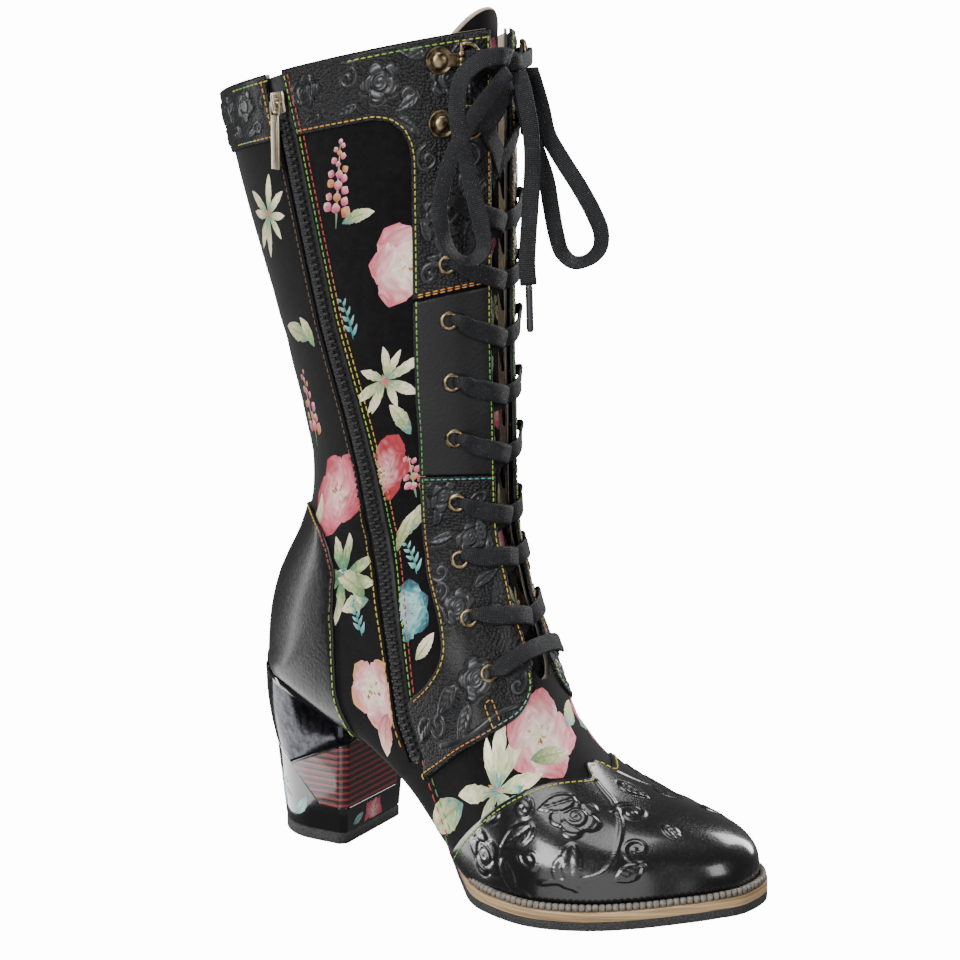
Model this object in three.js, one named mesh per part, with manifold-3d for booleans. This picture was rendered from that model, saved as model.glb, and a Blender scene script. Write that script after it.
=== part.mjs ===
// A left lace-up boot with a block heel, a side zip and nine pairs of eyelets.
// Millimetres. +Z is up, the toe points to -Y and the inner (medial) side faces -X.
// The origin lies on the floor under the middle of the heel.
import * as THREE from 'three';
import Module from 'manifold-3d';

const wasm = await Module();
wasm.setup();

// Driving sizes of the last and shaft
const footLength = 233;
const ballWidth = 90;
const ankleWidth = 66;
const shaftWidth = 88;
const shaftDepth = 136.4;
const instepDepth = 62;
const heelHeight = 72;
const toeSpring = 4.8;
const collarHeight = 350;
const collarBackHeight = 320;

// Driving sizes of the pieces
const wall = 2.2;
const overlayThickness = 1;
const clearance = 0.3;
const throatHalf = 7;
const eyestayWidth = 40;
const tongueHalf = 23;
const tongueThickness = 1.8;
const tongueRise = 0.3;
const laceRoom = 1.05;
const tongueRoom = 1.5;
const insoleThickness = 2.5;
const insoleInset = 1.2;
const midsoleThickness = 4;
const midsoleTail = 1.2;
const outsoleThickness = 3.6;
const waistThickness = 2.2;
const soleOverhang = 4.8;
const beadHeight = 2.8;
const ribPitch = 4.6;
const ribDepth = 0.8;
const heelPieceThickness = 5;
const heelFootWidth = 48;
const heelTopWidth = 60;
const heelFootBack = 6;
const heelFootLength = 41;
const heelTopBack = -2.8;
const heelTopLength = 55;
const heelTurn = 0.105;
const eyeletRadius = 4.1;
const eyeletHole = 2.2;
const eyeletBarrel = 2.8;
const eyeletFlange = 0.8;
const eyeletSeat = 0.5;
const eyeletCrest = 2.5;
const laceWidth = 8;
const laceThickness = 1.3;
const zipChainWidth = 5.1;
const zipTapeWidth = 9;
const zipChainRise = 1.5;
const pullLength = 27;
const pullWidth = 3.6;
const pullThickness = 1.2;

// Sizes worked out from them
const forefootSole = outsoleThickness + clearance + midsoleThickness + clearance;
const originShare = 0.12;
const originInset = footLength * originShare;
const overlayTop = clearance + overlayThickness;
const ankleFrontHeight = heelHeight + instepDepth * 1.29;

// Sections of the foot, from the toe tip to the back of the heel seat. top and feather are shares of
// footLength, deep of instepDepth above the feather line, rise of the heel's rise, spring of toeSpring,
// centre, medial and lateral of ballWidth, turnM and turnL (how far the wall turns in) of ballWidth.
const FOOT = [
  { top: 0.998, deep: 0.105, feather: 0.997, rise: 0, spring: 1, centre: 0.089, medial: 0, lateral: 0, turnM: 0, turnL: 0, widest: 0.6, crown: 1.9, keel: 3 },
  { top: 0.996, deep: 0.169, feather: 0.993, rise: 0, spring: 1, centre: 0.089, medial: 0.094, lateral: 0.072, turnM: 0.016, turnL: 0.016, widest: 0.62, crown: 1.9, keel: 3.5 },
  { top: 0.987, deep: 0.231, feather: 0.981, rise: 0, spring: 0.94, centre: 0.091, medial: 0.161, lateral: 0.128, turnM: 0.024, turnL: 0.022, widest: 0.64, crown: 1.9, keel: 4 },
  { top: 0.968, deep: 0.298, feather: 0.959, rise: 0, spring: 0.79, centre: 0.094, medial: 0.233, lateral: 0.194, turnM: 0.028, turnL: 0.028, widest: 0.66, crown: 1.9, keel: 4.5 },
  { top: 0.933, deep: 0.371, feather: 0.923, rise: 0, spring: 0.583, centre: 0.089, medial: 0.311, lateral: 0.272, turnM: 0.028, turnL: 0.028, widest: 0.68, crown: 1.9, keel: 4.5 },
  { top: 0.88, deep: 0.447, feather: 0.869, rise: 0, spring: 0.333, centre: 0.061, medial: 0.406, lateral: 0.367, turnM: 0.028, turnL: 0.028, widest: 0.7, crown: 1.9, keel: 4.5 },
  { top: 0.815, deep: 0.527, feather: 0.803, rise: 0, spring: 0.125, centre: 0.022, medial: 0.483, lateral: 0.45, turnM: 0.022, turnL: 0.022, widest: 0.71, crown: 1.85, keel: 4.5 },
  { top: 0.747, deep: 0.642, feather: 0.717, rise: 0, spring: 0, centre: -0.022, medial: 0.517, lateral: 0.483, turnM: 0.017, turnL: 0.017, widest: 0.7, crown: 1.85, keel: 4.5 },
  { top: 0.687, deep: 0.779, feather: 0.635, rise: 0, spring: 0, centre: -0.031, medial: 0.5, lateral: 0.472, turnM: 0.017, turnL: 0.017, widest: 0.66, crown: 1.8, keel: 4 },
  { top: 0.644, deep: 0.931, feather: 0.558, rise: 0.009, spring: 0, centre: -0.022, medial: 0.456, lateral: 0.439, turnM: 0.039, turnL: 0.017, widest: 0.6, crown: 1.8, keel: 3.6 },
  { top: 0.614, deep: 0.968, feather: 0.481, rise: 0.154, spring: 0, centre: -0.017, medial: 0.406, lateral: 0.411, turnM: 0.078, turnL: 0.056, widest: 0.55, crown: 1.8, keel: 3.2 },
  { top: 0.59, deep: 0.903, feather: 0.386, rise: 0.436, spring: 0, centre: -0.006, medial: 0.378, lateral: 0.383, turnM: 0.1, turnL: 0.072, widest: 0.5, crown: 1.85, keel: 3.2 },
  { top: 0.569, deep: 0.895, feather: 0.292, rise: 0.663, spring: 0, centre: 0, medial: 0.372, lateral: 0.372, turnM: 0.089, turnL: 0.072, widest: 0.47, crown: 1.85, keel: 3.4 },
  { top: 0.549, deep: 0.927, feather: 0.206, rise: 0.82, spring: 0, centre: 0, medial: 0.367, lateral: 0.367, turnM: 0.067, turnL: 0.061, widest: 0.46, crown: 1.8, keel: 3.8 },
  { top: 0.5365, deep: 1, feather: 0.146, rise: 0.922, spring: 0, centre: 0.003, medial: 0.367, lateral: 0.364, turnM: 0.061, turnL: 0.057, widest: 0.45, crown: 1.8, keel: 4 },
  { top: 0.5275, deep: 1.048, feather: 0.086, rise: 1, spring: 0, centre: 0.003, medial: 0.367, lateral: 0.362, turnM: 0.094, turnL: 0.087, widest: 0.45, crown: 1.8, keel: 3.6 },
  { top: 0.522, deep: 1.113, feather: 0.041, rise: 1.031, spring: 0, centre: 0, medial: 0.367, lateral: 0.362, turnM: 0.172, turnL: 0.167, widest: 0.45, crown: 1.8, keel: 3.2 },
  { top: 0.5193, deep: 1.165, feather: 0.0193, rise: 1.052, spring: 0, centre: 0, medial: 0.367, lateral: 0.362, turnM: 0.267, turnL: 0.262, widest: 0.46, crown: 1.8, keel: 2.8 },
];

// Sections of the heel back, ankle and shaft, from the heel seat to just above the collar. front and back
// are shares of footLength, climb of the front's height above the ankle, backClimb of the back's height
// above the seat, flare of the way out to shaftDepth, spread of the way out to shaftWidth.
const LEG = [
  { front: 0.5176, climb: 0, back: 0.0069, backClimb: 0.0173, flare: 0, spread: 0, widest: 0.47, crown: 1.8, keel: 2.5 },
  { front: 0.5159, climb: 0.03, back: -0.0064, backClimb: 0.0766, flare: 0, spread: 0, widest: 0.48, crown: 1.8, keel: 2.2 },
  { front: 0.5146, climb: 0.071, back: 0.0043, backClimb: 0.133, flare: 0, spread: 0, widest: 0.48, crown: 1.8, keel: 2 },
  { front: 0.5129, climb: 0.116, back: 0.0343, backClimb: 0.1935, flare: 0, spread: 0, widest: 0.48, crown: 1.8, keel: 1.9 },
  { front: 0.5112, climb: 0.167, back: 0.073, backClimb: 0.258, flare: 0, spread: 0, widest: 0.48, crown: 1.8, keel: 1.85 },
  { front: 0.509, climb: 0.232, back: 0.0987, backClimb: 0.331, flare: 0, spread: 0.07, widest: 0.48, crown: 1.8, keel: 1.85 },
  { front: 0.5047, climb: 0.318, back: 0.0987, backClimb: 0.419, flare: 0.023, spread: 0.18, widest: 0.49, crown: 1.8, keel: 1.9 },
  { front: 0.503, climb: 0.434, back: 0.0987, backClimb: 0.536, flare: 0.186, spread: 0.41, widest: 0.5, crown: 1.8, keel: 1.95 },
  { front: 0.5021, climb: 0.576, back: 0.0987, backClimb: 0.669, flare: 0.419, spread: 0.636, widest: 0.5, crown: 1.85, keel: 2 },
  { front: 0.5013, climb: 0.722, back: 0.0987, backClimb: 0.798, flare: 0.674, spread: 0.818, widest: 0.5, crown: 1.85, keel: 2.05 },
  { front: 0.5004, climb: 0.864, back: 0.0987, backClimb: 0.907, flare: 0.86, spread: 0.955, widest: 0.5, crown: 1.85, keel: 2.1 },
  { front: 0.4996, climb: 1, back: 0.0987, backClimb: 1, flare: 1, spread: 1, widest: 0.5, crown: 1.85, keel: 2.1 },
  { front: 0.4987, climb: 1.1, back: 0.0987, backClimb: 1.081, flare: 1.093, spread: 1.045, widest: 0.5, crown: 1.85, keel: 2.1 },
];

// Stations count the rows of both tables; the feather line closes at the back of the heel
const featherEnd = FOOT.length;
const collar = FOOT.length + LEG.length - 2;

function footRow(row) {
  const featherHeight = forefootSole + row.rise * (heelHeight - forefootSole) + row.spring * toeSpring;
  return [
    row.top * footLength,
    featherHeight + row.deep * instepDepth,
    row.feather * footLength,
    featherHeight,
    row.centre * ballWidth,
    row.medial * ballWidth,
    row.lateral * ballWidth,
    (row.medial - row.turnM) * ballWidth,
    (row.lateral - row.turnL) * ballWidth,
    row.widest,
    row.crown,
    row.keel,
  ];
}

function legRow(row) {
  const front = row.front * footLength;
  const ankleBack = row.back * footLength;
  const collarBack = LEG[LEG.length - 2].front * footLength - shaftDepth;
  const half = THREE.MathUtils.lerp(ankleWidth / 2, shaftWidth / 2, row.spread);
  return [
    front,
    THREE.MathUtils.lerp(ankleFrontHeight, collarHeight, row.climb),
    THREE.MathUtils.lerp(ankleBack, collarBack, row.flare),
    THREE.MathUtils.lerp(heelHeight, collarBackHeight, row.backClimb),
    0,
    half,
    half,
    0,
    0,
    row.widest,
    row.crown,
    row.keel,
  ];
}

const ROWS = [...FOOT.map(footRow), ...LEG.map(legRow)];

// Catmull-Rom blend of the table's rows at a station that need not be whole
function blendRows(rows, station) {
  const last = rows.length - 1;
  const t = THREE.MathUtils.clamp(station, 0, last);
  const i = Math.min(Math.floor(t), last - 1);
  const f = t - i;
  const [a, b, c, d] = [rows[Math.max(i - 1, 0)], rows[i], rows[i + 1], rows[Math.min(i + 2, last)]];
  return b.map((value, k) => {
    const slope = -a[k] + c[k];
    const bend = 2 * a[k] - 5 * value + 4 * c[k] - d[k];
    const twist = -a[k] + 3 * value - 3 * c[k] + d[k];
    return 0.5 * (2 * value + slope * f + bend * f * f + twist * f * f * f);
  });
}

// A table of [place, value] pairs read between its rows
function along(table, place) {
  const last = table.length - 1;
  const i = THREE.MathUtils.clamp(table.findIndex((row) => row[0] > place) - 1, 0, last - 1);
  const from = place >= table[last][0] ? table[last - 1] : table[i];
  const to = place >= table[last][0] ? table[last] : table[i + 1];
  const f = THREE.MathUtils.clamp((place - from[0]) / (to[0] - from[0]), 0, 1);
  return THREE.MathUtils.lerp(from[1], to[1], f);
}

// Half of a section, from its top or front point round to the feather or back point, with its girth
const sectionSteps = 128;
const sectionCache = new Map();

function halfSection(station, side) {
  const key = `${station.toFixed(6)} ${side}`;
  if (sectionCache.has(key)) {
    return sectionCache.get(key);
  }
  const [topS, topZ, lowS, lowZ, centre, medial, lateral, lowM, lowL, widest, crown, keel] = blendRows(ROWS, station);
  const half = Math.max(side < 0 ? medial : lateral, 0);
  const low = THREE.MathUtils.clamp(side < 0 ? lowM : lowL, 0, half);
  const points = [];
  const girths = [0];
  for (let k = 0; k <= sectionSteps; k += 1) {
    const angle = (Math.PI * k) / sectionSteps;
    const sine = Math.max(Math.sin(angle), 0);
    const cosine = Math.abs(Math.cos(angle));
    const upper = k <= sectionSteps / 2;
    const out = upper ? half * sine ** (2 / crown) : low + (half - low) * sine ** (2 / keel);
    const down = upper ? widest * (1 - cosine ** (2 / crown)) : widest + (1 - widest) * cosine ** (2 / keel);
    const s = THREE.MathUtils.lerp(topS, lowS, down);
    const z = THREE.MathUtils.lerp(topZ, lowZ, down);
    points.push(new THREE.Vector3(centre + side * out, originInset - s, z));
    if (k > 0) {
      girths.push(girths[k - 1] + points[k].distanceTo(points[k - 1]));
    }
  }
  const section = { points, girths, girth: girths[sectionSteps] };
  sectionCache.set(key, section);
  return section;
}

function girthAt(station, side) {
  return halfSection(station, side).girth;
}

// Point of the last's surface at a station and a share of the half girth. Below 0 it crosses to the other
// side over the top, above 1 it crosses behind the leg or runs on past the feather line.
function surfacePoint(station, share, side) {
  if (share < 0) {
    return surfacePoint(station, -share, -side);
  }
  if (share > 1 && station >= featherEnd) {
    return surfacePoint(station, 2 - share, -side);
  }
  const { points, girths, girth } = halfSection(station, side);
  if (share > 1) {
    const edge = points[sectionSteps];
    const before = surfacePoint(station, 0.98, side);
    return edge.clone().add(edge.clone().sub(before).multiplyScalar((share - 1) / 0.02));
  }
  const target = share * girth;
  let low = 0;
  let high = sectionSteps;
  while (high - low > 1) {
    const middle = (low + high) >> 1;
    if (girths[middle] <= target) {
      low = middle;
    } else {
      high = middle;
    }
  }
  const f = (target - girths[low]) / Math.max(girths[high] - girths[low], 1e-9);
  return points[low].clone().lerp(points[high], f);
}

// Outward direction of the last's surface
function surfaceNormal(station, share, side) {
  const t = Math.max(station, 0.2);
  const dt = 0.02;
  const dq = 0.012;
  const edge = t < featherEnd && share > 1 - dq;
  const q = edge ? 1 - dq : share;
  const across = surfacePoint(t, q + dq, side).sub(surfacePoint(t, q - dq, side)).multiplyScalar(side);
  const onward = surfacePoint(t + dt, q, side).sub(surfacePoint(t - dt, q, side));
  return across.cross(onward).normalize();
}

// A sheet is a set of points on the last with a normal each, and triangles between them. Points that fall
// together become one, so that sheets close over the toe and behind the heel.
class Sheet {
  constructor() {
    this.points = [];
    this.normals = [];
    this.places = [];
    this.triangles = [];
    this.index = new Map();
  }

  vertex(station, share, side) {
    const point = surfacePoint(station, share, side);
    const key = point.toArray().map((value) => Math.round(value * 500)).join(' ');
    const normal = surfaceNormal(station, share, side);
    if (this.index.has(key)) {
      const at = this.index.get(key);
      this.normals[at].add(normal);
      return at;
    }
    this.index.set(key, this.points.length);
    this.points.push(point);
    this.normals.push(normal);
    this.places.push({ station, share: Math.abs(share), side: share < 0 ? -side : side });
    return this.points.length - 1;
  }

  grid(rows, columns, place) {
    const ids = [];
    for (let i = 0; i <= rows; i += 1) {
      ids.push([]);
      for (let j = 0; j <= columns; j += 1) {
        ids[i].push(this.vertex(...place(i / rows, j / columns, i, j)));
      }
    }
    for (let i = 0; i < rows; i += 1) {
      for (let j = 0; j < columns; j += 1) {
        const [a, b, c, d] = [ids[i][j], ids[i][j + 1], ids[i + 1][j + 1], ids[i + 1][j]];
        this.triangle(a, b, c);
        this.triangle(a, c, d);
      }
    }
    return this;
  }

  triangle(a, b, c) {
    if (a !== b && b !== c && c !== a) {
      this.triangles.push([a, b, c]);
    }
  }

  // A closed solid between two offsets of the sheet, with a rim along each open edge
  solid(low, high) {
    const count = this.points.length;
    const vertices = [];
    for (const offset of [high, low]) {
      this.points.forEach((point, k) => {
        const shift = typeof offset === 'function' ? offset(this, k) : this.normals[k].clone().normalize().multiplyScalar(offset);
        vertices.push(point.clone().add(shift));
      });
    }
    const faces = [];
    const edges = new Map();
    for (const [a, b, c] of this.triangles) {
      faces.push([a, b, c], [c + count, b + count, a + count]);
      for (const [from, to] of [[a, b], [b, c], [c, a]]) {
        edges.set(`${from} ${to}`, [from, to]);
      }
    }
    for (const [from, to] of edges.values()) {
      if (!edges.has(`${to} ${from}`)) {
        faces.push([to, from, from + count], [to, from + count, to + count]);
      }
    }
    return closedSolid(vertices, faces);
  }
}

function closedSolid(vertices, faces) {
  const vertProperties = new Float32Array(vertices.flatMap((vertex) => vertex.toArray()));
  const triVerts = new Uint32Array(faces.flat());
  return new wasm.Manifold(new wasm.Mesh({ numProp: 3, vertProperties, triVerts }));
}

// A three.js geometry, moved by a matrix, as a solid for cuts and joins
function solidOf(geometry, matrix) {
  const position = geometry.getAttribute('position');
  const index = geometry.index ? Array.from(geometry.index.array) : [...Array(position.count).keys()];
  const ids = new Map();
  const vertices = [];
  const remap = [];
  for (let k = 0; k < position.count; k += 1) {
    const point = new THREE.Vector3().fromBufferAttribute(position, k);
    const key = point.toArray().map((value) => Math.round(value * 2000)).join(' ');
    if (!ids.has(key)) {
      ids.set(key, vertices.length);
      vertices.push(matrix ? point.applyMatrix4(matrix) : point);
    }
    remap.push(ids.get(key));
  }
  const faces = [];
  for (let k = 0; k < index.length; k += 3) {
    const [a, b, c] = [remap[index[k]], remap[index[k + 1]], remap[index[k + 2]]];
    if (a !== b && b !== c && c !== a) {
      faces.push([a, b, c]);
    }
  }
  return closedSolid(vertices, faces);
}

const group = new THREE.Group();

function material(color, roughness, metalness = 0) {
  return new THREE.MeshStandardMaterial({ color, roughness, metalness });
}

const finishes = {
  suede: material(0x17161a, 0.85),
  embossed: material(0x121214, 0.45),
  glossy: material(0x0e0e10, 0.2),
  plain: material(0x151517, 0.4),
  lining: material(0xb9ab97, 0.8),
  bead: material(0x8a857c, 0.7),
  tan: material(0xc9a876, 0.7),
  rubber: material(0x2f2f31, 0.85),
  heel: material(0x0c0c0e, 0.12),
  brass: material(0xa98a55, 0.35, 1),
  pale: material(0xb3a68c, 0.3, 1),
  cord: material(0x1c1c1f, 0.6),
  zip: material(0x101012, 0.5),
};

function addPiece(name, solid, finish) {
  const mesh = solid.getMesh();
  const geometry = new THREE.BufferGeometry();
  geometry.setAttribute('position', new THREE.BufferAttribute(new Float32Array(mesh.vertProperties), 3));
  geometry.setIndex(new THREE.BufferAttribute(new Uint32Array(mesh.triVerts), 1));
  geometry.computeVertexNormals();
  const piece = new THREE.Mesh(geometry, finishes[finish]);
  piece.name = name;
  group.add(piece);
}

// The grid that the upper and everything laid on it share
const STATIONS = [0, 0.6, 1.5, 3, 4.5, 5.8, 7, 8, 9.2, 10.5, 12, 13.5, 15, 16.5, 18, 19.2, 20.6, 22.2, 24, 26, 28.1];
const SHARES = [0, 0.11, 0.24, 0.38, 0.53, 0.68, 0.84, 1];

function lastSheet(topStations) {
  const stations = [...STATIONS, ...topStations];
  const shares = [...SHARES.slice(1).reverse().map((share) => -share), ...SHARES];
  return new Sheet().grid(stations.length - 1, shares.length - 1, (a, b, i, j) => {
    const share = shares[j];
    return [stations[i], Math.abs(share), share < 0 ? -1 : 1];
  });
}

const bootSheet = lastSheet([collar]);
const tallSheet = lastSheet([collar, collar + tongueRise]);

// Shift of a sheet along its normals, but level where the wall ends at the feather line, and straight
// sideways where that line climbs
const waistFrom = 5;
const waistTo = 16;

function levelShift(distance) {
  return (sheet, k) => {
    const { station, share } = sheet.places[k];
    const shift = sheet.normals[k].clone();
    if (share === 1 && station <= featherEnd) {
      shift.z = 0;
      shift.y *= station > waistFrom && station < waistTo ? 0 : 1;
    }
    return shift.normalize().multiplyScalar(distance);
  };
}

// Cutters: blocks that stand through the wall over a patch of the last. low and high give the station of
// the patch's lower and upper edge, front and back the share of girth of its other two edges.
const cutDepth = 5;
const cutRise = 6;

function patchCutter({ side, rows, columns, low, high, front, back }) {
  const sheet = new Sheet().grid(rows, columns, (a, b) => {
    const across = side < 0 ? 1 - b : b;
    const station = THREE.MathUtils.lerp(low(across), high(across), a);
    const share = THREE.MathUtils.lerp(front(station), back(station), across);
    return share < 0 ? [station, -share, -side] : [station, share, side];
  });
  return sheet.solid(-cutDepth, cutRise);
}

// Share of girth at a distance from the front centreline, measured round the surface
function shareAt(station, distance, side) {
  return distance / girthAt(station, side);
}

const always = (value) => () => value;

function range(from, to, count) {
  return Array.from({ length: count + 1 }, (unused, k) => THREE.MathUtils.lerp(from, to, k / count));
}

// The zip's line down the medial side: height as a share of collarHeight, place as a share of footLength
const ZIP_LINE = [[0, 0.49], [0.143, 0.421], [0.194, 0.388], [0.309, 0.357], [0.486, 0.309], [0.66, 0.24], [0.877, 0.176], [1.06, 0.1]];
const zipFoot = 11.1;
const zipHead = collar + 0.6;
const zipSide = -1;
const zipRows = 11;

function zipShare(station) {
  let low = 0;
  let high = 1;
  for (let k = 0; k < 30; k += 1) {
    const middle = (low + high) / 2;
    const point = surfacePoint(station, middle, zipSide);
    const ahead = originInset - point.y > along(ZIP_LINE, point.z / collarHeight) * footLength;
    if (ahead) {
      low = middle;
    } else {
      high = middle;
    }
  }
  return (low + high) / 2;
}

function zipStrip(halfWidth, from, to, low, high) {
  const stops = range(zipFoot, zipHead, zipRows).filter((station) => station > from + 0.05 && station < to - 0.05);
  const stations = [from, ...stops, to];
  const sheet = new Sheet().grid(stations.length - 1, 1, (a, b, i) => {
    const station = stations[i];
    const across = (1 - 2 * b) * halfWidth;
    return [station, zipShare(station) + across / girthAt(station, zipSide), zipSide];
  });
  return sheet.solid(low, high);
}

// The throat between the facings
const throatFoot = 10.55;

function throatStrip(halfWidth, from, to) {
  const sheet = new Sheet().grid(9, 2, (a, b) => {
    const station = THREE.MathUtils.lerp(from, to, a);
    const side = b < 0.5 ? -1 : 1;
    const narrow = THREE.MathUtils.smoothstep(station, from, from + 0.5);
    const half = halfWidth * THREE.MathUtils.lerp(0.45, 1, narrow);
    return [station, shareAt(station, half, side) * Math.abs(2 * b - 1), side];
  });
  return sheet.solid(-cutDepth, cutRise);
}

// Eyelets and lace loops, bottom to top: station of the row and distance from the front centreline as a
// share of eyestayWidth
const EYELETS = [
  { station: 11.48, out: 0.66 },
  { station: 13.19, out: 0.67 },
  { station: 15.98, out: 0.62 },
  { station: 19.95, out: 0.6 },
  { station: 22.54, out: 0.61 },
  { station: 23.93, out: 0.61 },
  { station: 25, out: 0.63 },
  { station: 25.79, out: 0.65 },
  { station: 26.65, out: 0.68 },
];
const LACE_LOOPS = [
  { station: 27.72, out: 0.69 },
  { station: 28.62, out: 0.71 },
];
const SIDES = [
  { name: 'medial', side: -1 },
  { name: 'lateral', side: 1 },
];

// A frame on the last: x across towards the back, y up along the shaft, z out of the surface
function frameAt(station, share, side) {
  const origin = surfacePoint(station, share, side);
  const out = surfaceNormal(station, share, side);
  const up = surfacePoint(station + 0.1, share, side).sub(origin);
  up.addScaledVector(out, -up.dot(out)).normalize();
  const across = up.clone().cross(out);
  return new THREE.Matrix4().makeBasis(across, up, out).setPosition(origin);
}

function fastenerFrame({ station, out }, side) {
  return frameAt(station, shareAt(station, out * eyestayWidth, side), side);
}

function lifted(frame, height) {
  return frame.clone().multiply(new THREE.Matrix4().makeTranslation(0, 0, height));
}

function upright(geometry) {
  return geometry.rotateX(Math.PI / 2);
}

const eyeletSides = 7;
const holeSides = 6;
const holeRadius = (eyeletBarrel + clearance) / Math.cos(Math.PI / holeSides);
const eyeletHoles = SIDES.flatMap(({ side }) => EYELETS.map((row) => {
  const drill = upright(new THREE.CylinderGeometry(holeRadius, holeRadius, cutDepth * 2, holeSides));
  return solidOf(drill, fastenerFrame(row, side));
}));

const throatCut = throatStrip(throatHalf, throatFoot, zipHead);
const zipSlotHalf = zipTapeWidth / 2 + 1.5 * clearance;
const zipSlot = zipStrip(zipSlotHalf, zipFoot, zipHead, -cutDepth, cutRise);
const openings = [throatCut, zipSlot, ...eyeletHoles];

function cutAll(solid, cutters) {
  return cutters.reduce((rest, cutter) => rest.subtract(cutter), solid);
}

// Upper: one hollow wall from the feather line to the collar
const wallSolid = bootSheet.solid(levelShift(-wall), 0);
addPiece('upper', cutAll(wallSolid, openings), 'suede');

// The skin that all leather overlays are cut from
const skin = cutAll(bootSheet.solid(levelShift(clearance), levelShift(overlayTop)), openings);

// Toe cap with a low double point at its middle
const CAP_EDGE = [[0, 7.8], [0.11, 7.42], [0.29, 7.94], [0.56, 8.86], [0.8, 9.42], [1.04, 9.68]];
const capColumns = [-1.04, -0.8, -0.56, -0.29, -0.11, 0, 0.11, 0.29, 0.56, 0.8, 1.04];
const capSheet = new Sheet().grid(4, capColumns.length - 1, (a, b, i, j) => {
  const share = capColumns[j];
  return [a * along(CAP_EDGE, Math.abs(share)), Math.abs(share), share < 0 ? -1 : 1];
});
addPiece('toe_cap', skin.intersect(capSheet.solid(-cutDepth + 2, cutRise)), 'glossy');

// Counter: wraps the heel, its front edges curve down from the back of the ankle to the waist
const COUNTER_EDGE = [[12.1, 0.98], [12.6, 0.927], [13.5, 0.838], [15.6, 0.638], [17.5, 0.56], [19.35, 0.532], [20.9, 0.606], [21.8, 0.73], [22.4, 0.86], [22.6, 0.97]];
const counterOverlap = 0.04;

const COUNTER_STOPS = [12.1, 13.2, 14.4, 15.6, 17, featherEnd, 19.35, 20.9, 21.8, 22.6];

function counterHalf(side) {
  const sheet = new Sheet().grid(COUNTER_STOPS.length - 1, 2, (a, b, i) => {
    const station = COUNTER_STOPS[i];
    const across = side < 0 ? 1 - b : b;
    return [station, THREE.MathUtils.lerp(along(COUNTER_EDGE, station), 1 + counterOverlap, across), side];
  });
  return sheet.solid(-cutDepth, cutRise);
}

const counterCutter = counterHalf(-1).add(counterHalf(1));
addPiece('counter', skin.intersect(counterCutter), 'glossy');

// Eyestays: three leathers up each facing, and a cuff band at the top
const orangeSeam = 25.4;
const cyanSeamFront = 20.53;
const cyanSeamBack = 21.72;
const seamGap = 0.025;
const overTop = collar + 0.5;
const cuffSeam = 27.93;

function facingBand(side, low, high, rows) {
  return patchCutter({
    side,
    rows,
    columns: 2,
    low,
    high,
    front: (station) => shareAt(station, throatHalf / 2, side),
    back: (station) => shareAt(station, eyestayWidth, side),
  });
}

const cyanSeam = (shift) => (across) => THREE.MathUtils.lerp(cyanSeamFront, cyanSeamBack, across) + shift;

// The strap's lower edge and the flange that runs back from it to the zip
const STRAP_FRONT = [[0, 10.75], [0.15, 10.32], [0.4, 10.15], [1, 10.25]];
const FLANGE_LOW = [[0, 10.25], [0.5, 10.48], [1, 10.83]];
const FLANGE_HIGH = [[0, 13.1], [0.14, 12.42], [0.35, 12.2], [1, 12.08]];
const flangeOverlap = 3;
const zipSeam = 5.4;

function zipEdge(station, side) {
  return zipShare(station) - zipSeam / girthAt(station, side);
}

function strapFlange(side) {
  return patchCutter({
    side,
    rows: 2,
    columns: 5,
    low: (across) => along(FLANGE_LOW, across),
    high: (across) => along(FLANGE_HIGH, across),
    front: (station) => shareAt(station, eyestayWidth - flangeOverlap, side),
    back: (station) => zipEdge(station, side),
  });
}

// The cuff's band, from the facing back to the zip, with a rounded inner corner
const CUFF_LOW = [[0, 27.4], [0.12, 27.75], [0.3, cuffSeam], [1, cuffSeam]];

function cuffFlange(side) {
  return patchCutter({
    side,
    rows: 1,
    columns: 5,
    low: (across) => along(CUFF_LOW, across),
    high: always(overTop),
    front: (station) => shareAt(station, eyestayWidth - flangeOverlap, side),
    back: (station) => zipEdge(station, side),
  });
}

for (const { name, side } of SIDES) {
  const lower = facingBand(side, (across) => along(STRAP_FRONT, across), cyanSeam(-seamGap), 6).add(strapFlange(side));
  const middle = facingBand(side, cyanSeam(seamGap), always(orangeSeam - seamGap), 3);
  const upperBand = facingBand(side, always(orangeSeam + seamGap), always(overTop), 3).add(cuffFlange(side));
  addPiece(`eyestay_lower_${name}`, skin.intersect(lower), 'embossed');
  addPiece(`eyestay_middle_${name}`, skin.intersect(middle), 'plain');
  addPiece(`eyestay_upper_${name}`, skin.intersect(upperBand), 'embossed');
}

// Cuff round the back, from the zip to the lateral eyestay
function backBand(side, front) {
  return patchCutter({
    side,
    rows: 1,
    columns: 6,
    low: always(cuffSeam),
    high: always(overTop),
    front,
    back: always(1 + counterOverlap),
  });
}

const behindZip = (station) => zipShare(station) + zipSlotHalf / girthAt(station, zipSide) - 0.01;
const behindEyestay = (station) => zipEdge(station, 1) + (2 * clearance) / girthAt(station, 1);
addPiece('cuff_back', skin.intersect(backBand(-1, behindZip).add(backBand(1, behindEyestay))), 'embossed');

// Tongue behind the throat, rising a little above the collar
const tongueGap = laceRoom + laceThickness + tongueRoom;
const tongueFoot = 10;
const tongueFace = -(wall + tongueGap);
function tongueStrip() {
  const sheet = new Sheet().grid(7, 2, (a, b) => {
    const station = THREE.MathUtils.lerp(tongueFoot, collar + 2 * tongueRise, a);
    const side = b < 0.5 ? -1 : 1;
    return [station, shareAt(station, tongueHalf, side) * Math.abs(2 * b - 1), side];
  });
  return sheet.solid(tongueFace - 2 * tongueThickness, cutRise);
}

const tongueWall = tallSheet.solid(tongueFace - tongueThickness, tongueFace);
addPiece('tongue', tongueWall.intersect(tongueStrip()), 'lining');

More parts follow.
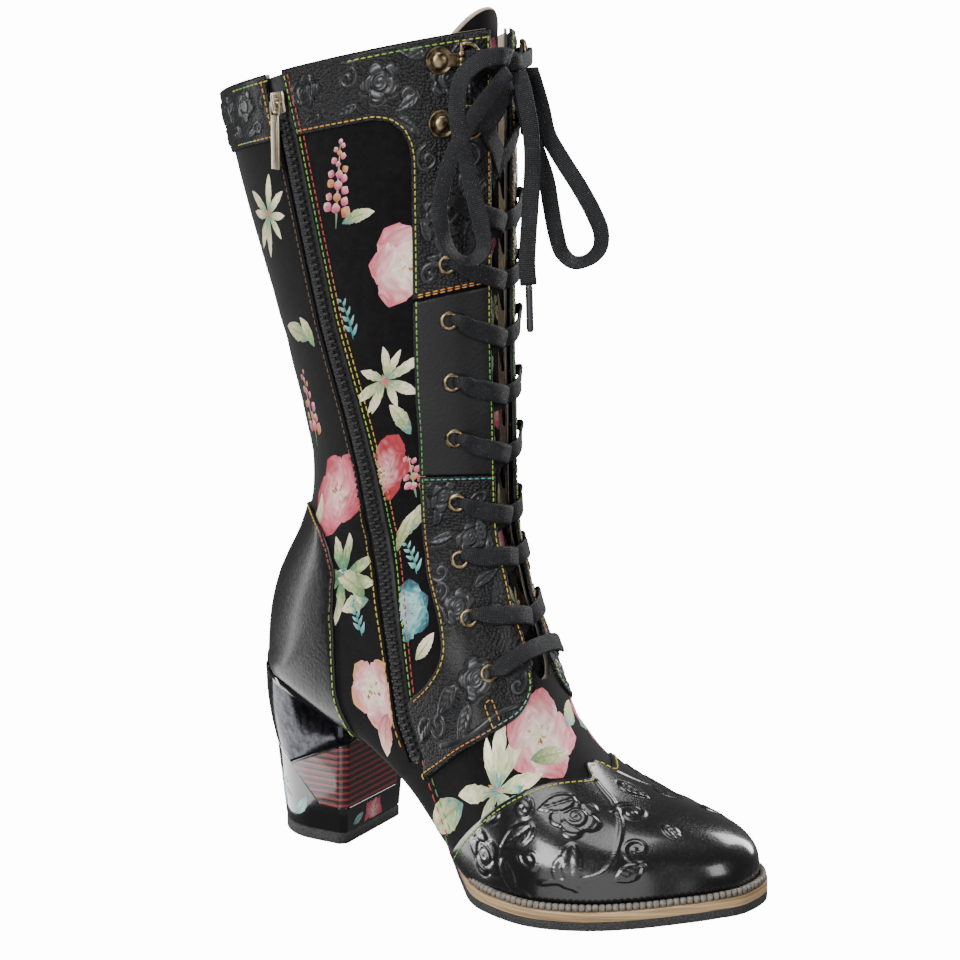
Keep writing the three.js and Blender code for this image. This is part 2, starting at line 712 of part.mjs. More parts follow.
// Lines of the feather and of the widest part of the foot, seen from above

function planPoint(station, side, wide) {
  const [topS, , lowS, , centre, medial, lateral, lowM, lowL, widest] = blendRows(ROWS, station);
  const half = Math.max(side < 0 ? medial : lateral, 0);
  const low = THREE.MathUtils.clamp(side < 0 ? lowM : lowL, 0, half);
  const s = wide ? THREE.MathUtils.lerp(topS, lowS, widest) : lowS;
  return new THREE.Vector2(centre + side * (wide ? half : low), s);
}

function planNormal(station, side, wide) {
  const ahead = planPoint(Math.min(station + 0.1, featherEnd), side, wide);
  const behind = station < 0.1 ? planPoint(0.1, -side, wide) : planPoint(station - 0.1, side, wide);
  const run = ahead.sub(behind).normalize();
  return new THREE.Vector2(-run.y * side, run.x * side);
}

function planOffset(station, side, wide, distance) {
  return planPoint(station, side, wide).addScaledVector(planNormal(station, side, wide), distance);
}

// The welted edge stands proud of the widest line in the forefoot and runs in to the feather at the waist
const weltEnd = 9.3;
const waistStart = 10.6;

function soleEdge(station, side, extra) {
  const inward = THREE.MathUtils.smoothstep(station, 8.6, waistStart);
  const proud = planOffset(station, side, true, soleOverhang + extra);
  const flush = planOffset(station, side, false, extra - clearance);
  return proud.lerp(flush, inward);
}

// Width of an outline at a place along the foot, as a function of that place
function outline(edge, stations) {
  const lines = {};
  for (const { name, side } of SIDES) {
    const table = [];
    for (const t of [...stations].reverse()) {
      const point = edge(t, side);
      if (table.length === 0 || point.y > table[table.length - 1][0] + 0.01) {
        table.push([point.y, point.x]);
      }
    }
    lines[name] = table;
  }
  return lines;
}

const featherTable = STATIONS.filter((station) => station <= featherEnd).reverse().map((station) => {
  const row = blendRows(ROWS, station);
  return [row[2], row[3]];
});
const featherHeightAt = (s) => along(featherTable, s);
const featherPlaces = featherTable.map((row) => row[0]);

// A plate of the sole between two heights, both functions of the place along the foot
function plate(lines, places, top, bottom) {
  const vertices = [];
  const faces = [];
  const rings = [];
  for (const s of places) {
    const left = along(lines.medial, s);
    const right = along(lines.lateral, s);
    const pointed = right - left < 0.2;
    const middle = (left + right) / 2;
    const ring = [];
    for (const [x, z] of [[left, top(s)], [right, top(s)], [right, bottom(s)], [left, bottom(s)]]) {
      const at = new THREE.Vector3(pointed ? middle : x, originInset - s, z);
      ring.push(at);
    }
    rings.push(ring);
  }
  rings.forEach((ring) => vertices.push(...ring));
  const quad = (a, b, c, d) => faces.push([a, c, b], [a, d, c]);
  for (let i = 0; i + 1 < rings.length; i += 1) {
    const a = i * 4;
    const b = a + 4;
    quad(a, a + 1, b + 1, b);
    quad(a + 1, a + 2, b + 2, b + 1);
    quad(a + 2, a + 3, b + 3, b + 2);
    quad(a + 3, a, b, b + 3);
  }
  const end = (rings.length - 1) * 4;
  quad(3, 2, 1, 0);
  quad(end, end + 1, end + 2, end + 3);
  return mergedSolid(vertices, faces);
}

// A closed solid from points of which some fall together
function mergedSolid(vertices, faces) {
  const ids = new Map();
  const kept = [];
  const remap = vertices.map((vertex) => {
    const key = vertex.toArray().map((value) => Math.round(value * 2000)).join(' ');
    if (!ids.has(key)) {
      ids.set(key, kept.length);
      kept.push(vertex);
    }
    return ids.get(key);
  });
  const whole = faces.map((face) => face.map((k) => remap[k])).filter(([a, b, c]) => a !== b && b !== c && c !== a);
  return closedSolid(kept, whole);
}

function sorted(values) {
  const order = [...values].sort((a, b) => a - b);
  return order.filter((value, k) => k === 0 || value - order[k - 1] > 0.05);
}

// Places along the foot where the sole's layers change, as shares of footLength
const layerEnd = 0.485 * footLength;
const layerFull = 0.56 * footLength;
const finePlan = range(0, featherEnd, 72);
const gridPlan = STATIONS.filter((station) => station <= featherEnd);
const edgeLines = outline((station, side) => soleEdge(station, side, 0), finePlan);
const toeTip = edgeLines.medial[edgeLines.medial.length - 1][0];
const seatBack = edgeLines.medial[0][0];
const toePlaces = range(0, 1, 8).map((f) => THREE.MathUtils.lerp(toeTip, 0.93 * footLength, f * f));
const solePlaces = sorted([...featherPlaces, ...toePlaces, layerEnd, layerFull]);

const fullness = (s) => THREE.MathUtils.clamp((s - layerEnd) / (layerFull - layerEnd), 0, 1);
const midsoleTop = (s) => featherHeightAt(s) - clearance;
const midsoleBottom = (s) => midsoleTop(s) - THREE.MathUtils.lerp(midsoleTail, midsoleThickness, fullness(s));
const outsoleTop = (s) => (s >= layerEnd - 0.01 ? midsoleBottom(s) : featherHeightAt(s)) - clearance;
const outsoleBottom = (s) => {
  const thickness = THREE.MathUtils.lerp(waistThickness, outsoleThickness, fullness(s));
  const base = s >= layerEnd - 0.01 ? outsoleTop(s) : featherHeightAt(s) - clearance;
  return Math.max(base - thickness, 0);
};

const midsolePlaces = solePlaces.filter((s) => s >= layerEnd && s <= toeTip);
addPiece('midsole', plate(edgeLines, midsolePlaces, midsoleTop, midsoleBottom), 'tan');

const outsolePlaces = sorted([...solePlaces, layerEnd - clearance * 2]).filter((s) => s <= toeTip);
addPiece('outsole', plate(edgeLines, outsolePlaces, outsoleTop, outsoleBottom), 'rubber');

// Insole inside the wall
const insoleLines = outline((station, side) => planOffset(station, side, false, -(wall + insoleInset)), gridPlan);
const insoleBack = insoleLines.medial[0][0];
const insoleTip = insoleLines.medial[insoleLines.medial.length - 1][0];
const insolePlaces = sorted([...featherPlaces, insoleBack, insoleTip, ...range(0.9, 0.98, 3).map((f) => f * footLength)])
  .filter((s) => s >= insoleBack && s <= insoleTip);
const insoleTop = (s) => featherHeightAt(s) + insoleThickness;
addPiece('insole', plate(insoleLines, insolePlaces, insoleTop, featherHeightAt), 'lining');

// Welt bead: a ribbed strip on the midsole's ledge, from the medial waist round the toe to the lateral one
const beadInset = overlayTop + clearance;
const beadBack = 0.5;

function beadPath() {
  const path = [];
  for (const side of [-1, 1]) {
    const stations = range(0, weltEnd, 160);
    const ordered = side < 0 ? stations.reverse() : stations.slice(1);
    for (const station of ordered) {
      const inner = planOffset(station, side, true, beadInset);
      const outer = soleEdge(station, side, -beadBack);
      path.push({ inner, outer });
    }
  }
  let run = 0;
  path.forEach((row, k) => {
    run += k > 0 ? row.outer.distanceTo(path[k - 1].outer) : 0;
    row.run = run;
  });
  return path;
}

function beadSolid() {
  const path = beadPath();
  const total = path[path.length - 1].run;
  const steps = 2 * Math.round(total / ribPitch);
  const vertices = [];
  const faces = [];
  const quad = (a, b, c, d) => faces.push([a, b, c], [a, c, d]);
  for (let k = 0; k <= steps; k += 1) {
    const target = (total * k) / steps;
    const i = Math.min(Math.max(path.findIndex((row) => row.run >= target) - 1, 0), path.length - 2);
    const f = (target - path[i].run) / Math.max(path[i + 1].run - path[i].run, 1e-6);
    const inner = path[i].inner.clone().lerp(path[i + 1].inner, f);
    const outer = path[i].outer.clone().lerp(path[i + 1].outer, f);
    const out = outer.clone().sub(inner).normalize();
    const valley = k % 2 === 0 ? ribDepth : 0;
    outer.addScaledVector(out, -valley);
    const base = featherHeightAt(inner.y);
    const top = base + beadHeight - valley / 2;
    for (const [point, z] of [[inner, top], [outer, top], [outer, base], [inner, base]]) {
      vertices.push(new THREE.Vector3(point.x, originInset - point.y, z));
    }
    if (k > 0) {
      const a = (k - 1) * 4;
      const b = a + 4;
      quad(a, a + 1, b + 1, b);
      quad(a + 1, a + 2, b + 2, b + 1);
      quad(a + 2, a + 3, b + 3, b + 2);
      quad(a + 3, a, b, b + 3);
    }
  }
  const end = steps * 4;
  quad(3, 2, 1, 0);
  quad(end, end + 1, end + 2, end + 3);
  return closedSolid(vertices, faces);
}

addPiece('welt_bead', beadSolid(), 'bead');

// Heel: a block with straight sides, a round back and a flat breast, and a cup that holds the seat
const heelArcSteps = 10;

function heelRing(width, back, length, z) {
  const half = width / 2;
  const centre = back + half;
  const ring = [new THREE.Vector2(-half, back + length), new THREE.Vector2(half, back + length)];
  for (let k = 0; k <= heelArcSteps; k += 1) {
    const angle = (Math.PI * k) / heelArcSteps;
    ring.push(new THREE.Vector2(half * Math.cos(angle), centre - half * Math.sin(angle)));
  }
  const pivot = originInset;
  return ring.map(({ x, y }) => {
    const ahead = y - pivot;
    const turnedX = x * Math.cos(heelTurn) + ahead * Math.sin(heelTurn);
    const turnedS = pivot + ahead * Math.cos(heelTurn) - x * Math.sin(heelTurn);
    return new THREE.Vector3(turnedX, originInset - turnedS, z);
  });
}

// Joins rings of the same count into one closed solid, lowest ring first
function loft(rings) {
  const count = rings[0].length;
  const vertices = rings.flat();
  const faces = [];
  for (let i = 0; i + 1 < rings.length; i += 1) {
    for (let j = 0; j < count; j += 1) {
      const next = (j + 1) % count;
      const [a, b, c, d] = [i * count + j, i * count + next, (i + 1) * count + next, (i + 1) * count + j];
      faces.push([a, b, c], [a, c, d]);
    }
  }
  for (let j = 1; j + 1 < count; j += 1) {
    const top = (rings.length - 1) * count;
    faces.push([0, j + 1, j], [top, top + j, top + j + 1]);
  }
  return closedSolid(vertices, faces);
}

const heelBlockFoot = heelPieceThickness + clearance;
const heelRoof = heelHeight + 12;
const heelBlock = loft([
  heelRing(heelFootWidth, heelFootBack, heelFootLength, heelBlockFoot),
  heelRing(heelTopWidth, heelTopBack, heelTopLength, heelRoof),
]);
const wideLines = {
  medial: [[-footLength, -ballWidth], [footLength, -ballWidth]],
  lateral: [[-footLength, ballWidth], [footLength, ballWidth]],
};
const seatPlaces = sorted([-0.2 * footLength, ...featherPlaces.filter((s) => s < 0.45 * footLength)]);
const aboveFeather = plate(wideLines, seatPlaces, always(collarHeight), (s) => featherHeightAt(s) - 1.5 * clearance);
const pocketLines = outline((station, side) => soleEdge(station, side, clearance), finePlan);
const pocketBack = pocketLines.medial[0][0];
const pocketPlaces = sorted([pocketBack, ...featherPlaces.filter((s) => s < 0.45 * footLength && s > pocketBack)]);
const seatPocket = plate(pocketLines, pocketPlaces, always(collarHeight), (s) => outsoleBottom(s) - clearance);
addPiece('heel_block', heelBlock.subtract(aboveFeather).subtract(seatPocket), 'heel');
addPiece('heel_top_piece', loft([
  heelRing(heelFootWidth, heelFootBack, heelFootLength, 0),
  heelRing(heelFootWidth, heelFootBack, heelFootLength, heelPieceThickness),
]), 'rubber');

// Zip: tape in the slot, chain on the tape
const tapeTop = -0.6;
const chainBase = tapeTop + clearance;
const zipRun = 0.12;
const sliderStation = 28.28;
const sliderLength = 9;
addPiece('zip_tape', zipStrip(zipTapeWidth / 2, zipFoot + zipRun, collar - 0.02, -wall, tapeTop), 'zip');
addPiece('zip_chain', zipStrip(zipChainWidth / 2, zipFoot + 2 * zipRun, sliderStation, chainBase, zipChainRise), 'zip');

// Slider with a bridge over the pull's crossbar
const sliderFrame = frameAt(sliderStation, zipShare(sliderStation), zipSide);
const sliderWidth = 7.2;
const sliderThickness = 2.6;
const bridgeWire = 0.9;
const bridgeClear = 1.9;

function boxSolid(width, length, height, x, y, z, frame) {
  const box = new THREE.BoxGeometry(width, length, height);
  box.translate(x, y, z);
  return solidOf(box, frame);
}

const sliderBase = chainBase;
const sliderTop = sliderBase + sliderThickness;
const barHeight = sliderTop + bridgeClear / 2 + 0.1;
const bridgeTop = sliderTop + bridgeClear + 0.2;
const bridgeHalf = 2.6;
const sliderY = sliderLength / 2 + 0.6;
const slider = boxSolid(sliderWidth, sliderLength, sliderThickness, 0, sliderY, sliderBase + sliderThickness / 2, sliderFrame)
  .add(boxSolid(1.6, bridgeWire, bridgeTop - sliderTop + 0.4, 0, sliderY - bridgeHalf, (sliderTop + bridgeTop) / 2 - 0.2, sliderFrame))
  .add(boxSolid(1.6, bridgeWire, bridgeTop - sliderTop + 0.4, 0, sliderY + bridgeHalf, (sliderTop + bridgeTop) / 2 - 0.2, sliderFrame))
  .add(boxSolid(1.6, 2 * bridgeHalf + bridgeWire, bridgeWire, 0, sliderY, bridgeTop + bridgeWire / 2 - 0.1, sliderFrame));
addPiece('zip_slider', slider, 'pale');

// The pull hangs plumb from its crossbar
const barCentre = new THREE.Vector3(0, sliderY, barHeight).applyMatrix4(sliderFrame);
const sliderOut = new THREE.Vector3().setFromMatrixColumn(sliderFrame, 2);
const plumbOut = new THREE.Vector3(sliderOut.x, sliderOut.y, 0).normalize();
const plumbAcross = new THREE.Vector3(0, 0, 1).cross(plumbOut);
const pullFrame = new THREE.Matrix4().makeBasis(plumbAcross, new THREE.Vector3(0, 0, 1), plumbOut).setPosition(barCentre);
const barSide = 1;
const windowHalf = 1.9;
const windowDrop = 5.4;
const pullLean = 1.2;
const pullArm = 0.9;
const crossbar = new THREE.CylinderGeometry(barSide / 2, barSide / 2, 2 * windowHalf + 2 * pullArm, 8).rotateZ(Math.PI / 2);
const pull = solidOf(crossbar, pullFrame)
  .add(boxSolid(pullArm, windowDrop, barSide, -(windowHalf + pullArm / 2), -windowDrop / 2 + barSide / 2, 0, pullFrame))
  .add(boxSolid(pullArm, windowDrop, barSide, windowHalf + pullArm / 2, -windowDrop / 2 + barSide / 2, 0, pullFrame))
  .add(boxSolid(pullWidth + 1.1, pullLength - windowDrop + barSide, pullThickness, 0, -(pullLength + windowDrop - barSide) / 2, pullLean / 2 - 0.5, pullFrame));
addPiece('zip_pull', pull, 'pale');

// Eyelets: a flange on the leather and a barrel through the wall
const barrelBottom = -wall - 0.2;

for (const { name, side } of SIDES) {
  EYELETS.forEach((row, k) => {
    const base = overlayTop + eyeletSeat;
    const profile = [
      [eyeletHole, barrelBottom],
      [eyeletBarrel, barrelBottom],
      [eyeletBarrel, base],
      [eyeletRadius, base],
      [eyeletCrest, base + eyeletFlange],
      [eyeletHole, barrelBottom],
    ].map(([x, y]) => new THREE.Vector2(x, y));
    const ring = upright(new THREE.LatheGeometry(profile, eyeletSides));
    addPiece(`eyelet_${name}_${k + 1}`, solidOf(ring, fastenerFrame(row, side)), 'brass');
  });
}

// Lace loops: a riveted plate, a knuckle beside it and a D-shaped wire that swings from its pin
const loopPlateRadius = 5.5;
const loopPlateThickness = 1;
const rivetRadius = 3.3;
const rivetHeight = 1.4;
const knuckleOut = 8.6;
const knuckleRadius = 1.7;
const knuckleLength = 6.5;
const pinLength = 12.4;
const wireRadius = 0.9;
const loopReach = 7;
const wireSides = 5;
const wireSteps = 6;
const loopBase = overlayTop + clearance;
const wireHeight = loopBase + knuckleRadius;

function sweep(points, sides, radius, frame) {
  const vertices = [];
  const faces = [];
  points.forEach((point, k) => {
    const before = points[Math.max(k - 1, 0)];
    const after = points[Math.min(k + 1, points.length - 1)];
    const onward = after.clone().sub(before).normalize();
    const across = new THREE.Vector3(0, 0, 1);
    const level = onward.clone().cross(across).normalize();
    for (let j = 0; j < sides; j += 1) {
      const angle = (2 * Math.PI * j) / sides;
      const at = point.clone().addScaledVector(level, radius * Math.cos(angle));
      vertices.push(at.addScaledVector(across, radius * Math.sin(angle)).applyMatrix4(frame));
    }
  });
  for (let k = 0; k + 1 < points.length; k += 1) {
    for (let j = 0; j < sides; j += 1) {
      const next = (j + 1) % sides;
      const [a, b, c, d] = [k * sides + j, k * sides + next, (k + 1) * sides + next, (k + 1) * sides + j];
      faces.push([a, c, b], [a, d, c]);
    }
  }
  const end = (points.length - 1) * sides;
  for (let j = 1; j + 1 < sides; j += 1) {
    faces.push([0, j, j + 1], [end, end + j + 1, end + j]);
  }
  return closedSolid(vertices, faces);
}

function laceLoop(row, side) {
  const frame = fastenerFrame(row, side);
  const inward = -side;
  const profile = [
    [0, loopBase],
    [loopPlateRadius, loopBase],
    [loopPlateRadius, loopBase + loopPlateThickness],
    [rivetRadius, loopBase + loopPlateThickness + rivetHeight / 3],
    [0, loopBase + loopPlateThickness + rivetHeight],
  ].map(([x, y]) => new THREE.Vector2(x, y));
  const plateSolid = solidOf(upright(new THREE.LatheGeometry(profile, 8)), frame);
  const arm = boxSolid(knuckleOut, knuckleLength - 1, loopPlateThickness, (inward * knuckleOut) / 2, 0, loopBase + loopPlateThickness / 2, frame);
  const barrel = new THREE.CylinderGeometry(knuckleRadius, knuckleRadius, knuckleLength, wireSides);
  barrel.translate(inward * knuckleOut, 0, wireHeight);
  const wire = range(0, 1, wireSteps).map((f) => {
    const angle = Math.PI * (f - 0.5);
    const reach = loopReach * Math.max(Math.cos(angle), 0) ** 0.7;
    return new THREE.Vector3(inward * (knuckleOut + reach), (pinLength / 2) * Math.sin(angle), wireHeight);
  });
  const pinBar = new THREE.CylinderGeometry(wireRadius, wireRadius, pinLength + wireRadius, wireSides);
  pinBar.translate(inward * knuckleOut, 0, wireHeight);
  return plateSolid
    .add(arm)
    .add(solidOf(barrel, frame))
    .add(solidOf(pinBar, frame))
    .add(sweep(wire, wireSides, wireRadius, frame));
}

for (const { name, side } of SIDES) {
  LACE_LOOPS.forEach((row, k) => {
    addPiece(`lace_loop_${name}_${k + 1}`, laceLoop(row, side), 'brass');
  });
}

// Places on the faceted grid of the upper, so that what lies under the wall keeps an even gap to it
const gridVertex = (i, j, side) => {
  const point = surfacePoint(STATIONS[i], SHARES[j], side);
  return { point, normal: surfaceNormal(STATIONS[i], SHARES[j], side) };
};

function facetPoint(station, share, side, lift) {
  const lastRow = STATIONS.length - 2;
  const i = station >= STATIONS[lastRow + 1] ? lastRow : Math.max(STATIONS.findIndex((value) => value > station) - 1, 0);
  const j = Math.max(SHARES.findIndex((value) => value > share) - 1, 0);
  const a = (station - STATIONS[i]) / (STATIONS[i + 1] - STATIONS[i]);
  const b = (share - SHARES[j]) / (SHARES[j + 1] - SHARES[j]);
  const corner = (row, column) => {
    const { point, normal } = gridVertex(row, column, side);
    return point.addScaledVector(normal, lift);
  };
  const [low, high] = [corner(i, j), corner(i + 1, j + 1)];
  const [lowAcross, highNear] = [corner(i, j + 1), corner(i + 1, j)];
  const mix = (from, one, f, two, g) => from.clone()
    .addScaledVector(one.clone().sub(from), f)
    .addScaledVector(two.clone().sub(from), g);
  if (side < 0) {
    return a + b < 1 ? mix(low, highNear, a, lowAcross, b) : mix(high, lowAcross, 1 - a, highNear, 1 - b);
  }
  return b > a ? mix(lowAcross, low, 1 - b, high, a) : mix(highNear, low, 1 - a, high, b);
}

// Laces: flat strips from each eyelet over the facing's edge, across, and up under the opposite facing
const laceOver = overlayTop + eyeletSeat + eyeletFlange + clearance + laceThickness / 2;
const laceFacing = overlayTop + clearance + laceThickness / 2;
const laceUnder = -(wall + laceRoom + laceThickness / 2);
const plugWidth = 3.2;
const laceCross = throatHalf - 1.6;
const ringHold = knuckleOut + loopReach * 0.6;
const ringTip = knuckleOut + loopReach;
const ringUnder = wireHeight - wireRadius - laceRoom - laceThickness / 2;
const ringOver = wireHeight + wireRadius + clearance + laceThickness / 2;

// A place on a lace loop: reach from its rivet towards the throat, and height over the leather
function ringPoint(row, side, reach, height, rise = 0) {
  const frame = fastenerFrame(row, side);
  const normal = new THREE.Vector3().setFromMatrixColumn(frame, 2);
  return { point: new THREE.Vector3(-side * reach, rise, height).applyMatrix4(frame), normal };
}

function lacePoint({ station, out, lift }) {
  const side = out < 0 ? -1 : 1;
  const share = shareAt(station, Math.abs(out), side);
  const normal = surfaceNormal(station, share, side);
  const smooth = surfacePoint(station, share, side).addScaledVector(normal, lift);
  const mix = THREE.MathUtils.clamp((lift - laceUnder) / (laceFacing - laceUnder), 0, 1);
  return { point: facetPoint(station, share, side, lift).lerp(smooth, mix), normal };
}

// A flat strip through route points, each with its own outward direction
function strip(route, halfWidth, halfThickness) {
  const vertices = [];
  const faces = [];
  route.forEach(({ point, normal }, k) => {
    const before = route[Math.max(k - 1, 0)].point;
    const after = route[Math.min(k + 1, route.length - 1)].point;
    const onward = after.clone().sub(before).normalize();
    const wide = normal.clone().cross(onward).normalize();
    const thick = onward.clone().cross(wide);
    for (const [w, h] of [[-1, -1], [1, -1], [1, 1], [-1, 1]]) {
      vertices.push(point.clone().addScaledVector(wide, w * halfWidth).addScaledVector(thick, h * halfThickness));
    }
    if (k > 0) {
      for (let j = 0; j < 4; j += 1) {
        const next = (j + 1) % 4;
        const [a, b, c, d] = [(k - 1) * 4 + j, (k - 1) * 4 + next, k * 4 + next, k * 4 + j];
        faces.push([a, b, c], [a, c, d]);
      }
    }
  });
  const end = (route.length - 1) * 4;
  faces.push([0, 2, 1], [0, 3, 2], [end, end + 1, end + 2], [end, end + 2, end + 3]);
  return closedSolid(vertices, faces);
}

// Route between two stations, through [signed distance from the centre, lift] places
function laceRoute(from, to, places) {
  const first = places[0][0];
  const last = places[places.length - 1][0];
  return places.map(([out, lift]) => {
    const station = THREE.MathUtils.lerp(from, to, (out - first) / (last - first));
    return lacePoint({ station, out, lift });
  });
}

function laceStrip(route) {
  return strip(route, laceWidth / 2, laceThickness / 2);
}

const outOf = (row) => row.out * eyestayWidth;

// The knot sits in front of the throat, level with the upper lace loops
const KNOT = [-3.4, 123.6, 337];
const knotSize = [5, 4.4, 4.8];
const knotPlace = new THREE.Vector3(KNOT[0], originInset - KNOT[1], KNOT[2]);

function knotEnd(side) {
  const normal = new THREE.Vector3(0, -1, 0);
  const point = knotPlace.clone();
  point.x += side * (knotSize[0] + laceRoom);
  return { point, normal };
}

const laceStrips = [];
const beyondHole = 2;
const laceSlope = 0.15;
const bendOut = (station) => SHARES[1] * girthAt(station, 1);
const lastEyelet = EYELETS[EYELETS.length - 1];
const [lowRing, highRing] = LACE_LOOPS;

for (const { side } of SIDES) {
  const away = -side;
  const overEdge = side * (throatHalf + 2.5);
  const across = [[side * laceCross, laceFacing + 0.4], [away * laceCross, laceUnder]];
  EYELETS.forEach((row, k) => {
    const middle = (laceOver + laceUnder) / 2;
    laceStrips.push(boxSolid(laceThickness, plugWidth, laceOver - laceUnder + 0.6, 0, 0, middle - 0.3, fastenerFrame(row, side)));
    if (k > 0) {
      const below = EYELETS[k - 1];
      const slope = -(row.station - below.station) * laceSlope;
      laceStrips.push(laceStrip([
        ringPoint(row, side, -beyondHole, laceOver, -beyondHole * slope),
        ringPoint(row, side, eyeletRadius, laceOver, eyeletRadius * slope),
        ...laceRoute(row.station + slope * 0.2, below.station, [
          [side * (throatHalf + 7), laceOver],
          [overEdge, laceFacing + 0.7],
          ...across,
          [away * bendOut(below.station), laceUnder],
          [away * (outOf(below) + beyondHole), laceUnder],
        ]),
      ]));
    }
  });
  laceStrips.push(laceStrip([
    ringPoint(lowRing, side, ringHold - 1, ringUnder),
    ringPoint(lowRing, side, ringTip + 1, ringUnder - 0.6),
    ...laceRoute(lowRing.station, lastEyelet.station, [
      [overEdge, laceFacing + 0.4],
      ...across,
      [away * bendOut(lastEyelet.station), laceUnder],
      [away * (outOf(lastEyelet) + beyondHole), laceUnder],
    ]),
  ]));
  laceStrips.push(laceStrip([
    ringPoint(lowRing, side, ringHold - 0.5, ringOver),
    ringPoint(lowRing, side, ringTip + 2, ringOver),
    ...laceRoute(lowRing.station + 0.3, highRing.station - 0.2, [
      [side * laceCross * 0.6, laceOver + 1.6],
      [away * (throatHalf + 2.5), laceFacing + 0.8],
    ]),
    ringPoint(highRing, away, ringTip + 1, ringUnder - 0.6),
    ringPoint(highRing, away, ringHold - 1, ringUnder),
  ]));
  laceStrips.push(laceStrip([
    ringPoint(highRing, side, ringHold - 0.5, ringOver),
    ringPoint(highRing, side, ringTip + 1.5, ringOver),
    knotEnd(side),
  ]));
  for (const row of LACE_LOOPS) {
    const reach = away * ringHold;
    const middle = (ringOver + ringUnder) / 2;
    laceStrips.push(boxSolid(laceThickness, laceWidth - 0.8, ringOver - ringUnder, reach, 0, middle, fastenerFrame(row, side)));
  }
}

// The bottom bar lies outside, between the lowest eyelets
const bottomRow = EYELETS[0];
laceStrips.push(laceStrip([
  ringPoint(bottomRow, -1, -beyondHole, laceOver),
  ringPoint(bottomRow, -1, eyeletRadius, laceOver),
  ...laceRoute(bottomRow.station, bottomRow.station, [
    [-(throatHalf + 6), laceOver],
    [-(throatHalf - 1), laceOver - 0.3],
    [throatHalf - 1, laceOver - 0.3],
    [throatHalf + 6, laceOver],
  ]),
  ringPoint(bottomRow, 1, eyeletRadius, laceOver),
  ringPoint(bottomRow, 1, -beyondHole, laceOver),
]));
const laces = laceStrips.slice(1).reduce((whole, piece) => whole.add(piece), laceStrips[0]);
addPiece('lace_crossings', laces, 'cord');

// The bow: a knot, two hanging loops and one free end with its aglet. Points are x, distance ahead of the
// heel and height, chosen by hand.
const LOOP_RIGHT = [
  [3.6, 128.4, 334.4], [5.6, 129.4, 327], [7.4, 131, 318], [9.2, 132.6, 308], [12.6, 137.2, 298], [16.8, 142.9, 287], [20.4, 147.8, 276],
  [22.1, 150.1, 268.4], [21.8, 149.6, 262], [19, 146.2, 257.6], [15.3, 141.4, 256.6], [12.5, 137.6, 260.6], [11.2, 135.6, 268],
  [9.9, 133.9, 279], [8.6, 132.4, 290], [6.6, 129.8, 300], [4.4, 127.2, 310], [3, 125.4, 318], [1.6, 123.8, 327],
];
const LOOP_LEFT = [
  [-9.8, 127.4, 338.6], [-14.5, 127.6, 339.6], [-21.5, 123, 338.4], [-28.4, 118, 332], [-30.6, 116.7, 319.6], [-29.3, 117.7, 306.8],
  [-27.1, 119.3, 295.8], [-24.9, 121, 284.7], [-22.6, 122.7, 273.1], [-21.9, 123.3, 264.6], [-25.7, 120.5, 259.6], [-31.2, 116.5, 261.6],
  [-34.8, 113.8, 268.4], [-36.6, 112.5, 279], [-35.6, 113.2, 289], [-33, 115, 299], [-28.4, 118.4, 310], [-23, 122.4, 320], [-17, 126, 328],
  [-11, 127.4, 333.6],
];
const FREE_END = [
  [-4, 127, 333.2], [-4.6, 129.9, 327], [-3.9, 131.2, 319.6], [-2.7, 132.1, 312], [-2.1, 132.7, 303], [-2.3, 132.9, 292], [-3.1, 132.7, 280], [-3.9, 132.3, 268],
  [-4.1, 131.9, 257], [-3.3, 132.1, 248.6],
];
const AGLET = [[-3.1, 132.2, 247.6], [-2.7, 132.6, 229.6]];
const loopHalfWidth = 3.4;
const cordSides = 6;

function bowRoute(list, ahead) {
  const curve = new THREE.CatmullRomCurve3(list.map(([x, s, z]) => new THREE.Vector3(x, originInset - s, z)), false, 'centripetal');
  const count = Math.round(curve.getLength() / ahead);
  return curve.getSpacedPoints(count);
}

// A flat cord that keeps its broad side along one outward direction
function flatCord(points, outward, halfWidth, halfThickness) {
  const rings = points.map((point, k) => {
    const onward = points[Math.min(k + 1, points.length - 1)].clone().sub(points[Math.max(k - 1, 0)]).normalize();
    const wide = outward.clone().addScaledVector(onward, -outward.dot(onward)).normalize();
    const thick = onward.clone().cross(wide);
    return range(0, 1, cordSides).slice(1).map((f) => {
      const angle = 2 * Math.PI * f;
      const w = Math.sign(Math.cos(angle)) * Math.abs(Math.cos(angle)) ** 0.6 * halfWidth;
      const h = Math.sign(Math.sin(angle)) * Math.abs(Math.sin(angle)) ** 0.6 * halfThickness;
      return point.clone().addScaledVector(wide, w).addScaledVector(thick, h);
    });
  });
  return loft(rings);
}

const cordStep = 16;
const bowStep = 9;
const cordHalfThickness = laceThickness * 0.6;
const rightOut = new THREE.Vector3(-0.8, -0.6, 0);
const leftOut = new THREE.Vector3(-0.6, -0.8, 0);
const knotBall = new THREE.SphereGeometry(1, 8, 5);
const knotMatrix = new THREE.Matrix4().makeTranslation(knotPlace.x, knotPlace.y, knotPlace.z).scale(new THREE.Vector3(...knotSize));
addPiece('lace_knot', solidOf(knotBall, knotMatrix), 'cord');
addPiece('lace_bow_right', flatCord(bowRoute(LOOP_RIGHT, bowStep), rightOut, loopHalfWidth, cordHalfThickness), 'cord');
addPiece('lace_bow_left', flatCord(bowRoute(LOOP_LEFT, bowStep), leftOut, loopHalfWidth, cordHalfThickness), 'cord');
addPiece('lace_end', flatCord(bowRoute(FREE_END, cordStep), new THREE.Vector3(-0.9, 0.4, 0).normalize(), loopHalfWidth, cordHalfThickness), 'cord');
addPiece('lace_aglet', flatCord(bowRoute(AGLET, cordStep), new THREE.Vector3(-0.9, 0.4, 0).normalize(), 1.7, 1.2), 'zip');

export default group;
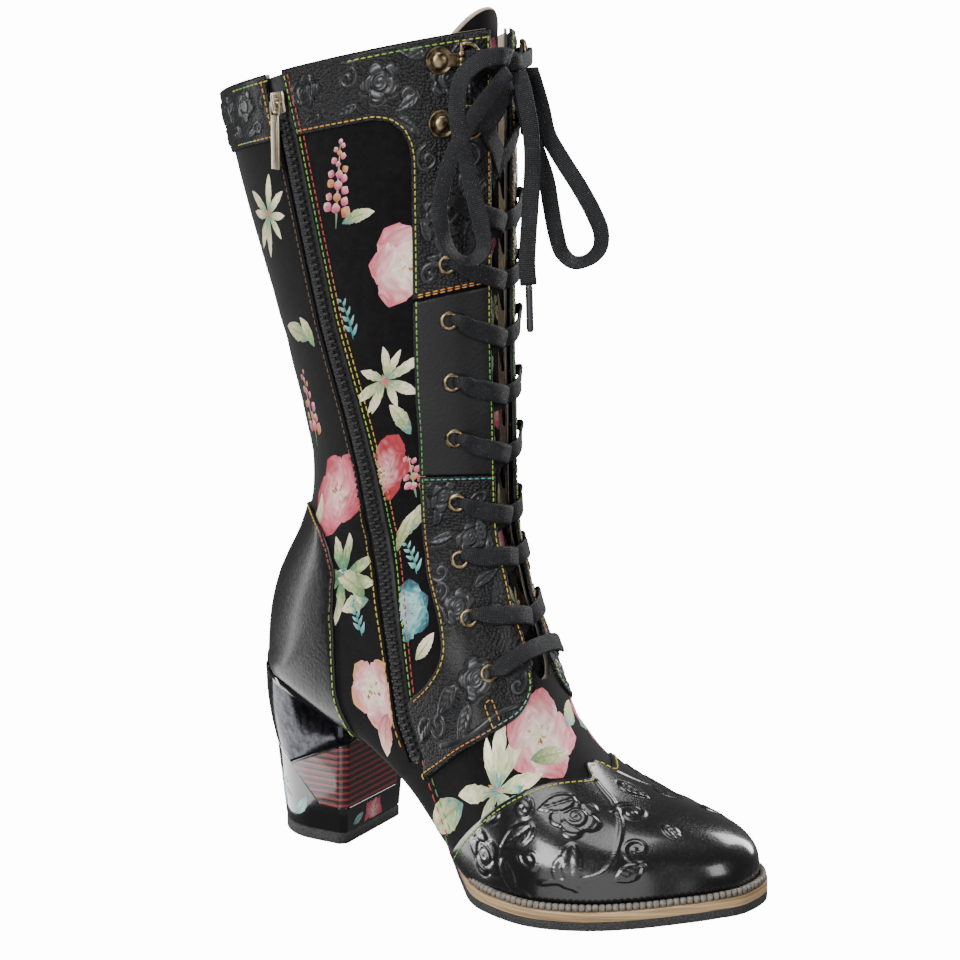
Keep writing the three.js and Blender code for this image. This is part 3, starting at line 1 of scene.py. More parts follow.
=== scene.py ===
# %% [markdown]
# A lace-up boot with a block heel, dressed for its portrait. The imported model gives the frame: every size
# here is in metres, +Z is up, the toe points to -Y and the zip's side faces -X.

# %%
import math
import random

import bpy
import numpy as np
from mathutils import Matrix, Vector, geometry


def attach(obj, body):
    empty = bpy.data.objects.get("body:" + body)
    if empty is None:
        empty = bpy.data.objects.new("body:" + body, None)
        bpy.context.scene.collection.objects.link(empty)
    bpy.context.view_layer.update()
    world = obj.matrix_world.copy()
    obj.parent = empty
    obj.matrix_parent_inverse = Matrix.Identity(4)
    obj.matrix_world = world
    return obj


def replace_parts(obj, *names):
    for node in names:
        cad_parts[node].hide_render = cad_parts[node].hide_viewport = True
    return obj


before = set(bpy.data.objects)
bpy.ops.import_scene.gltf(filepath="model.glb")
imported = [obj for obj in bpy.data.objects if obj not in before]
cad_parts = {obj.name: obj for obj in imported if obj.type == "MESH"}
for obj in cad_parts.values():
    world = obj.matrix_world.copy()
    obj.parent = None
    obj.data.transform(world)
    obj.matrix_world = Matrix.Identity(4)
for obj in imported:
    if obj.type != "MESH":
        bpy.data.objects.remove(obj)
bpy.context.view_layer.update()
MM = 0.001
BODY = "boot"

# %% [markdown]
# The camera stands at the zip's side, a little ahead of the toe. It is aimed with plain trigonometry.

# %%
CAMERA_PLACE = Vector((-0.8382, -0.6758, 0.380))
CAMERA_TARGET = Vector((0.0003, -0.0777, 0.165))
CAMERA_LENS = 95.16


def make_camera():
    data = bpy.data.cameras.new("camera")
    data.lens = CAMERA_LENS
    data.sensor_width = 36
    camera = bpy.data.objects.new("camera", data)
    bpy.context.scene.collection.objects.link(camera)
    camera.location = CAMERA_PLACE
    camera.rotation_euler = (CAMERA_TARGET - CAMERA_PLACE).to_track_quat("-Z", "Y").to_euler()
    bpy.context.scene.camera = camera
    return camera


camera = make_camera()

# %% [markdown]
# Shader maths reads best as plain formulas, so a small class wraps a socket and overloads the operators.


# %%
class Value:
    """A number of a shader, which formulas can add, subtract and multiply."""

    def __init__(self, shader, socket):
        self.shader = shader
        self.socket = socket

    def _math(self, operation, other=None, swap=False):
        inputs = [self, other] if other is not None else [self]
        return self.shader.math(operation, *(reversed(inputs) if swap else inputs))

    def __add__(self, other):
        return self._math("ADD", other)

    __radd__ = __add__

    def __sub__(self, other):
        return self._math("SUBTRACT", other)

    def __rsub__(self, other):
        return self._math("SUBTRACT", other, swap=True)

    def __mul__(self, other):
        return self._math("MULTIPLY", other)

    __rmul__ = __mul__

    def sine(self):
        return self._math("SINE")

    def step(self, low, high):
        return self.shader.remap(self, low, high)


class Shader:
    """One principled material, with short names for the nodes that feed it."""

    def __init__(self, name, **constants):
        self.material = bpy.data.materials.new(name)
        self.material.use_nodes = True
        self.tree = self.material.node_tree
        self.bsdf = self.tree.nodes["Principled BSDF"]
        self.place = self.node("ShaderNodeTexCoord").outputs["Object"]
        for socket, value in constants.items():
            self.bsdf.inputs[socket.replace("_", " ")].default_value = value

    def node(self, kind, **settings):
        made = self.tree.nodes.new(kind)
        for key, value in settings.items():
            setattr(made, key, value)
        return made

    def feed(self, socket, value):
        if isinstance(value, Value):
            value = value.socket
        if isinstance(value, bpy.types.NodeSocket):
            self.tree.links.new(value, socket)
        else:
            socket.default_value = value

    def math(self, operation, *values):
        made = self.node("ShaderNodeMath", operation=operation)
        for socket, value in zip(made.inputs, values):
            self.feed(socket, value)
        return Value(self, made.outputs[0])

    def remap(self, value, low, high):
        made = self.node("ShaderNodeMapRange", interpolation_type="SMOOTHSTEP")
        self.feed(made.inputs["Value"], value)
        self.feed(made.inputs["From Min"], low)
        self.feed(made.inputs["From Max"], high)
        return Value(self, made.outputs["Result"])

    def noise(self, scale, detail=4, roughness=0.5, place=None, distortion=0):
        made = self.node("ShaderNodeTexNoise")
        self.feed(made.inputs["Vector"], self.place if place is None else place)
        settings = {"Scale": scale, "Detail": detail, "Roughness": roughness, "Distortion": distortion}
        for key, value in settings.items():
            made.inputs[key].default_value = value
        return Value(self, made.outputs["Fac"])

    def cells(self, scale, feature="F1", randomness=1):
        made = self.node("ShaderNodeTexVoronoi", feature=feature)
        self.feed(made.inputs["Vector"], self.place)
        made.inputs["Scale"].default_value = scale
        made.inputs["Randomness"].default_value = randomness
        return Value(self, made.outputs["Distance"])

    def stretched(self, x, y, z):
        made = self.node("ShaderNodeMapping")
        self.feed(made.inputs["Vector"], self.place)
        made.inputs["Scale"].default_value = (x, y, z)
        return made.outputs[0]

    def attribute(self, name, output="Fac"):
        made = self.node("ShaderNodeAttribute", attribute_name=name)
        return Value(self, made.outputs[output])

    def axis(self, name):
        made = self.node("ShaderNodeSeparateXYZ")
        self.feed(made.inputs[0], self.place)
        return Value(self, made.outputs[name])

    def mix(self, factor, first, second):
        made = self.node("ShaderNodeMix", data_type="RGBA")
        self.feed(made.inputs["Factor"], factor)
        for key, value in (("A", first), ("B", second)):
            socket = next(s for s in made.inputs if s.name == key and s.type == "RGBA")
            self.feed(socket, value)
        return Value(self, next(s for s in made.outputs if s.type == "RGBA"))

    def bump(self, height, strength, distance):
        made = self.node("ShaderNodeBump")
        self.feed(made.inputs["Height"], height)
        made.inputs["Strength"].default_value = strength
        made.inputs["Distance"].default_value = distance
        return Value(self, made.outputs["Normal"])

    def set(self, **inputs):
        for key, value in inputs.items():
            self.feed(self.bsdf.inputs[key.replace("_", " ")], value)
        return self


def rgb(hex_code):
    """A colour from its screen code, as the linear values that a shader wants."""
    parts = [int(hex_code[i:i + 2], 16) / 255 for i in (0, 2, 4)]
    linear = [part / 12.92 if part <= 0.04045 else ((part + 0.055) / 1.055) ** 2.4 for part in parts]
    return (*linear, 1)


def unit(vectors):
    """Vectors, along the last axis, brought to length 1."""
    vectors = np.asarray(vectors, float)
    return vectors / np.maximum(np.linalg.norm(vectors, axis=-1, keepdims=True), 1e-9)


def run_along(points):
    """Length run at each point of a polyline."""
    return np.concatenate([[0], np.cumsum(np.linalg.norm(np.diff(points, axis=0), axis=1))])


def smooth_step(share):
    """Eases a share from 0 to 1, flat at both ends."""
    share = np.clip(share, 0, 1)
    return share * share * (3 - 2 * share)


print("shader kit and small helpers ready")

# %% [markdown]
# The boot's skin is one surface. A short table of sections, each a share of a named size, is blended into
# a dense grid. A place on it is a station along the foot and leg, and a share of the half girth: minus on
# the zip's side, plus on the other.

# %%
FOOT_LENGTH = 233
BALL_WIDTH = 90
ANKLE_WIDTH = 66
SHAFT_WIDTH = 88
SHAFT_DEPTH = 136.4
INSTEP_DEPTH = 62
HEEL_HEIGHT = 72
TOE_SPRING = 4.8
COLLAR_HEIGHT = 350
COLLAR_BACK_HEIGHT = 320
ANKLE_HEIGHT = HEEL_HEIGHT + INSTEP_DEPTH * 1.29
FOREFOOT_SOLE = 8.2
ORIGIN_INSET = FOOT_LENGTH * 0.12
WALL = 2.2
OVERLAY = 1.3

# top and feather are shares of the foot's length, deep of the instep's depth, rise of the heel's rise,
# spring of the toe spring, the widths and turns of the ball's width
FOOT_COLUMNS = "top deep feather rise spring centre medial lateral turn_m turn_l widest crown keel"
FOOT = [
    (0.998, 0.105, 0.997, 0, 1, 0.089, 0, 0, 0, 0, 0.6, 1.9, 3),
    (0.996, 0.169, 0.993, 0, 1, 0.089, 0.094, 0.072, 0.016, 0.016, 0.62, 1.9, 3.5),
    (0.987, 0.231, 0.981, 0, 0.94, 0.091, 0.161, 0.128, 0.024, 0.022, 0.64, 1.9, 4),
    (0.968, 0.298, 0.959, 0, 0.79, 0.094, 0.233, 0.194, 0.028, 0.028, 0.66, 1.9, 4.5),
    (0.933, 0.371, 0.923, 0, 0.583, 0.089, 0.311, 0.272, 0.028, 0.028, 0.68, 1.9, 4.5),
    (0.88, 0.447, 0.869, 0, 0.333, 0.061, 0.406, 0.367, 0.028, 0.028, 0.7, 1.9, 4.5),
    (0.815, 0.527, 0.803, 0, 0.125, 0.022, 0.483, 0.45, 0.022, 0.022, 0.71, 1.85, 4.5),
    (0.747, 0.642, 0.717, 0, 0, -0.022, 0.517, 0.483, 0.017, 0.017, 0.7, 1.85, 4.5),
    (0.687, 0.779, 0.635, 0, 0, -0.031, 0.5, 0.472, 0.017, 0.017, 0.66, 1.8, 4),
    (0.644, 0.931, 0.558, 0.009, 0, -0.022, 0.456, 0.439, 0.039, 0.017, 0.6, 1.8, 3.6),
    (0.614, 0.968, 0.481, 0.154, 0, -0.017, 0.406, 0.411, 0.078, 0.056, 0.55, 1.8, 3.2),
    (0.59, 0.903, 0.386, 0.436, 0, -0.006, 0.378, 0.383, 0.1, 0.072, 0.5, 1.85, 3.2),
    (0.569, 0.895, 0.292, 0.663, 0, 0, 0.372, 0.372, 0.089, 0.072, 0.47, 1.85, 3.4),
    (0.549, 0.927, 0.206, 0.82, 0, 0, 0.367, 0.367, 0.067, 0.061, 0.46, 1.8, 3.8),
    (0.5365, 1, 0.146, 0.922, 0, 0.003, 0.367, 0.364, 0.061, 0.057, 0.45, 1.8, 4),
    (0.5275, 1.048, 0.086, 1, 0, 0.003, 0.367, 0.362, 0.094, 0.087, 0.45, 1.8, 3.6),
    (0.522, 1.113, 0.041, 1.031, 0, 0, 0.367, 0.362, 0.172, 0.167, 0.45, 1.8, 3.2),
    (0.5193, 1.165, 0.0193, 1.052, 0, 0, 0.367, 0.362, 0.267, 0.262, 0.46, 1.8, 2.8),
]

# front and back are shares of the foot's length, climb and back_climb of the heights above the ankle and
# the seat, flare of the way out to the shaft's depth, spread of the way out to its width
LEG_COLUMNS = "front climb back back_climb flare spread widest crown keel"
LEG = [
    (0.5176, 0, 0.0069, 0.0173, 0, 0, 0.47, 1.8, 2.5),
    (0.5159, 0.03, -0.0064, 0.0766, 0, 0, 0.48, 1.8, 2.2),
    (0.5146, 0.071, 0.0043, 0.133, 0, 0, 0.48, 1.8, 2),
    (0.5129, 0.116, 0.0343, 0.1935, 0, 0, 0.48, 1.8, 1.9),
    (0.5112, 0.167, 0.073, 0.258, 0, 0, 0.48, 1.8, 1.85),
    (0.509, 0.232, 0.0987, 0.331, 0, 0.07, 0.48, 1.8, 1.85),
    (0.5047, 0.318, 0.0987, 0.419, 0.023, 0.18, 0.49, 1.8, 1.9),
    (0.503, 0.434, 0.0987, 0.536, 0.186, 0.41, 0.5, 1.8, 1.95),
    (0.5021, 0.576, 0.0987, 0.669, 0.419, 0.636, 0.5, 1.85, 2),
    (0.5013, 0.722, 0.0987, 0.798, 0.674, 0.818, 0.5, 1.85, 2.05),
    (0.5004, 0.864, 0.0987, 0.907, 0.86, 0.955, 0.5, 1.85, 2.1),
    (0.4996, 1, 0.0987, 1, 1, 1, 0.5, 1.85, 2.1),
    (0.4987, 1.1, 0.0987, 1.081, 1.093, 1.045, 0.5, 1.85, 2.1),
]
FEATHER_END = len(FOOT)
COLLAR = len(FOOT) + len(LEG) - 2


def foot_row(values):
    row = dict(zip(FOOT_COLUMNS.split(), values))
    low = FOREFOOT_SOLE + row["rise"] * (HEEL_HEIGHT - FOREFOOT_SOLE) + row["spring"] * TOE_SPRING
    widths = [row["centre"], row["medial"], row["lateral"]]
    widths += [row["medial"] - row["turn_m"], row["lateral"] - row["turn_l"]]
    return [
        row["top"] * FOOT_LENGTH, low + row["deep"] * INSTEP_DEPTH, row["feather"] * FOOT_LENGTH, low,
        *(width * BALL_WIDTH for width in widths), row["widest"], row["crown"], row["keel"],
    ]


def leg_row(values):
    row = dict(zip(LEG_COLUMNS.split(), values))
    collar_front = LEG[-2][0] * FOOT_LENGTH
    back = row["back"] * FOOT_LENGTH
    half = ANKLE_WIDTH / 2 + row["spread"] * (SHAFT_WIDTH - ANKLE_WIDTH) / 2
    return [
        row["front"] * FOOT_LENGTH,
        ANKLE_HEIGHT + row["climb"] * (COLLAR_HEIGHT - ANKLE_HEIGHT),
        back + row["flare"] * (collar_front - SHAFT_DEPTH - back),
        HEEL_HEIGHT + row["back_climb"] * (COLLAR_BACK_HEIGHT - HEEL_HEIGHT),
        0, half, half, 0, 0, row["widest"], row["crown"], row["keel"],
    ]


ROWS = np.array([foot_row(row) for row in FOOT] + [leg_row(row) for row in LEG])


def blend_rows(stations):
    """Catmull-Rom blend of the rows at any stations."""
    last = len(ROWS) - 1
    t = np.clip(np.asarray(stations, float), 0, last)
    i = np.minimum(t.astype(int), last - 1)
    f = (t - i)[:, None]
    a, b, c, d = (ROWS[np.clip(i + k, 0, last)] for k in (-1, 0, 1, 2))
    return 0.5 * (2 * b + (c - a) * f + (2 * a - 5 * b + 4 * c - d) * f**2 + (3 * b - a - 3 * c + d) * f**3)


class Skin:
    """The surface as a dense grid, with smooth look-ups of place, normal and girth."""

    STATION_STEP = 0.05
    SHARES = 200
    STEPS = 256
    TIP_STATION = 0.3
    EASE_FROM = 0.45
    EASE_SPAN = 0.25
    EASE_STATIONS = 2.6
    EASE_ROUNDS = 420

    def __init__(self):
        self.stations = np.arange(0, COLLAR + 1 + 1e-9, self.STATION_STEP)
        rows = blend_rows(self.stations)
        columns = rows.T[..., None]
        top_along, top_height, low_along, low_height, centre = columns[:5]
        wide_near, wide_far, low_near, low_far, widest, crown, keel = columns[5:]
        angle = np.linspace(0, math.pi, self.STEPS + 1)
        sine = np.maximum(np.sin(angle), 0)[None, :]
        cosine = np.abs(np.cos(angle))[None, :]
        first = (angle <= math.pi / 2)[None, :]
        over = widest * (1 - cosine ** (2 / crown))
        under = widest + (1 - widest) * cosine ** (2 / keel)
        down = np.where(first, over, under)
        along = top_along * (1 - down) + low_along * down
        height = top_height * (1 - down) + low_height * down
        halves = []
        self.girth = {}
        for side, wide, low in ((-1, wide_near, low_near), (1, wide_far, low_far)):
            wide = np.maximum(wide, 0)
            low = np.clip(low, 0, wide)
            out = np.where(first, wide * sine ** (2 / crown), low + (wide - low) * sine ** (2 / keel))
            points = np.stack([centre + side * out, ORIGIN_INSET - along, height], axis=2)
            pieces = np.linalg.norm(np.diff(points, axis=1), axis=2)
            run = np.concatenate([np.zeros((len(rows), 1)), np.cumsum(pieces, axis=1)], axis=1)
            self.girth[side] = run[:, -1]
            shares = np.linspace(0, 1, self.SHARES + 1)
            even = np.empty((len(rows), self.SHARES + 1, 3))
            for k in range(len(rows)):
                for axis in range(3):
                    even[k, :, axis] = np.interp(shares * max(run[k, -1], 1e-9), run[k], points[k, :, axis])
            halves.append(even)
        self.points = np.concatenate([halves[0][:, :0:-1], halves[1]], axis=1)
        self._ease_heel()
        self.normals = self._make_normals()

    def _ease_heel(self):
        """Rounds the skin behind the ankle, where the foot's sections meet the leg's."""
        shares = np.abs(np.linspace(-1, 1, 2 * self.SHARES + 1))
        reach = np.clip((shares - self.EASE_FROM) / self.EASE_SPAN, 0, 1)
        near = np.clip(1 - np.abs(self.stations - FEATHER_END) / self.EASE_STATIONS, 0, 1)
        weight = (near[:, None] * reach[None, :])[..., None] ** 0.5
        for _ in range(self.EASE_ROUNDS):
            middle = (self.points[:-2] + self.points[2:]) / 2
            self.points[1:-1] += (middle - self.points[1:-1]) * weight[1:-1]

    def _make_normals(self):
        across = np.gradient(self.points, axis=1)
        up = np.gradient(self.points, axis=0)
        normals = unit(np.cross(across, up))
        first = int(round(self.TIP_STATION / self.STATION_STEP))
        normals[:first] = normals[first]
        start = int(round(FEATHER_END / self.STATION_STEP))
        ends = unit(normals[start:, 0] + normals[start:, -1])
        normals[start:, 0] = ends
        normals[start:, -1] = ends
        return normals

    def girth_at(self, station, side):
        return np.interp(station, self.stations, self.girth[-1 if side < 0 else 1])

    def _look(self, field, station, share):
        station, share = np.broadcast_arrays(np.asarray(station, float), np.asarray(share, float))
        wraps = station >= FEATHER_END
        share = np.where(wraps & (share > 1), share - 2, share)
        share = np.where(wraps & (share < -1), share + 2, share)
        past = np.clip(np.abs(share) - 1, 0, None) * np.sign(share)
        share = np.clip(share, -1, 1)
        y = np.clip(station / self.STATION_STEP, 0, len(self.stations) - 1.001)
        x = np.clip((share + 1) * self.SHARES, 0, 2 * self.SHARES - 0.001)
        i, j = y.astype(int), x.astype(int)
        fy, fx = (y - i)[..., None], (x - j)[..., None]
        low = field[i, j] * (1 - fx) + field[i, j + 1] * fx
        high = field[i + 1, j] * (1 - fx) + field[i + 1, j + 1] * fx
        value = low * (1 - fy) + high * fy
        if field is self.points and np.any(past != 0):
            inner = np.where(share > 0, 2 * self.SHARES - 2, 2).astype(int)
            edge = np.where(share > 0, 2 * self.SHARES, 0).astype(int)
            slope = (field[i, edge] - field[i, inner]) / 2 * self.SHARES
            value = value + slope * np.abs(past)[..., None]
        return value

    def point(self, station, share, lift=0.0):
        place = self._look(self.points, station, share)
        return place + self.normal(station, share) * np.asarray(lift, float)[..., None]

    def normal(self, station, share):
        return unit(self._look(self.normals, station, share))

    def share(self, station, distance):
        """Share of the half girth at a signed distance from the front centreline, in millimetres."""
        side = np.sign(distance)
        girth = np.where(side < 0, self.girth_at(station, -1), self.girth_at(station, 1))
        return distance / girth


skin = Skin()
print("skin grid", skin.points.shape)

# %% [markdown]
# Meshes are made from plain arrays in millimetres. Every piece rides on the boot's body and takes the
# finish it is given.


# %%
def add_mesh(name, points, faces, material, slot=None, body=BODY, smooth=True, attributes=None):
    mesh = bpy.data.meshes.new(name)
    mesh.from_pydata((np.asarray(points, float) * MM).tolist(), [], [list(map(int, face)) for face in faces])
    for key, values in (attributes or {}).items():
        values = np.asarray(values, float)
        kind = "FLOAT_COLOR" if values.ndim == 2 else "FLOAT"
        layer = mesh.attributes.new(key, kind, "POINT")
        layer.data.foreach_set("color" if values.ndim == 2 else "value", values.ravel())
    if smooth:
        mesh.shade_smooth()
    mesh.update()
    obj = bpy.data.objects.new(name, mesh)
    bpy.context.scene.collection.objects.link(obj)
    obj.data.materials.append(material)
    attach(obj, body)
    return obj


def soften_normals(obj, rounds):
    """Shades a smooth sheet by the average of its neighbours' normals. Rolled edges keep their own."""
    mesh = obj.data
    count = len(mesh.vertices)
    normals = np.empty(count * 3)
    mesh.vertex_normals.foreach_get("vector", normals)
    normals = normals.reshape(-1, 3)
    own = normals.copy()
    pairs = np.empty(len(mesh.edges) * 2, int)
    mesh.edges.foreach_get("vertices", pairs)
    pairs = pairs.reshape(-1, 2)
    for _ in range(rounds):
        total = normals.copy()
        np.add.at(total, pairs[:, 0], normals[pairs[:, 1]])
        np.add.at(total, pairs[:, 1], normals[pairs[:, 0]])
        normals = unit(total)
    keep = np.clip((0.97 - np.sum(own * normals, axis=1)) / 0.05, 0, 1)[:, None]
    normals = normals * (1 - keep) + own * keep
    mesh.normals_split_custom_set_from_vertices(normals.tolist())


class Build:
    """Collects points and faces of one object."""

    def __init__(self):
        self.points = []
        self.faces = []
        self.extra = {}
        self.count = 0

    def add(self, points, faces, **extra):
        points = np.asarray(points, float)
        self.points.append(points)
        self.faces.extend([[k + self.count for k in face] for face in faces])
        for key, value in extra.items():
            value = np.asarray(value, float)
            wanted = (len(points), 4) if value.shape[-1:] == (4,) else (len(points),)
            self.extra.setdefault(key, []).append(np.broadcast_to(value, wanted))
        self.count += len(points)
        return self

    def make(self, name, material, slot=None, body=BODY, smooth=True):
        extra = {key: np.concatenate(values) for key, values in self.extra.items()}
        return add_mesh(name, np.concatenate(self.points), self.faces, material, slot, body, smooth, extra)


def grid_faces(rows, columns, closed=False, capped=False):
    """Quads of a grid, row by row. closed joins each row's ends, capped closes the first and last row."""
    faces = []
    span = columns if closed else columns - 1
    for i in range(rows - 1):
        for j in range(span):
            k = (j + 1) % columns
            faces.append([i * columns + j, i * columns + k, (i + 1) * columns + k, (i + 1) * columns + j])
    if capped:
        faces.append(list(range(columns))[::-1])
        faces.append([(rows - 1) * columns + k for k in range(columns)])
    return faces


def smooth_path(points, step, closed=False):
    """Points every step along a centripetal Catmull-Rom curve through the given ones."""
    points = np.asarray(points, float)
    if closed:
        ring = np.vstack([points[-1:], points, points[:2]])
    else:
        ring = np.vstack([2 * points[:1] - points[1:2], points, 2 * points[-1:] - points[-2:-1]])
    dense = []
    for a, b, c, d in zip(ring, ring[1:], ring[2:], ring[3:]):
        ta = 0.0
        tb = ta + max(np.linalg.norm(b - a), 1e-6) ** 0.5
        tc = tb + max(np.linalg.norm(c - b), 1e-6) ** 0.5
        td = tc + max(np.linalg.norm(d - c), 1e-6) ** 0.5
        for t in np.linspace(tb, tc, 24, endpoint=False):
            ab = (tb - t) / (tb - ta) * a + (t - ta) / (tb - ta) * b
            bc = (tc - t) / (tc - tb) * b + (t - tb) / (tc - tb) * c
            cd = (td - t) / (td - tc) * c + (t - tc) / (td - tc) * d
            abc = (tc - t) / (tc - ta) * ab + (t - ta) / (tc - ta) * bc
            bcd = (td - t) / (td - tb) * bc + (t - tb) / (td - tb) * cd
            dense.append((tc - t) / (tc - tb) * abc + (t - tb) / (tc - tb) * bcd)
    if not closed:
        dense.append(points[-1])
    return resample(np.array(dense), step, closed)


def resample(points, step, closed=False):
    """Points at even distances along a polyline."""
    points = np.asarray(points, float)
    line = np.vstack([points, points[:1]]) if closed else points
    run = run_along(line)
    count = max(int(round(run[-1] / step)), 2)
    at = np.linspace(0, run[-1], count + 1)
    if closed:
        at = at[:-1]
    return np.stack([np.interp(at, run, line[:, k]) for k in range(points.shape[1])], axis=1)


def path_frames(path, normals):
    """Unit tangent, side and normal at each point of a path whose rough normals are given."""
    tangent = unit(np.gradient(path, axis=0))
    side = unit(np.cross(normals, tangent))
    return tangent, side, np.cross(tangent, side)


def ribbon(build, path, normals, width, thickness, steps=16, **extra):
    """A flat lace: a rounded rectangle swept along a path."""
    path = np.asarray(path, float)
    width = np.broadcast_to(np.asarray(width, float), (len(path),))
    thickness = np.broadcast_to(np.asarray(thickness, float), (len(path),))
    _, side, up = path_frames(path, normals)
    angle = np.linspace(0, 2 * math.pi, steps, endpoint=False)
    across = np.sign(np.cos(angle)) * np.abs(np.cos(angle)) ** 0.35
    rise = np.sign(np.sin(angle)) * np.abs(np.sin(angle)) ** 0.75
    rings = (
        path[:, None]
        + side[:, None] * (across[None, :, None] * width[:, None, None] / 2)
        + up[:, None] * (rise[None, :, None] * thickness[:, None, None] / 2)
    )
    faces = grid_faces(len(path), steps, closed=True, capped=True)
    lace_u = np.repeat(run_along(path), steps)
    lace_v = (across[None, :] * width[:, None] / 2).ravel()
    build.add(rings.reshape(-1, 3), faces, lace_u=lace_u, lace_v=lace_v, **extra)
    return build


ANY_DIRECTION = (0.13, 0.31, 0.94)


def tube(build, path, radius, steps=10, closed=False, **extra):
    """A round wire along a path, with a radius that may change."""
    path = np.asarray(path, float)
    radius = np.broadcast_to(np.asarray(radius, float), (len(path),))
    if closed:
        tangent = np.roll(path, -1, axis=0) - np.roll(path, 1, axis=0)
    else:
        tangent = np.gradient(path, axis=0)
    tangent = unit(tangent)
    normal = np.cross(tangent[0], ANY_DIRECTION)
    normals = []
    for direction in tangent:
        normal = unit(normal - direction * np.dot(normal, direction))
        normals.append(normal)
    normals = np.array(normals)
    sides = np.cross(tangent, normals)
    angle = np.linspace(0, 2 * math.pi, steps, endpoint=False)
    rings = path[:, None] + radius[:, None, None] * (
        normals[:, None] * np.cos(angle)[None, :, None] + sides[:, None] * np.sin(angle)[None, :, None]
    )
    faces = grid_faces(len(path), steps, closed=True, capped=not closed)
    if closed:
        last = (len(path) - 1) * steps
        faces += [[last + j, last + (j + 1) % steps, (j + 1) % steps, j] for j in range(steps)]
    build.add(rings.reshape(-1, 3), faces, **extra)
    return build


def turned(build, profile, place, axes, steps=32, **extra):
    """A profile of (radius, height) pairs, turned about the third of three axes at a place."""
    across, up, out = axes
    profile = np.asarray(profile, float)
    angle = np.linspace(0, 2 * math.pi, steps, endpoint=False)
    spokes = np.outer(np.cos(angle), across) + np.outer(np.sin(angle), up)
    rings = np.asarray(place) + profile[:, None, :1] * spokes[None] + profile[:, None, 1:] * np.asarray(out)
    build.add(rings.reshape(-1, 3), grid_faces(len(profile), steps, closed=True), **extra)
    return build


print("mesh kit ready")

# %% [markdown]
# Cords come early: the bow and the free end hang clear of the boot.

# %%
LACE_WIDTH = 8
LACE_THICKNESS = 1.3
HANGING_WIDTH = 6.8
AGLET_RADIUS = 1.5
BRAID_PITCH = 2.2


def lace_material():
    """Waxed flat lace: a braid with painted shade in its furrows, flecks of painted highlight and a dull wax
    bloom.
    """
    shader = Shader("waxed_lace", Roughness=0.62, Specular_IOR_Level=0.35)
    run = shader.attribute("lace_u")
    across = shader.attribute("lace_v")
    left = ((run * 1.9 + across * 2.3) * BRAID_PITCH).sine()
    right = ((run * 1.9 - across * 2.3) * BRAID_PITCH).sine()
    braid = left * right
    speckle = shader.noise(900, 3, 0.6)
    bloom = shader.noise(120, 3, 0.6)
    # painted shade: the braid's furrows are painted darker, mixed with a random speckle
    furrow_shade_and_speckle = (braid * 0.5 + 0.5) * 0.5 + speckle * 0.5
    # painted highlight: pale grey flecks on the braid's crests
    painted_highlight_flecks = shader.noise(1500, 2, 0.8).step(0.6, 0.72) * (braid * 0.5 + 0.5)
    color = shader.mix(furrow_shade_and_speckle.step(0.25, 0.9), rgb("09090a"), rgb("232428"))
    color = shader.mix(painted_highlight_flecks * 0.55, color, rgb("8d9095"))
    color = shader.mix(bloom.step(0.5, 0.75) * 0.25, color, rgb("3a3b40"))
    shader.set(Base_Color=color, Roughness=0.42 + speckle * 0.3)
    shader.set(Normal=shader.bump(braid * 0.6 + speckle * 0.5, 0.7, 0.0003))
    return shader.material


lace_skin = lace_material()

# The bow's route: x, distance ahead of the heel's back and height, in millimetres
BOW_RIGHT = [
    (3.6, 128.4, 334.4), (5.6, 129.4, 327), (7.4, 131, 318), (9.2, 132.6, 308), (12.6, 137.2, 298),
    (16.8, 142.9, 287), (20.4, 147.8, 276), (22.1, 150.1, 268.4), (21.8, 149.6, 262),
    (19, 146.2, 257.6), (15.3, 141.4, 256.6),
    (12.5, 137.6, 260.6), (11.2, 135.6, 268), (9.9, 133.9, 279), (8.6, 132.4, 290), (6.6, 129.8, 300),
    (4.4, 127.2, 310), (3, 125.4, 318), (1.6, 123.8, 327),
]
BOW_LEFT = [
    (-9.8, 127.4, 338.6), (-14.5, 127.6, 339.6), (-21.5, 123, 338.4), (-28.4, 118, 332),
    (-30.6, 116.7, 319.6), (-29.3, 117.7, 306.8), (-27.1, 119.3, 295.8), (-24.9, 121, 284.7),
    (-22.6, 122.7, 273.1), (-21.9, 123.3, 264.6), (-25.7, 120.5, 259.6), (-31.2, 116.5, 261.6),
    (-34.8, 113.8, 268.4), (-36.6, 112.5, 279), (-35.6, 113.2, 289),
    (-33, 115, 299), (-28.4, 118.4, 310), (-23, 122.4, 320), (-17, 126, 328), (-11, 127.4, 333.6),
]
FREE_END = [
    (-4, 127, 333.2), (-4.6, 129.9, 327), (-3.9, 131.2, 319.6), (-2.7, 132.1, 312), (-2.1, 132.7, 303),
    (-2.3, 132.9, 292), (-3.1, 132.7, 280), (-3.9, 132.3, 268), (-4.1, 131.9, 257), (-3.3, 132.1, 248.6),
]
# How far each stretch has turned, in half turns, at shares of its length
RIGHT_TWIST = ((0, 0.25), (0.12, 0.46), (0.38, 0.52), (0.52, 0.2), (0.62, 0.42), (0.85, 0.6), (1, 0.4))
LEFT_TWIST = (
    (0, 0.5), (0.15, 0.36), (0.3, 0.54), (0.44, 0.4), (0.54, 0.16), (0.64, 0.46), (0.82, 0.52), (1, 0.4),
)
END_TWIST = ((0, 0.4), (0.4, 0.6), (0.75, 0.42), (1, 0.52))
AGLET = [(-3.2, 132.15, 248.8), (-3.1, 132.2, 247.6), (-2.7, 132.6, 229.6)]
KNOT = (-3.4, 123.6, 337)
KNOT_TURNS = ((12, 6.0, 4.6, 4.2), (78, 5.4, 4.0, 3.9), (-38, 4.6, 4.3, 4.0))


def in_frame(points):
    return np.array([(x, ORIGIN_INSET - s, z) for x, s, z in points], float)


KNOT_PLACE = in_frame([KNOT])[0]


def cord_length(path):
    return float(run_along(path)[-1]) * MM


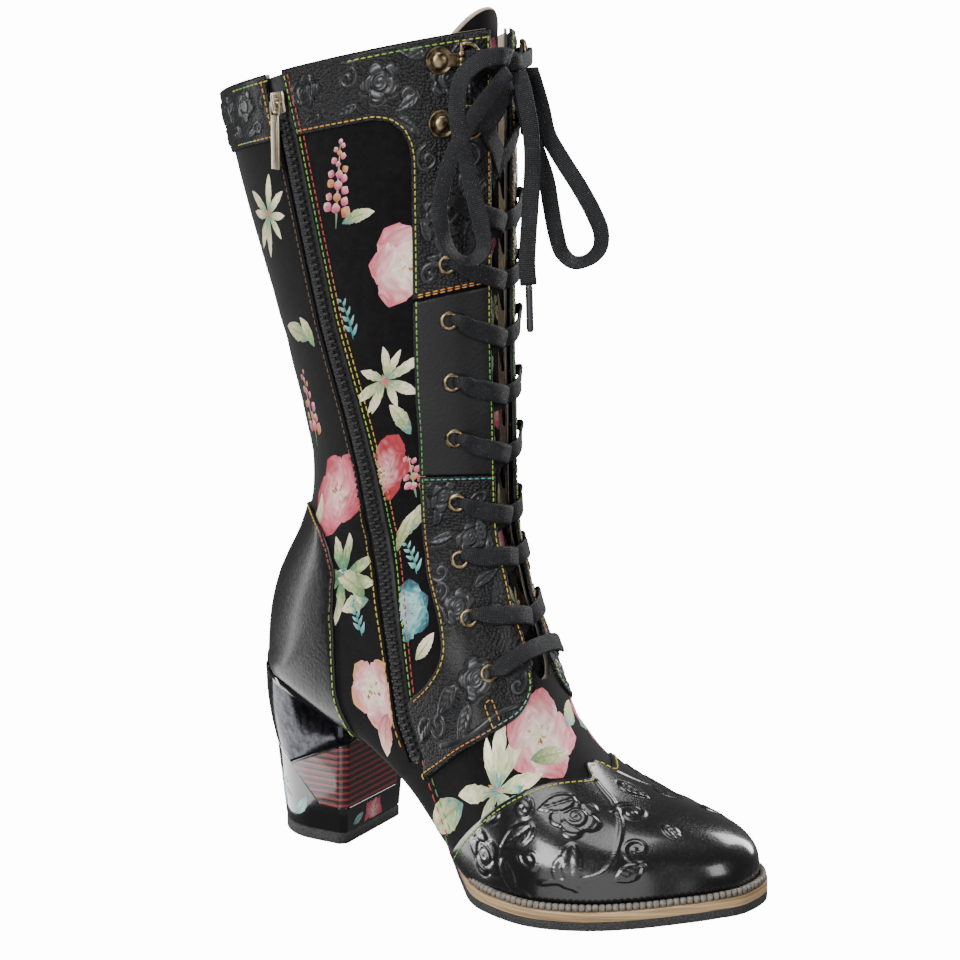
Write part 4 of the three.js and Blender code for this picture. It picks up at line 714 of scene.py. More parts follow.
def hang_cord(name, route, outward, twist, node):
    """One free stretch of lace, turning about its own line by the twist."""
    path = smooth_path(in_frame(route), 1.2)
    turn = np.interp(np.linspace(0, 1, len(path)), *zip(*twist)) * math.pi
    outward = np.asarray(outward, float)
    tangent = unit(np.gradient(path, axis=0))
    wide = unit(outward - tangent * (tangent @ outward)[:, None])
    flat = np.cross(tangent, wide)
    normals = flat * np.cos(turn)[:, None] + wide * np.sin(turn)[:, None]
    build = Build()
    ribbon(build, path, normals, HANGING_WIDTH, LACE_THICKNESS)
    obj = build.make(name, lace_skin, "cord")
    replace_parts(obj, node)
    cord_length(path)
    return obj


def aglet_material():
    shader = Shader("aglet", Roughness=0.3, Base_Color=rgb("26272b"), Coat_Weight=0.4)
    shader.set(Roughness=0.25 + shader.noise(400, 3) * 0.3)
    return shader.material


def make_aglet():
    path = smooth_path(in_frame(AGLET), 0.8)
    build = Build()
    radius = np.full(len(path), AGLET_RADIUS)
    radius[:3] = (1.2, 1.45, 1.6)
    radius[-2:] = (1.4, 1.0)
    tube(build, path, radius, 16)
    obj = build.make("aglet", aglet_material(), "zip")
    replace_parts(obj, "lace_aglet")
    return obj


aglet = make_aglet()
hang_cord("bow_right", BOW_RIGHT, (-0.8, -0.6, 0), RIGHT_TWIST, "lace_bow_right")
hang_cord("bow_left", BOW_LEFT, (-0.6, -0.8, 0), LEFT_TWIST, "lace_bow_left")
hang_cord("free_end", FREE_END, (-0.8, -0.6, 0), END_TWIST, "lace_end")
print("cords hung")

# %% [markdown]
# The chart unrolls the skin: X is the distance round the leg from the front centreline, minus on the
# zip's side, and Y is the length run from the toe's tip. Creases are pressed into the skin by listed
# strokes, and everything laid on it follows them.


# %%
class Chart:
    MEASURED_AT = 0.3

    def __init__(self):
        columns = [int(round((share + 1) * Skin.SHARES)) for share in (-self.MEASURED_AT, self.MEASURED_AT)]
        self.run = np.mean([run_along(skin.points[:, column]) for column in columns], axis=0)

    def y(self, station):
        return np.interp(station, skin.stations, self.run)

    def spot(self, x, station):
        """A plain pair of numbers: a distance from the front centreline, and the Y of a station."""
        return float(x), float(self.y(station))

    def station(self, y):
        return np.interp(y, self.run, skin.stations)

    def place(self, x, y):
        """Station and share of a chart place."""
        station = self.station(y)
        return station, skin.share(station, np.asarray(x, float))

    def flat(self, station, share):
        """Chart place of a station and share."""
        side = np.sign(share)
        girth = np.where(side < 0, skin.girth_at(station, -1), skin.girth_at(station, 1))
        return np.stack(np.broadcast_arrays(np.asarray(share) * girth, self.y(station)), axis=-1)


chart = Chart()

# Creases: chart places of both ends, depth and width in millimetres
CREASES = [
    (-52, 19.6, -95, 20.5, 0.55, 3.4),
    (-58, 18.7, -100, 19.3, 0.4, 3.0),
    (-20, 18.6, -52, 19.4, 0.4, 3.6),
    (-64, 21.4, -104, 22.3, 0.35, 3.2),
    (-82, 17.4, -118, 18.2, 0.35, 2.6),
    (-88, 24.1, -130, 23.4, 0.35, 4.5),
    (-98, 25.7, -136, 25.2, 0.3, 4.5),
    (-40, 23.2, -62, 23.5, 0.25, 4.0),
    (-14, 9.2, -52, 9.7, 0.35, 3.2),
    (-22, 9.9, -60, 10.5, 0.3, 2.8),
    (12, 9.3, 48, 9.8, 0.35, 3.2),
    (52, 19.6, 95, 20.5, 0.5, 3.4),
    (20, 18.6, 56, 19.3, 0.4, 3.6),
    (70, 24.2, 120, 23.6, 0.3, 4.5),
]


CREASE_BOW = 1.6
LIP_HEIGHT = 0.45
LIP_PLACE = 2.2


def crease_depth(station, share):
    place = chart.flat(station, share)
    x, y = place[..., 0], place[..., 1]
    depth = np.zeros(np.shape(x))
    for x0, t0, x1, t1, deep, width in CREASES:
        start = np.array([x0, chart.y(t0)])
        end = np.array([x1, chart.y(t1)])
        run = end - start
        along = np.clip(((x - start[0]) * run[0] + (y - start[1]) * run[1]) / (run @ run), 0, 1)
        bow = CREASE_BOW * np.sin(along * math.pi)
        away = np.hypot(x - start[0] - along * run[0], y - start[1] - along * run[1] - bow)
        fade = np.sin(np.clip(along, 0.02, 0.98) * math.pi) ** 0.5
        valley = np.exp(-((away / width) ** 2))
        lip = np.exp(-(((away - LIP_PLACE * width) / width) ** 2))
        depth -= deep * fade * (valley - LIP_HEIGHT * lip)
    return depth


def on_skin(station, share, lift=0.0):
    """Places on the creased skin."""
    return skin.point(station, share, np.asarray(lift, float) + crease_depth(station, share))


def on_chart(x, y, lift=0.0):
    station, share = chart.place(x, y)
    return on_skin(station, share, lift)


def weld(points, faces, attributes=None):
    """Joins points that fall together and drops faces that lose a corner."""
    keys = np.round(np.asarray(points, float) * 500).astype(np.int64)
    _, first, back = np.unique(keys, axis=0, return_index=True, return_inverse=True)
    back = back.ravel()
    kept = []
    for face in faces:
        ids = [int(back[k]) for k in face]
        slim = [k for n, k in enumerate(ids) if k != ids[n - 1]]
        if len(set(slim)) >= 3 and len(set(slim)) == len(slim):
            kept.append(slim)
    extra = {key: np.asarray(values)[first] for key, values in (attributes or {}).items()}
    return np.asarray(points, float)[first], kept, extra


# The zip's line, as the share of the zip side's half girth at each station
ZIP_HEIGHTS = (0, 0.143, 0.194, 0.309, 0.486, 0.66, 0.877, 1.06)
ZIP_PLACES = (0.49, 0.421, 0.388, 0.357, 0.309, 0.24, 0.176, 0.1)
ZIP_FOOT = 11.1
SLIDER_STATION = 28.28


def find_zip_shares():
    found = []
    for row in skin.points:
        half = row[:Skin.SHARES + 1][::-1]
        wanted = np.interp(half[:, 2] / COLLAR_HEIGHT, ZIP_HEIGHTS, ZIP_PLACES) * FOOT_LENGTH
        ahead = (ORIGIN_INSET - half[:, 1]) - wanted
        behind = np.nonzero(ahead <= 0)[0]
        if len(behind) == 0 or behind[0] == 0:
            found.append(1.0)
            continue
        k = behind[0]
        part = ahead[k - 1] / (ahead[k - 1] - ahead[k])
        found.append((k - 1 + part) / Skin.SHARES)
    return np.array(found)


ZIP_SHARES = find_zip_shares()


def zip_share(station):
    return np.interp(station, skin.stations, ZIP_SHARES)


def zip_reach(station, side, gap=0.0):
    """Distance from the front centreline to the zip's line, or to its mirror image, less a gap."""
    return float(zip_share(station)) * float(skin.girth_at(station, side)) - gap


def zip_x(station):
    """Chart X of the zip's line."""
    return -zip_share(station) * skin.girth_at(station, -1)


print("zip share at the collar", float(zip_share(COLLAR)))

# %% [markdown]
# Materials. Leather is grain, fine creasing and a coat; suede is nap; thread, foil print and tooling read
# the colours that the meshes carry.


# %%
def suede_material():
    shader = Shader("suede", Roughness=0.9, Specular_IOR_Level=0.12, Sheen_Weight=0.1, Sheen_Roughness=0.5)
    nap = shader.noise(260, 6, 0.7)
    fibre = shader.noise(2600, 3, 0.7)
    color = shader.mix(nap.step(0.3, 0.72), rgb("060506"), rgb("131113"))
    color = shader.mix(fibre.step(0.55, 0.8) * 0.35, color, rgb("231f21"))
    shader.set(Base_Color=color, Roughness=0.8 + nap * 0.18)
    shader.set(Normal=shader.bump(fibre * 0.6 + nap * 0.8, 0.45, 0.00025))
    return shader.material


def leather(name, dark, light, rough, coat, grain=0.5, pebble=950):
    shader = Shader(name, Roughness=rough, Specular_IOR_Level=0.34, Coat_Roughness=0.22)
    cells = shader.cells(pebble, "SMOOTH_F1", 1)
    pores = shader.noise(2200, 4, 0.6)
    folds = shader.noise(90, 5, 0.55, distortion=0.4)
    cloud = shader.noise(26, 3, 0.5)
    color = shader.mix(cells.step(0.15, 0.75) * 0.5 + cloud * 0.4, rgb(dark), rgb(light))
    scuffs = shader.noise(70, 6, 0.7, place=shader.stretched(1, 1, 4)).step(0.68, 0.78)
    color = shader.mix(scuffs * 0.2, color, rgb("333338"))
    shader.set(Base_Color=color, Roughness=rough + cells * 0.12 + folds * 0.1 + scuffs * 0.15 - 0.08)
    shader.set(Coat_Weight=coat * (1 - scuffs * 0.4))
    height = cells * 0.6 + pores * 0.25 + folds * 1.1
    shader.set(Normal=shader.bump(height, grain, 0.00035))
    return shader.material


def tooled_material():
    """Embossed leather: the ground between the raised figures is stamped with small pips and painted in
    shade.
    """
    shader = Shader("tooled_leather", Roughness=0.36, Specular_IOR_Level=0.4, Coat_Roughness=0.2)
    raised = shader.attribute("raised")
    ground = 1 - raised.step(0.05, 0.35)
    pips = shader.cells(820, "F1", 0.75)
    pores = shader.noise(2400, 4, 0.6)
    folds = shader.noise(110, 5, 0.55)
    # painted shade: the ground between the raised figures is painted darker than the figures
    color = shader.mix(raised.step(0.0, 0.9), rgb("020203"), rgb("0d0e12"))
    # painted sheen: bluish patches over the folds
    color = shader.mix(folds.step(0.5, 0.75) * 0.4, color, rgb("141821"))
    shader.set(Base_Color=color, Roughness=0.36 + ground * 0.14 + folds * 0.12)
    shader.set(Coat_Weight=0.12 + raised * 0.3)
    height = (1 - pips) * ground * 3.2 + pores * 0.2 + folds * 0.5
    shader.set(Normal=shader.bump(height, 0.7, 0.0004))
    return shader.material


def print_material():
    """Foil print: colours from the mesh, broken by fine cracks that let the suede show, with a painted sheen.
    """
    shader = Shader("foil_print", Roughness=0.42, Metallic=0.25, Specular_IOR_Level=0.6)
    paint = shader.attribute("paint", "Color")
    crackle = shader.noise(900, 5, 0.75)
    blotch = shader.noise(220, 4, 0.6)
    worn = crackle.step(0.6, 0.72) * 0.55 + blotch.step(0.62, 0.8) * 0.25
    color = shader.mix(worn, paint, rgb("1a1719"))
    # painted sheen: pale cream blotches over the foil
    color = shader.mix(blotch.step(0.35, 0.2) * 0.3, color, rgb("f3e9d8"))
    shader.set(Base_Color=color, Roughness=0.34 + crackle * 0.35, Metallic=0.35 - worn * 0.3)
    shader.set(Normal=shader.bump(crackle * 0.7 + blotch * 0.4, 0.5, 0.0002))
    return shader.material


def thread_material():
    shader = Shader("thread", Roughness=0.55, Sheen_Weight=0.3)
    paint = shader.attribute("paint", "Color")
    twist = shader.noise(2600, 2, 0.5, place=shader.stretched(1, 1, 2.5))
    shader.set(Base_Color=shader.mix(twist.step(0.35, 0.65) * 0.35, paint, rgb("16110a")))
    shader.set(Roughness=0.45 + twist * 0.25, Normal=shader.bump(twist, 0.6, 0.0002))
    return shader.material


def metal_material(name, dark, light, rough):
    shader = Shader(name, Metallic=1.0, Roughness=rough)
    wear = shader.noise(320, 5, 0.65)
    fine = shader.noise(2400, 3, 0.6)
    color = shader.mix(wear.step(0.32, 0.68), rgb(dark), rgb(light))
    shader.set(Base_Color=color, Roughness=rough + wear * 0.18 - 0.06)
    shader.set(Normal=shader.bump(fine * 0.4 + wear * 0.8, 0.22, 0.00012))
    return shader.material


def brushed_material():
    shader = Shader("pale_brass", Metallic=1.0, Roughness=0.3)
    lines = shader.noise(1500, 3, 0.6, place=shader.stretched(1, 1, 0.05))
    wear = shader.noise(200, 4, 0.6)
    color = shader.mix(lines * 0.6 + wear * 0.4, rgb("8c8069"), rgb("d9cfb8"))
    shader.set(Base_Color=color, Roughness=0.2 + lines * 0.25)
    shader.set(Normal=shader.bump(lines, 0.35, 0.0001))
    return shader.material


def lining_material():
    shader = Shader("lining", Roughness=0.85, Sheen_Weight=0.3)
    pores = shader.cells(1300, "F1", 1)
    cloud = shader.noise(60, 5, 0.6)
    color = shader.mix(cloud.step(0.3, 0.7), rgb("a3937d"), rgb("c3b49d"))
    shader.set(Base_Color=shader.mix(pores.step(0.1, 0.0) * 0.5, color, rgb("6f614f")))
    shader.set(Normal=shader.bump(pores * 0.5 + cloud, 0.3, 0.0002))
    return shader.material


def rubber_material():
    shader = Shader("outsole_rubber", Roughness=0.8, Specular_IOR_Level=0.35)
    grit = shader.noise(1400, 5, 0.7)
    chips = shader.noise(240, 5, 0.7)
    color = shader.mix(grit.step(0.3, 0.7), rgb("222224"), rgb("4a494a"))
    color = shader.mix(chips.step(0.62, 0.74) * 0.6, color, rgb("77736c"))
    shader.set(Base_Color=color, Roughness=0.7 + grit * 0.25)
    shader.set(Normal=shader.bump(grit + chips * 1.6, 0.9, 0.0006))
    return shader.material


def midsole_material():
    """Stacked tan board: thin level layers with a dry, fibrous cut."""
    shader = Shader("tan_midsole", Roughness=0.7)
    layers = shader.noise(260, 3, 0.6, place=shader.stretched(0.12, 0.12, 4.5))
    fibre = shader.noise(900, 4, 0.65, place=shader.stretched(0.6, 0.6, 3))
    color = shader.mix(layers.step(0.35, 0.65), rgb("8f7452"), rgb("c4a67c"))
    color = shader.mix(fibre.step(0.6, 0.75) * 0.4, color, rgb("6e563b"))
    shader.set(Base_Color=color, Roughness=0.6 + fibre * 0.25)
    shader.set(Normal=shader.bump(layers + fibre * 0.6, 0.5, 0.0003))
    return shader.material


def bead_material():
    shader = Shader("welt_bead", Roughness=0.5, Specular_IOR_Level=0.5)
    grime = shader.noise(700, 5, 0.65)
    valley = shader.attribute("valley")
    color = shader.mix(grime.step(0.3, 0.7), rgb("57524b"), rgb("8c857a"))
    # painted shade: the valleys between the teeth are painted near black
    color = shader.mix(valley.step(0.25, 0.95), color, rgb("1d1b1a"))
    shader.set(Base_Color=color, Roughness=0.42 + grime * 0.25)
    shader.set(Normal=shader.bump(grime, 0.35, 0.0002))
    return shader.material


def heel_material():
    """Patent heel: black lacquer with a faint ripple, so that reflections run soft."""
    shader = Shader("patent_heel", Specular_IOR_Level=0.6, Coat_Weight=0.9, Coat_Roughness=0.04)
    ripple = shader.noise(36, 3, 0.5)
    dust = shader.noise(1600, 4, 0.7)
    shader.set(Base_Color=shader.mix(ripple, rgb("060607"), rgb("101013")))
    shader.set(Roughness=0.08 + dust.step(0.66, 0.8) * 0.3 + ripple * 0.06)
    shader.set(Normal=shader.bump(ripple, 0.12, 0.0008))
    return shader.material


def stripe_material():
    """The heel's side panel: lacquered red and dark grey bands, one above another."""
    shader = Shader("striped_panel", Specular_IOR_Level=0.6, Coat_Weight=0.8, Coat_Roughness=0.08)
    height = shader.axis("Z")
    wobble = shader.noise(60, 2, 0.5)
    band = (height * (2 * math.pi / 0.0029) + wobble * 0.7).sine()
    glow = shader.noise(45, 2, 0.5)
    red = shader.mix(glow, rgb("6a2424"), rgb("983a36"))
    color = shader.mix(band.step(-0.1, 0.7), rgb("2b1a1c"), red)
    shader.set(Base_Color=color, Roughness=0.16 + glow * 0.16)
    shader.set(Normal=shader.bump(band * 0.5, 0.18, 0.0002))
    return shader.material


def zip_material(name, dark, light):
    shader = Shader(name, Roughness=0.5, Specular_IOR_Level=0.5)
    weave = shader.cells(1700, "F1", 0.25)
    haze = shader.noise(150, 4, 0.6)
    color = shader.mix(weave.step(0.1, 0.5), rgb(light), rgb(dark))
    shader.set(Base_Color=color, Roughness=0.36 + haze * 0.3)
    shader.set(Normal=shader.bump(1 - weave, 0.6, 0.0002))
    return shader.material


suede = suede_material()
plain_leather = leather("plain_leather", "030304", "0b0b0e", 0.48, 0.14, 0.65)
glossy_leather = leather("glossy_leather", "030304", "0a0a0d", 0.38, 0.3, 0.5, 700)
tooled_leather = tooled_material()
foil = print_material()
thread = thread_material()
brass = metal_material("antique_brass", "4d4233", "ab9878", 0.3)
# A darker copy of the brass: painted shade for the lace loops' plates
painted_shade_brass = metal_material("brass_shade", "2a241b", "7b6c53", 0.36)
pale_brass = brushed_material()
lining = lining_material()
rubber = rubber_material()
tan_board = midsole_material()
bead_finish = bead_material()
patent = heel_material()
striped = stripe_material()
zip_teeth = zip_material("zip_coil", "0c0c0e", "2a2a2e")
zip_cloth = zip_material("zip_tape_weave", "08080a", "19191c")
print("materials", len(bpy.data.materials))

# %% [markdown]
# The upper: a suede skin with slits for the throat and the zip, and a lining inside it.

# %%
THROAT_FOOT = 10.55
THROAT_HALF = 7
THROAT_FOOT_SHARE = 0.45
THROAT_EASE = 0.5
ZIP_SLOT_HALF = 4.9
STATION_PACE = 0.02


def throat_edge(station):
    opening = smooth_step((station - THROAT_FOOT) / THROAT_EASE)
    share = THROAT_FOOT_SHARE + (1 - THROAT_FOOT_SHARE) * opening
    return np.where(station > THROAT_FOOT, THROAT_HALF * share, 0.0)


def skin_columns(station, counts):
    """Shares of one row of the upper: back, zip, throat, zip side first."""
    throat = float(throat_edge(np.array(station)))
    slot = ZIP_SLOT_HALF if station > ZIP_FOOT else 0.0
    middle = float(zip_share(station))
    medial_girth = float(skin.girth_at(station, -1))
    lateral_girth = float(skin.girth_at(station, 1))
    back_part = np.linspace(-1, -(middle + slot / medial_girth), counts[0])
    front_part = np.linspace(-(middle - slot / medial_girth), -throat / medial_girth, counts[1])
    far_part = np.linspace(throat / lateral_girth, 1, counts[2])
    return np.concatenate([back_part, front_part, far_part])


def upper_sheet(name, lift, step, counts, material, slot, flip=False):
    """One sheet of the upper, with even rows, slit at the throat and at the zip."""
    stations = [0.0]
    while stations[-1] < COLLAR:
        ahead = stations[-1] + STATION_PACE
        while ahead < COLLAR and chart.y(ahead) - chart.y(stations[-1]) < step:
            ahead += STATION_PACE
        stations.append(min(ahead, COLLAR))
    stations = np.array(sorted(set(stations + [THROAT_FOOT, ZIP_FOOT])))
    columns = sum(counts)
    shares = np.array([skin_columns(station, counts) for station in stations])
    points = on_skin(stations[:, None], shares, lift).reshape(-1, 3)
    seams = {counts[0] - 1: ZIP_FOOT, counts[0] + counts[1] - 1: THROAT_FOOT}
    faces = [face for face in grid_faces(len(stations), columns) if face[0] % columns not in seams]
    if flip:
        faces = [face[::-1] for face in faces]
    points, faces, _ = weld(points, faces)
    made = add_mesh(name, points, faces, material, slot)
    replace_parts(made, "upper")
    print(name, len(faces))


upper_sheet("upper_suede", 0.0, 2.0, (34, 26, 64), suede, "suede")
upper_sheet("upper_lining", -WALL, 3.0, (22, 16, 40), lining, "lining", flip=True)

# %% [markdown]
# Tooling: figures are drawn as outlines on the chart, raised from the ground with a soft bevel and then
# veined with narrow furrows. The result is one height field that the panels read.


# %%
def leaf_outline(x, y, angle, length, width, bend=0.0):
    """A pointed leaf from its stalk, bent to one side."""
    u = np.linspace(0, 1, 22)
    half = width / 2 * np.sin(math.pi * u ** 0.8) ** 0.9
    centre = np.stack([u * length, bend * length * u**2], axis=1)
    left = centre + np.stack([0 * u, half], axis=1)
    right = (centre - np.stack([0 * u, half], axis=1))[::-1][1:-1]
    return turn(np.vstack([left, right]), angle) + [x, y]


def leaf_rib(x, y, angle, length, bend=0.0):
    u = np.linspace(0.03, 0.86, 14)
    return turn(np.stack([u * length, bend * length * u**2], axis=1), angle) + [x, y]


def turn(points, angle):
    c, s = math.cos(math.radians(angle)), math.sin(math.radians(angle))
    return np.asarray(points) @ np.array([[c, s], [-s, c]])


def spiral(x, y, angle, size, turns, hand):
    """A scroll that starts outside and winds in."""
    u = np.linspace(0, 1, int(26 * turns) + 8)
    reach = size * (1 - 0.86 * u**0.8)
    sweep = 2 * math.pi * turns * u * hand
    points = np.stack([reach * np.cos(sweep), reach * np.sin(sweep)], axis=1)
    return turn(points, angle) + [x, y]


def blob(x, y, radius, lobes, depth, angle=0):
    """A round outline with shallow lobes, as a petal or a bud."""
    a = np.linspace(0, 2 * math.pi, 56, endpoint=False)
    r = radius * (1 - depth * np.abs(np.sin(a * lobes / 2)) ** 1.5)
    return turn(np.stack([r * np.cos(a), r * np.sin(a)], axis=1), angle) + [x, y]


def signed_distance(points, polygon):
    """Distance to a closed outline, plus inside."""
    a = polygon
    b = np.roll(polygon, -1, axis=0)
    run = b - a
    away = points[:, None] - a[None]
    part = np.clip((away * run).sum(2) / np.maximum((run * run).sum(1), 1e-12), 0, 1)
    near = np.sqrt(((away - part[..., None] * run) ** 2).sum(2).min(1))
    above = (a[:, 1] > points[:, None, 1]) != (b[:, 1] > points[:, None, 1])
    safe = np.where(np.abs(run[:, 1]) < 1e-12, 1e-12, run[:, 1])
    cross = points[:, None, 0] < a[:, 0] + (points[:, None, 1] - a[:, 1]) / safe * run[:, 0]
    inside = (above & cross).sum(1) % 2 == 1
    return np.where(inside, near, -near)


class Relief:
    """A height field over a part of the chart. Figures are pressed into it one after another."""

    CELL = 0.25
    FAR = 9.0
    MOAT = (0.16, 0.3, 0.45)

    def __init__(self, x0, y0, x1, y1):
        self.x0, self.y0 = x0, y0
        self.xs = np.arange(x0, x1, self.CELL)
        self.ys = np.arange(y0, y1, self.CELL)
        self.height = np.zeros((len(self.ys), len(self.xs)))

    def window(self, points, margin):
        """The cells round some points: rows, columns, places and shape."""
        low = np.min(points, axis=0) - margin
        high = np.max(points, axis=0) + margin
        i = slice(*np.clip(np.searchsorted(self.ys, (low[1], high[1])), 0, len(self.ys)))
        j = slice(*np.clip(np.searchsorted(self.xs, (low[0], high[0])), 0, len(self.xs)))
        x, y = np.meshgrid(self.xs[j], self.ys[i])
        return (i, j), np.stack([x.ravel(), y.ravel()], axis=1), x.shape

    def raise_shape(self, outline, height=0.55, bevel=0.9):
        cells, at, shape = self.window(outline, 0.5)
        if at.size == 0:
            return
        deep, shift, width = self.MOAT
        depth = signed_distance(at, outline).reshape(shape)
        lift = height * (1 - (1 - np.clip(depth / bevel, 0, 1)) ** 2)
        moat = -deep * np.exp(-((depth + shift) / width) ** 2)
        here = self.height[cells]
        self.height[cells] = np.where(depth > 0, np.maximum(here * 0.4, lift), np.minimum(here, here + moat))

    def near_path(self, path, width):
        """The cells near a path, with their distance to it."""
        path = resample(path, 0.3)
        cells, at, shape = self.window(path, 3 * width)
        nearest = np.full(len(at), self.FAR)
        for part in np.array_split(path, max(len(path) // 24, 1)):
            gap = np.hypot(at[:, None, 0] - part[None, :, 0], at[:, None, 1] - part[None, :, 1]).min(1)
            nearest = np.minimum(nearest, gap)
        return cells, nearest.reshape(shape)

    def furrow(self, path, depth=0.32, width=0.42):
        cells, gap = self.near_path(path, width)
        self.height[cells] -= depth * np.exp(-((gap / width) ** 2))

    def ridge(self, path, height=0.5, width=0.9):
        cells, gap = self.near_path(path, width)
        self.height[cells] = np.maximum(self.height[cells], height * np.exp(-((gap / width) ** 4)))

    def leaf(self, x, y, angle, length, width, bend=0.0):
        self.raise_shape(leaf_outline(x, y, angle, length, width, bend))
        self.furrow(leaf_rib(x, y, angle, length, bend))
        for u in np.arange(1, 5) / 5.3:
            root = np.array([u * length, bend * length * u**2])
            reach = width * 0.36 * math.sin(math.pi * u**0.8)
            for hand in (-1, 1):
                tip = root + np.array([0.14 * length, hand * reach])
                vein = np.array([root, (root + tip) / 2 + [0, hand * 0.1], tip])
                self.furrow(turn(vein, angle) + [x, y], 0.16, 0.3)

    def rose(self, x, y, size, angle=0):
        turns = [angle + 72 * k for k in range(5)]
        for a in turns:
            out = turn(np.array([[size * 0.5, 0]]), a)[0]
            self.raise_shape(blob(x + out[0], y + out[1], size * 0.48, 2, 0.12, a), 0.5, 1.1)
        sweep = np.linspace(-0.55, 0.55, 12)
        arc = np.stack([size * 0.78 * np.cos(sweep), size * 0.78 * np.sin(sweep)], axis=1)
        for a in turns:
            self.furrow(turn(arc, a) + [x, y], 0.2, 0.35)
        self.raise_shape(blob(x, y, size * 0.5, 3, 0.1, angle + 20), 0.75, 1.4)
        self.furrow(spiral(x, y, angle, size * 0.46, 1.9, 1), 0.34, 0.36)

    def scroll(self, x, y, angle, size, turns=1.2, hand=1):
        line = spiral(x, y, angle, size, turns, hand)
        self.ridge(line, 0.5, max(0.75, size * 0.11))
        self.furrow(line[3:], 0.22, 0.3)

    def vine(self, points, width=0.85):
        line = smooth_path(points, 0.5)
        self.ridge(line, 0.46, width)
        self.furrow(line, 0.16, 0.28)

    def read(self, x, y):
        fx = np.clip((np.asarray(x) - self.x0) / self.CELL, 0, len(self.xs) - 1.001)
        fy = np.clip((np.asarray(y) - self.y0) / self.CELL, 0, len(self.ys) - 1.001)
        i, j = fy.astype(int), fx.astype(int)
        v, u = fy - i, fx - j
        low = self.height[i, j] * (1 - u) + self.height[i, j + 1] * u
        high = self.height[i + 1, j] * (1 - u) + self.height[i + 1, j + 1] * u
        return low * (1 - v) + high * v


def facing_tooling():
    """Figures of the facings, straps and cuff, drawn for the zip's side and mirrored on the other."""
    y = chart.y
    top, low = y(25.4), y(10.1)
    relief = Relief(-170, low - 6, 0, y(COLLAR) + 6)
    # cuff and upper facing
    relief.rose(-25, y(28.35), 8.4, 10)
    relief.rose(-52, y(28.5) - 1, 8.6, 40)
    relief.leaf(-33, y(28.7), 150, 13, 6, 0.15)
    relief.leaf(-36, y(28.2), 215, 12, 5.5, -0.12)
    relief.leaf(-60, y(28.9), 170, 14, 6, 0.1)
    relief.leaf(-61, y(28.2), 200, 12, 5, -0.1)
    relief.scroll(-17, y(27.2), 80, 5.4, 1.3, -1)
    relief.scroll(-33, y(27.25), 100, 5.8, 1.3, 1)
    relief.vine([(-12, top + 2), (-22, top + 12), (-30, top + 22), (-20, top + 34), (-27, top + 46)])
    relief.leaf(-23, top + 12, 150, 12, 5.5, 0.18)
    relief.leaf(-29, top + 24, 20, 12, 5.5, -0.2)
    relief.scroll(-33, top + 9, 20, 5.2, 1.2, 1)
    relief.scroll(-14, top + 25, 200, 5.0, 1.2, -1)
    relief.rose(-30, top + 34, 6.4, 0)
    relief.leaf(-14, y(28.9), 200, 11, 5, 0.12)
    relief.leaf(-41, y(28.85), 20, 12, 5.5, 0.14)
    relief.leaf(-46, y(27.9), 330, 13, 6, -0.14)
    relief.scroll(-41, y(28.2), 250, 4.6, 1.2, 1)
    relief.scroll(-66, y(28.6), 60, 4.8, 1.2, -1)
    relief.scroll(-46, y(29.1), 10, 4.2, 1.2, 1)
    relief.leaf(-12, y(27.9), 120, 12, 5.5, -0.14)
    relief.leaf(-17, top + 50, 250, 13, 6, 0.16)
    relief.leaf(-33, top + 22, 100, 11, 5, 0.16)
    relief.leaf(-13, top + 10, 80, 12, 5, -0.16)
    relief.leaf(-16, top + 38, 40, 11, 5, 0.12)
    # cuff round the back
    for k, x in enumerate((-86, -104, -122, -140, -158)):
        relief.rose(x, y(28.55), 7.6, 30 * k)
        relief.leaf(x + 8, y(28.95), 160, 9, 4.6, 0.1)
        relief.leaf(x + 8, y(28.15), 200, 9, 4.6, -0.1)
        relief.scroll(x - 9, y(28.95), 30 * k, 3.6, 1.15, 1)
        relief.scroll(x - 9, y(28.15), 200 - 30 * k, 3.6, 1.15, -1)
    # lower facing, one figure group above another, leaning left and right in turn
    for k in range(4):
        at = y(13.2) + 6 + 25 * k
        odd = k % 2
        hand = 1 if odd else -1
        relief.rose((-30, -19)[odd], at, 7.6, 25 * k)
        relief.leaf((-22, -26)[odd], at + 4, (25, 160)[odd], 13, 6, 0.16 * hand)
        relief.scroll((-14, -34)[odd], at - 8, 60 + 90 * k, 4.8, 1.25, hand)
        relief.scroll((-36, -13)[odd], at + 10, 250 + 70 * k, 4.4, 1.2, -hand)
        relief.leaf((-12, -33)[odd], at + 12, 80, 12, 5, 0.14)
        relief.leaf((-37, -13)[odd], at - 4, 110, 12, 5, -0.14)
    # strap and its flange
    relief.rose(-32, y(11.55), 8.4, 12)
    relief.leaf(-24, y(11.5), 330, 13, 6, 0.15)
    relief.leaf(-40, y(11.7), 190, 15, 7, 0.12)
    relief.leaf(-38, y(11.2), 222, 14, 6, -0.1)
    relief.scroll(-55, y(11.3), 140, 5.4, 1.2, 1)
    relief.leaf(-58, y(11.5), 185, 13, 6, 0.1)
    relief.scroll(-16, y(10.8), 30, 5, 1.2, -1)
    relief.vine([(-16, low + 3), (-28, low + 7), (-44, low + 9), (-58, low + 14)])
    return relief


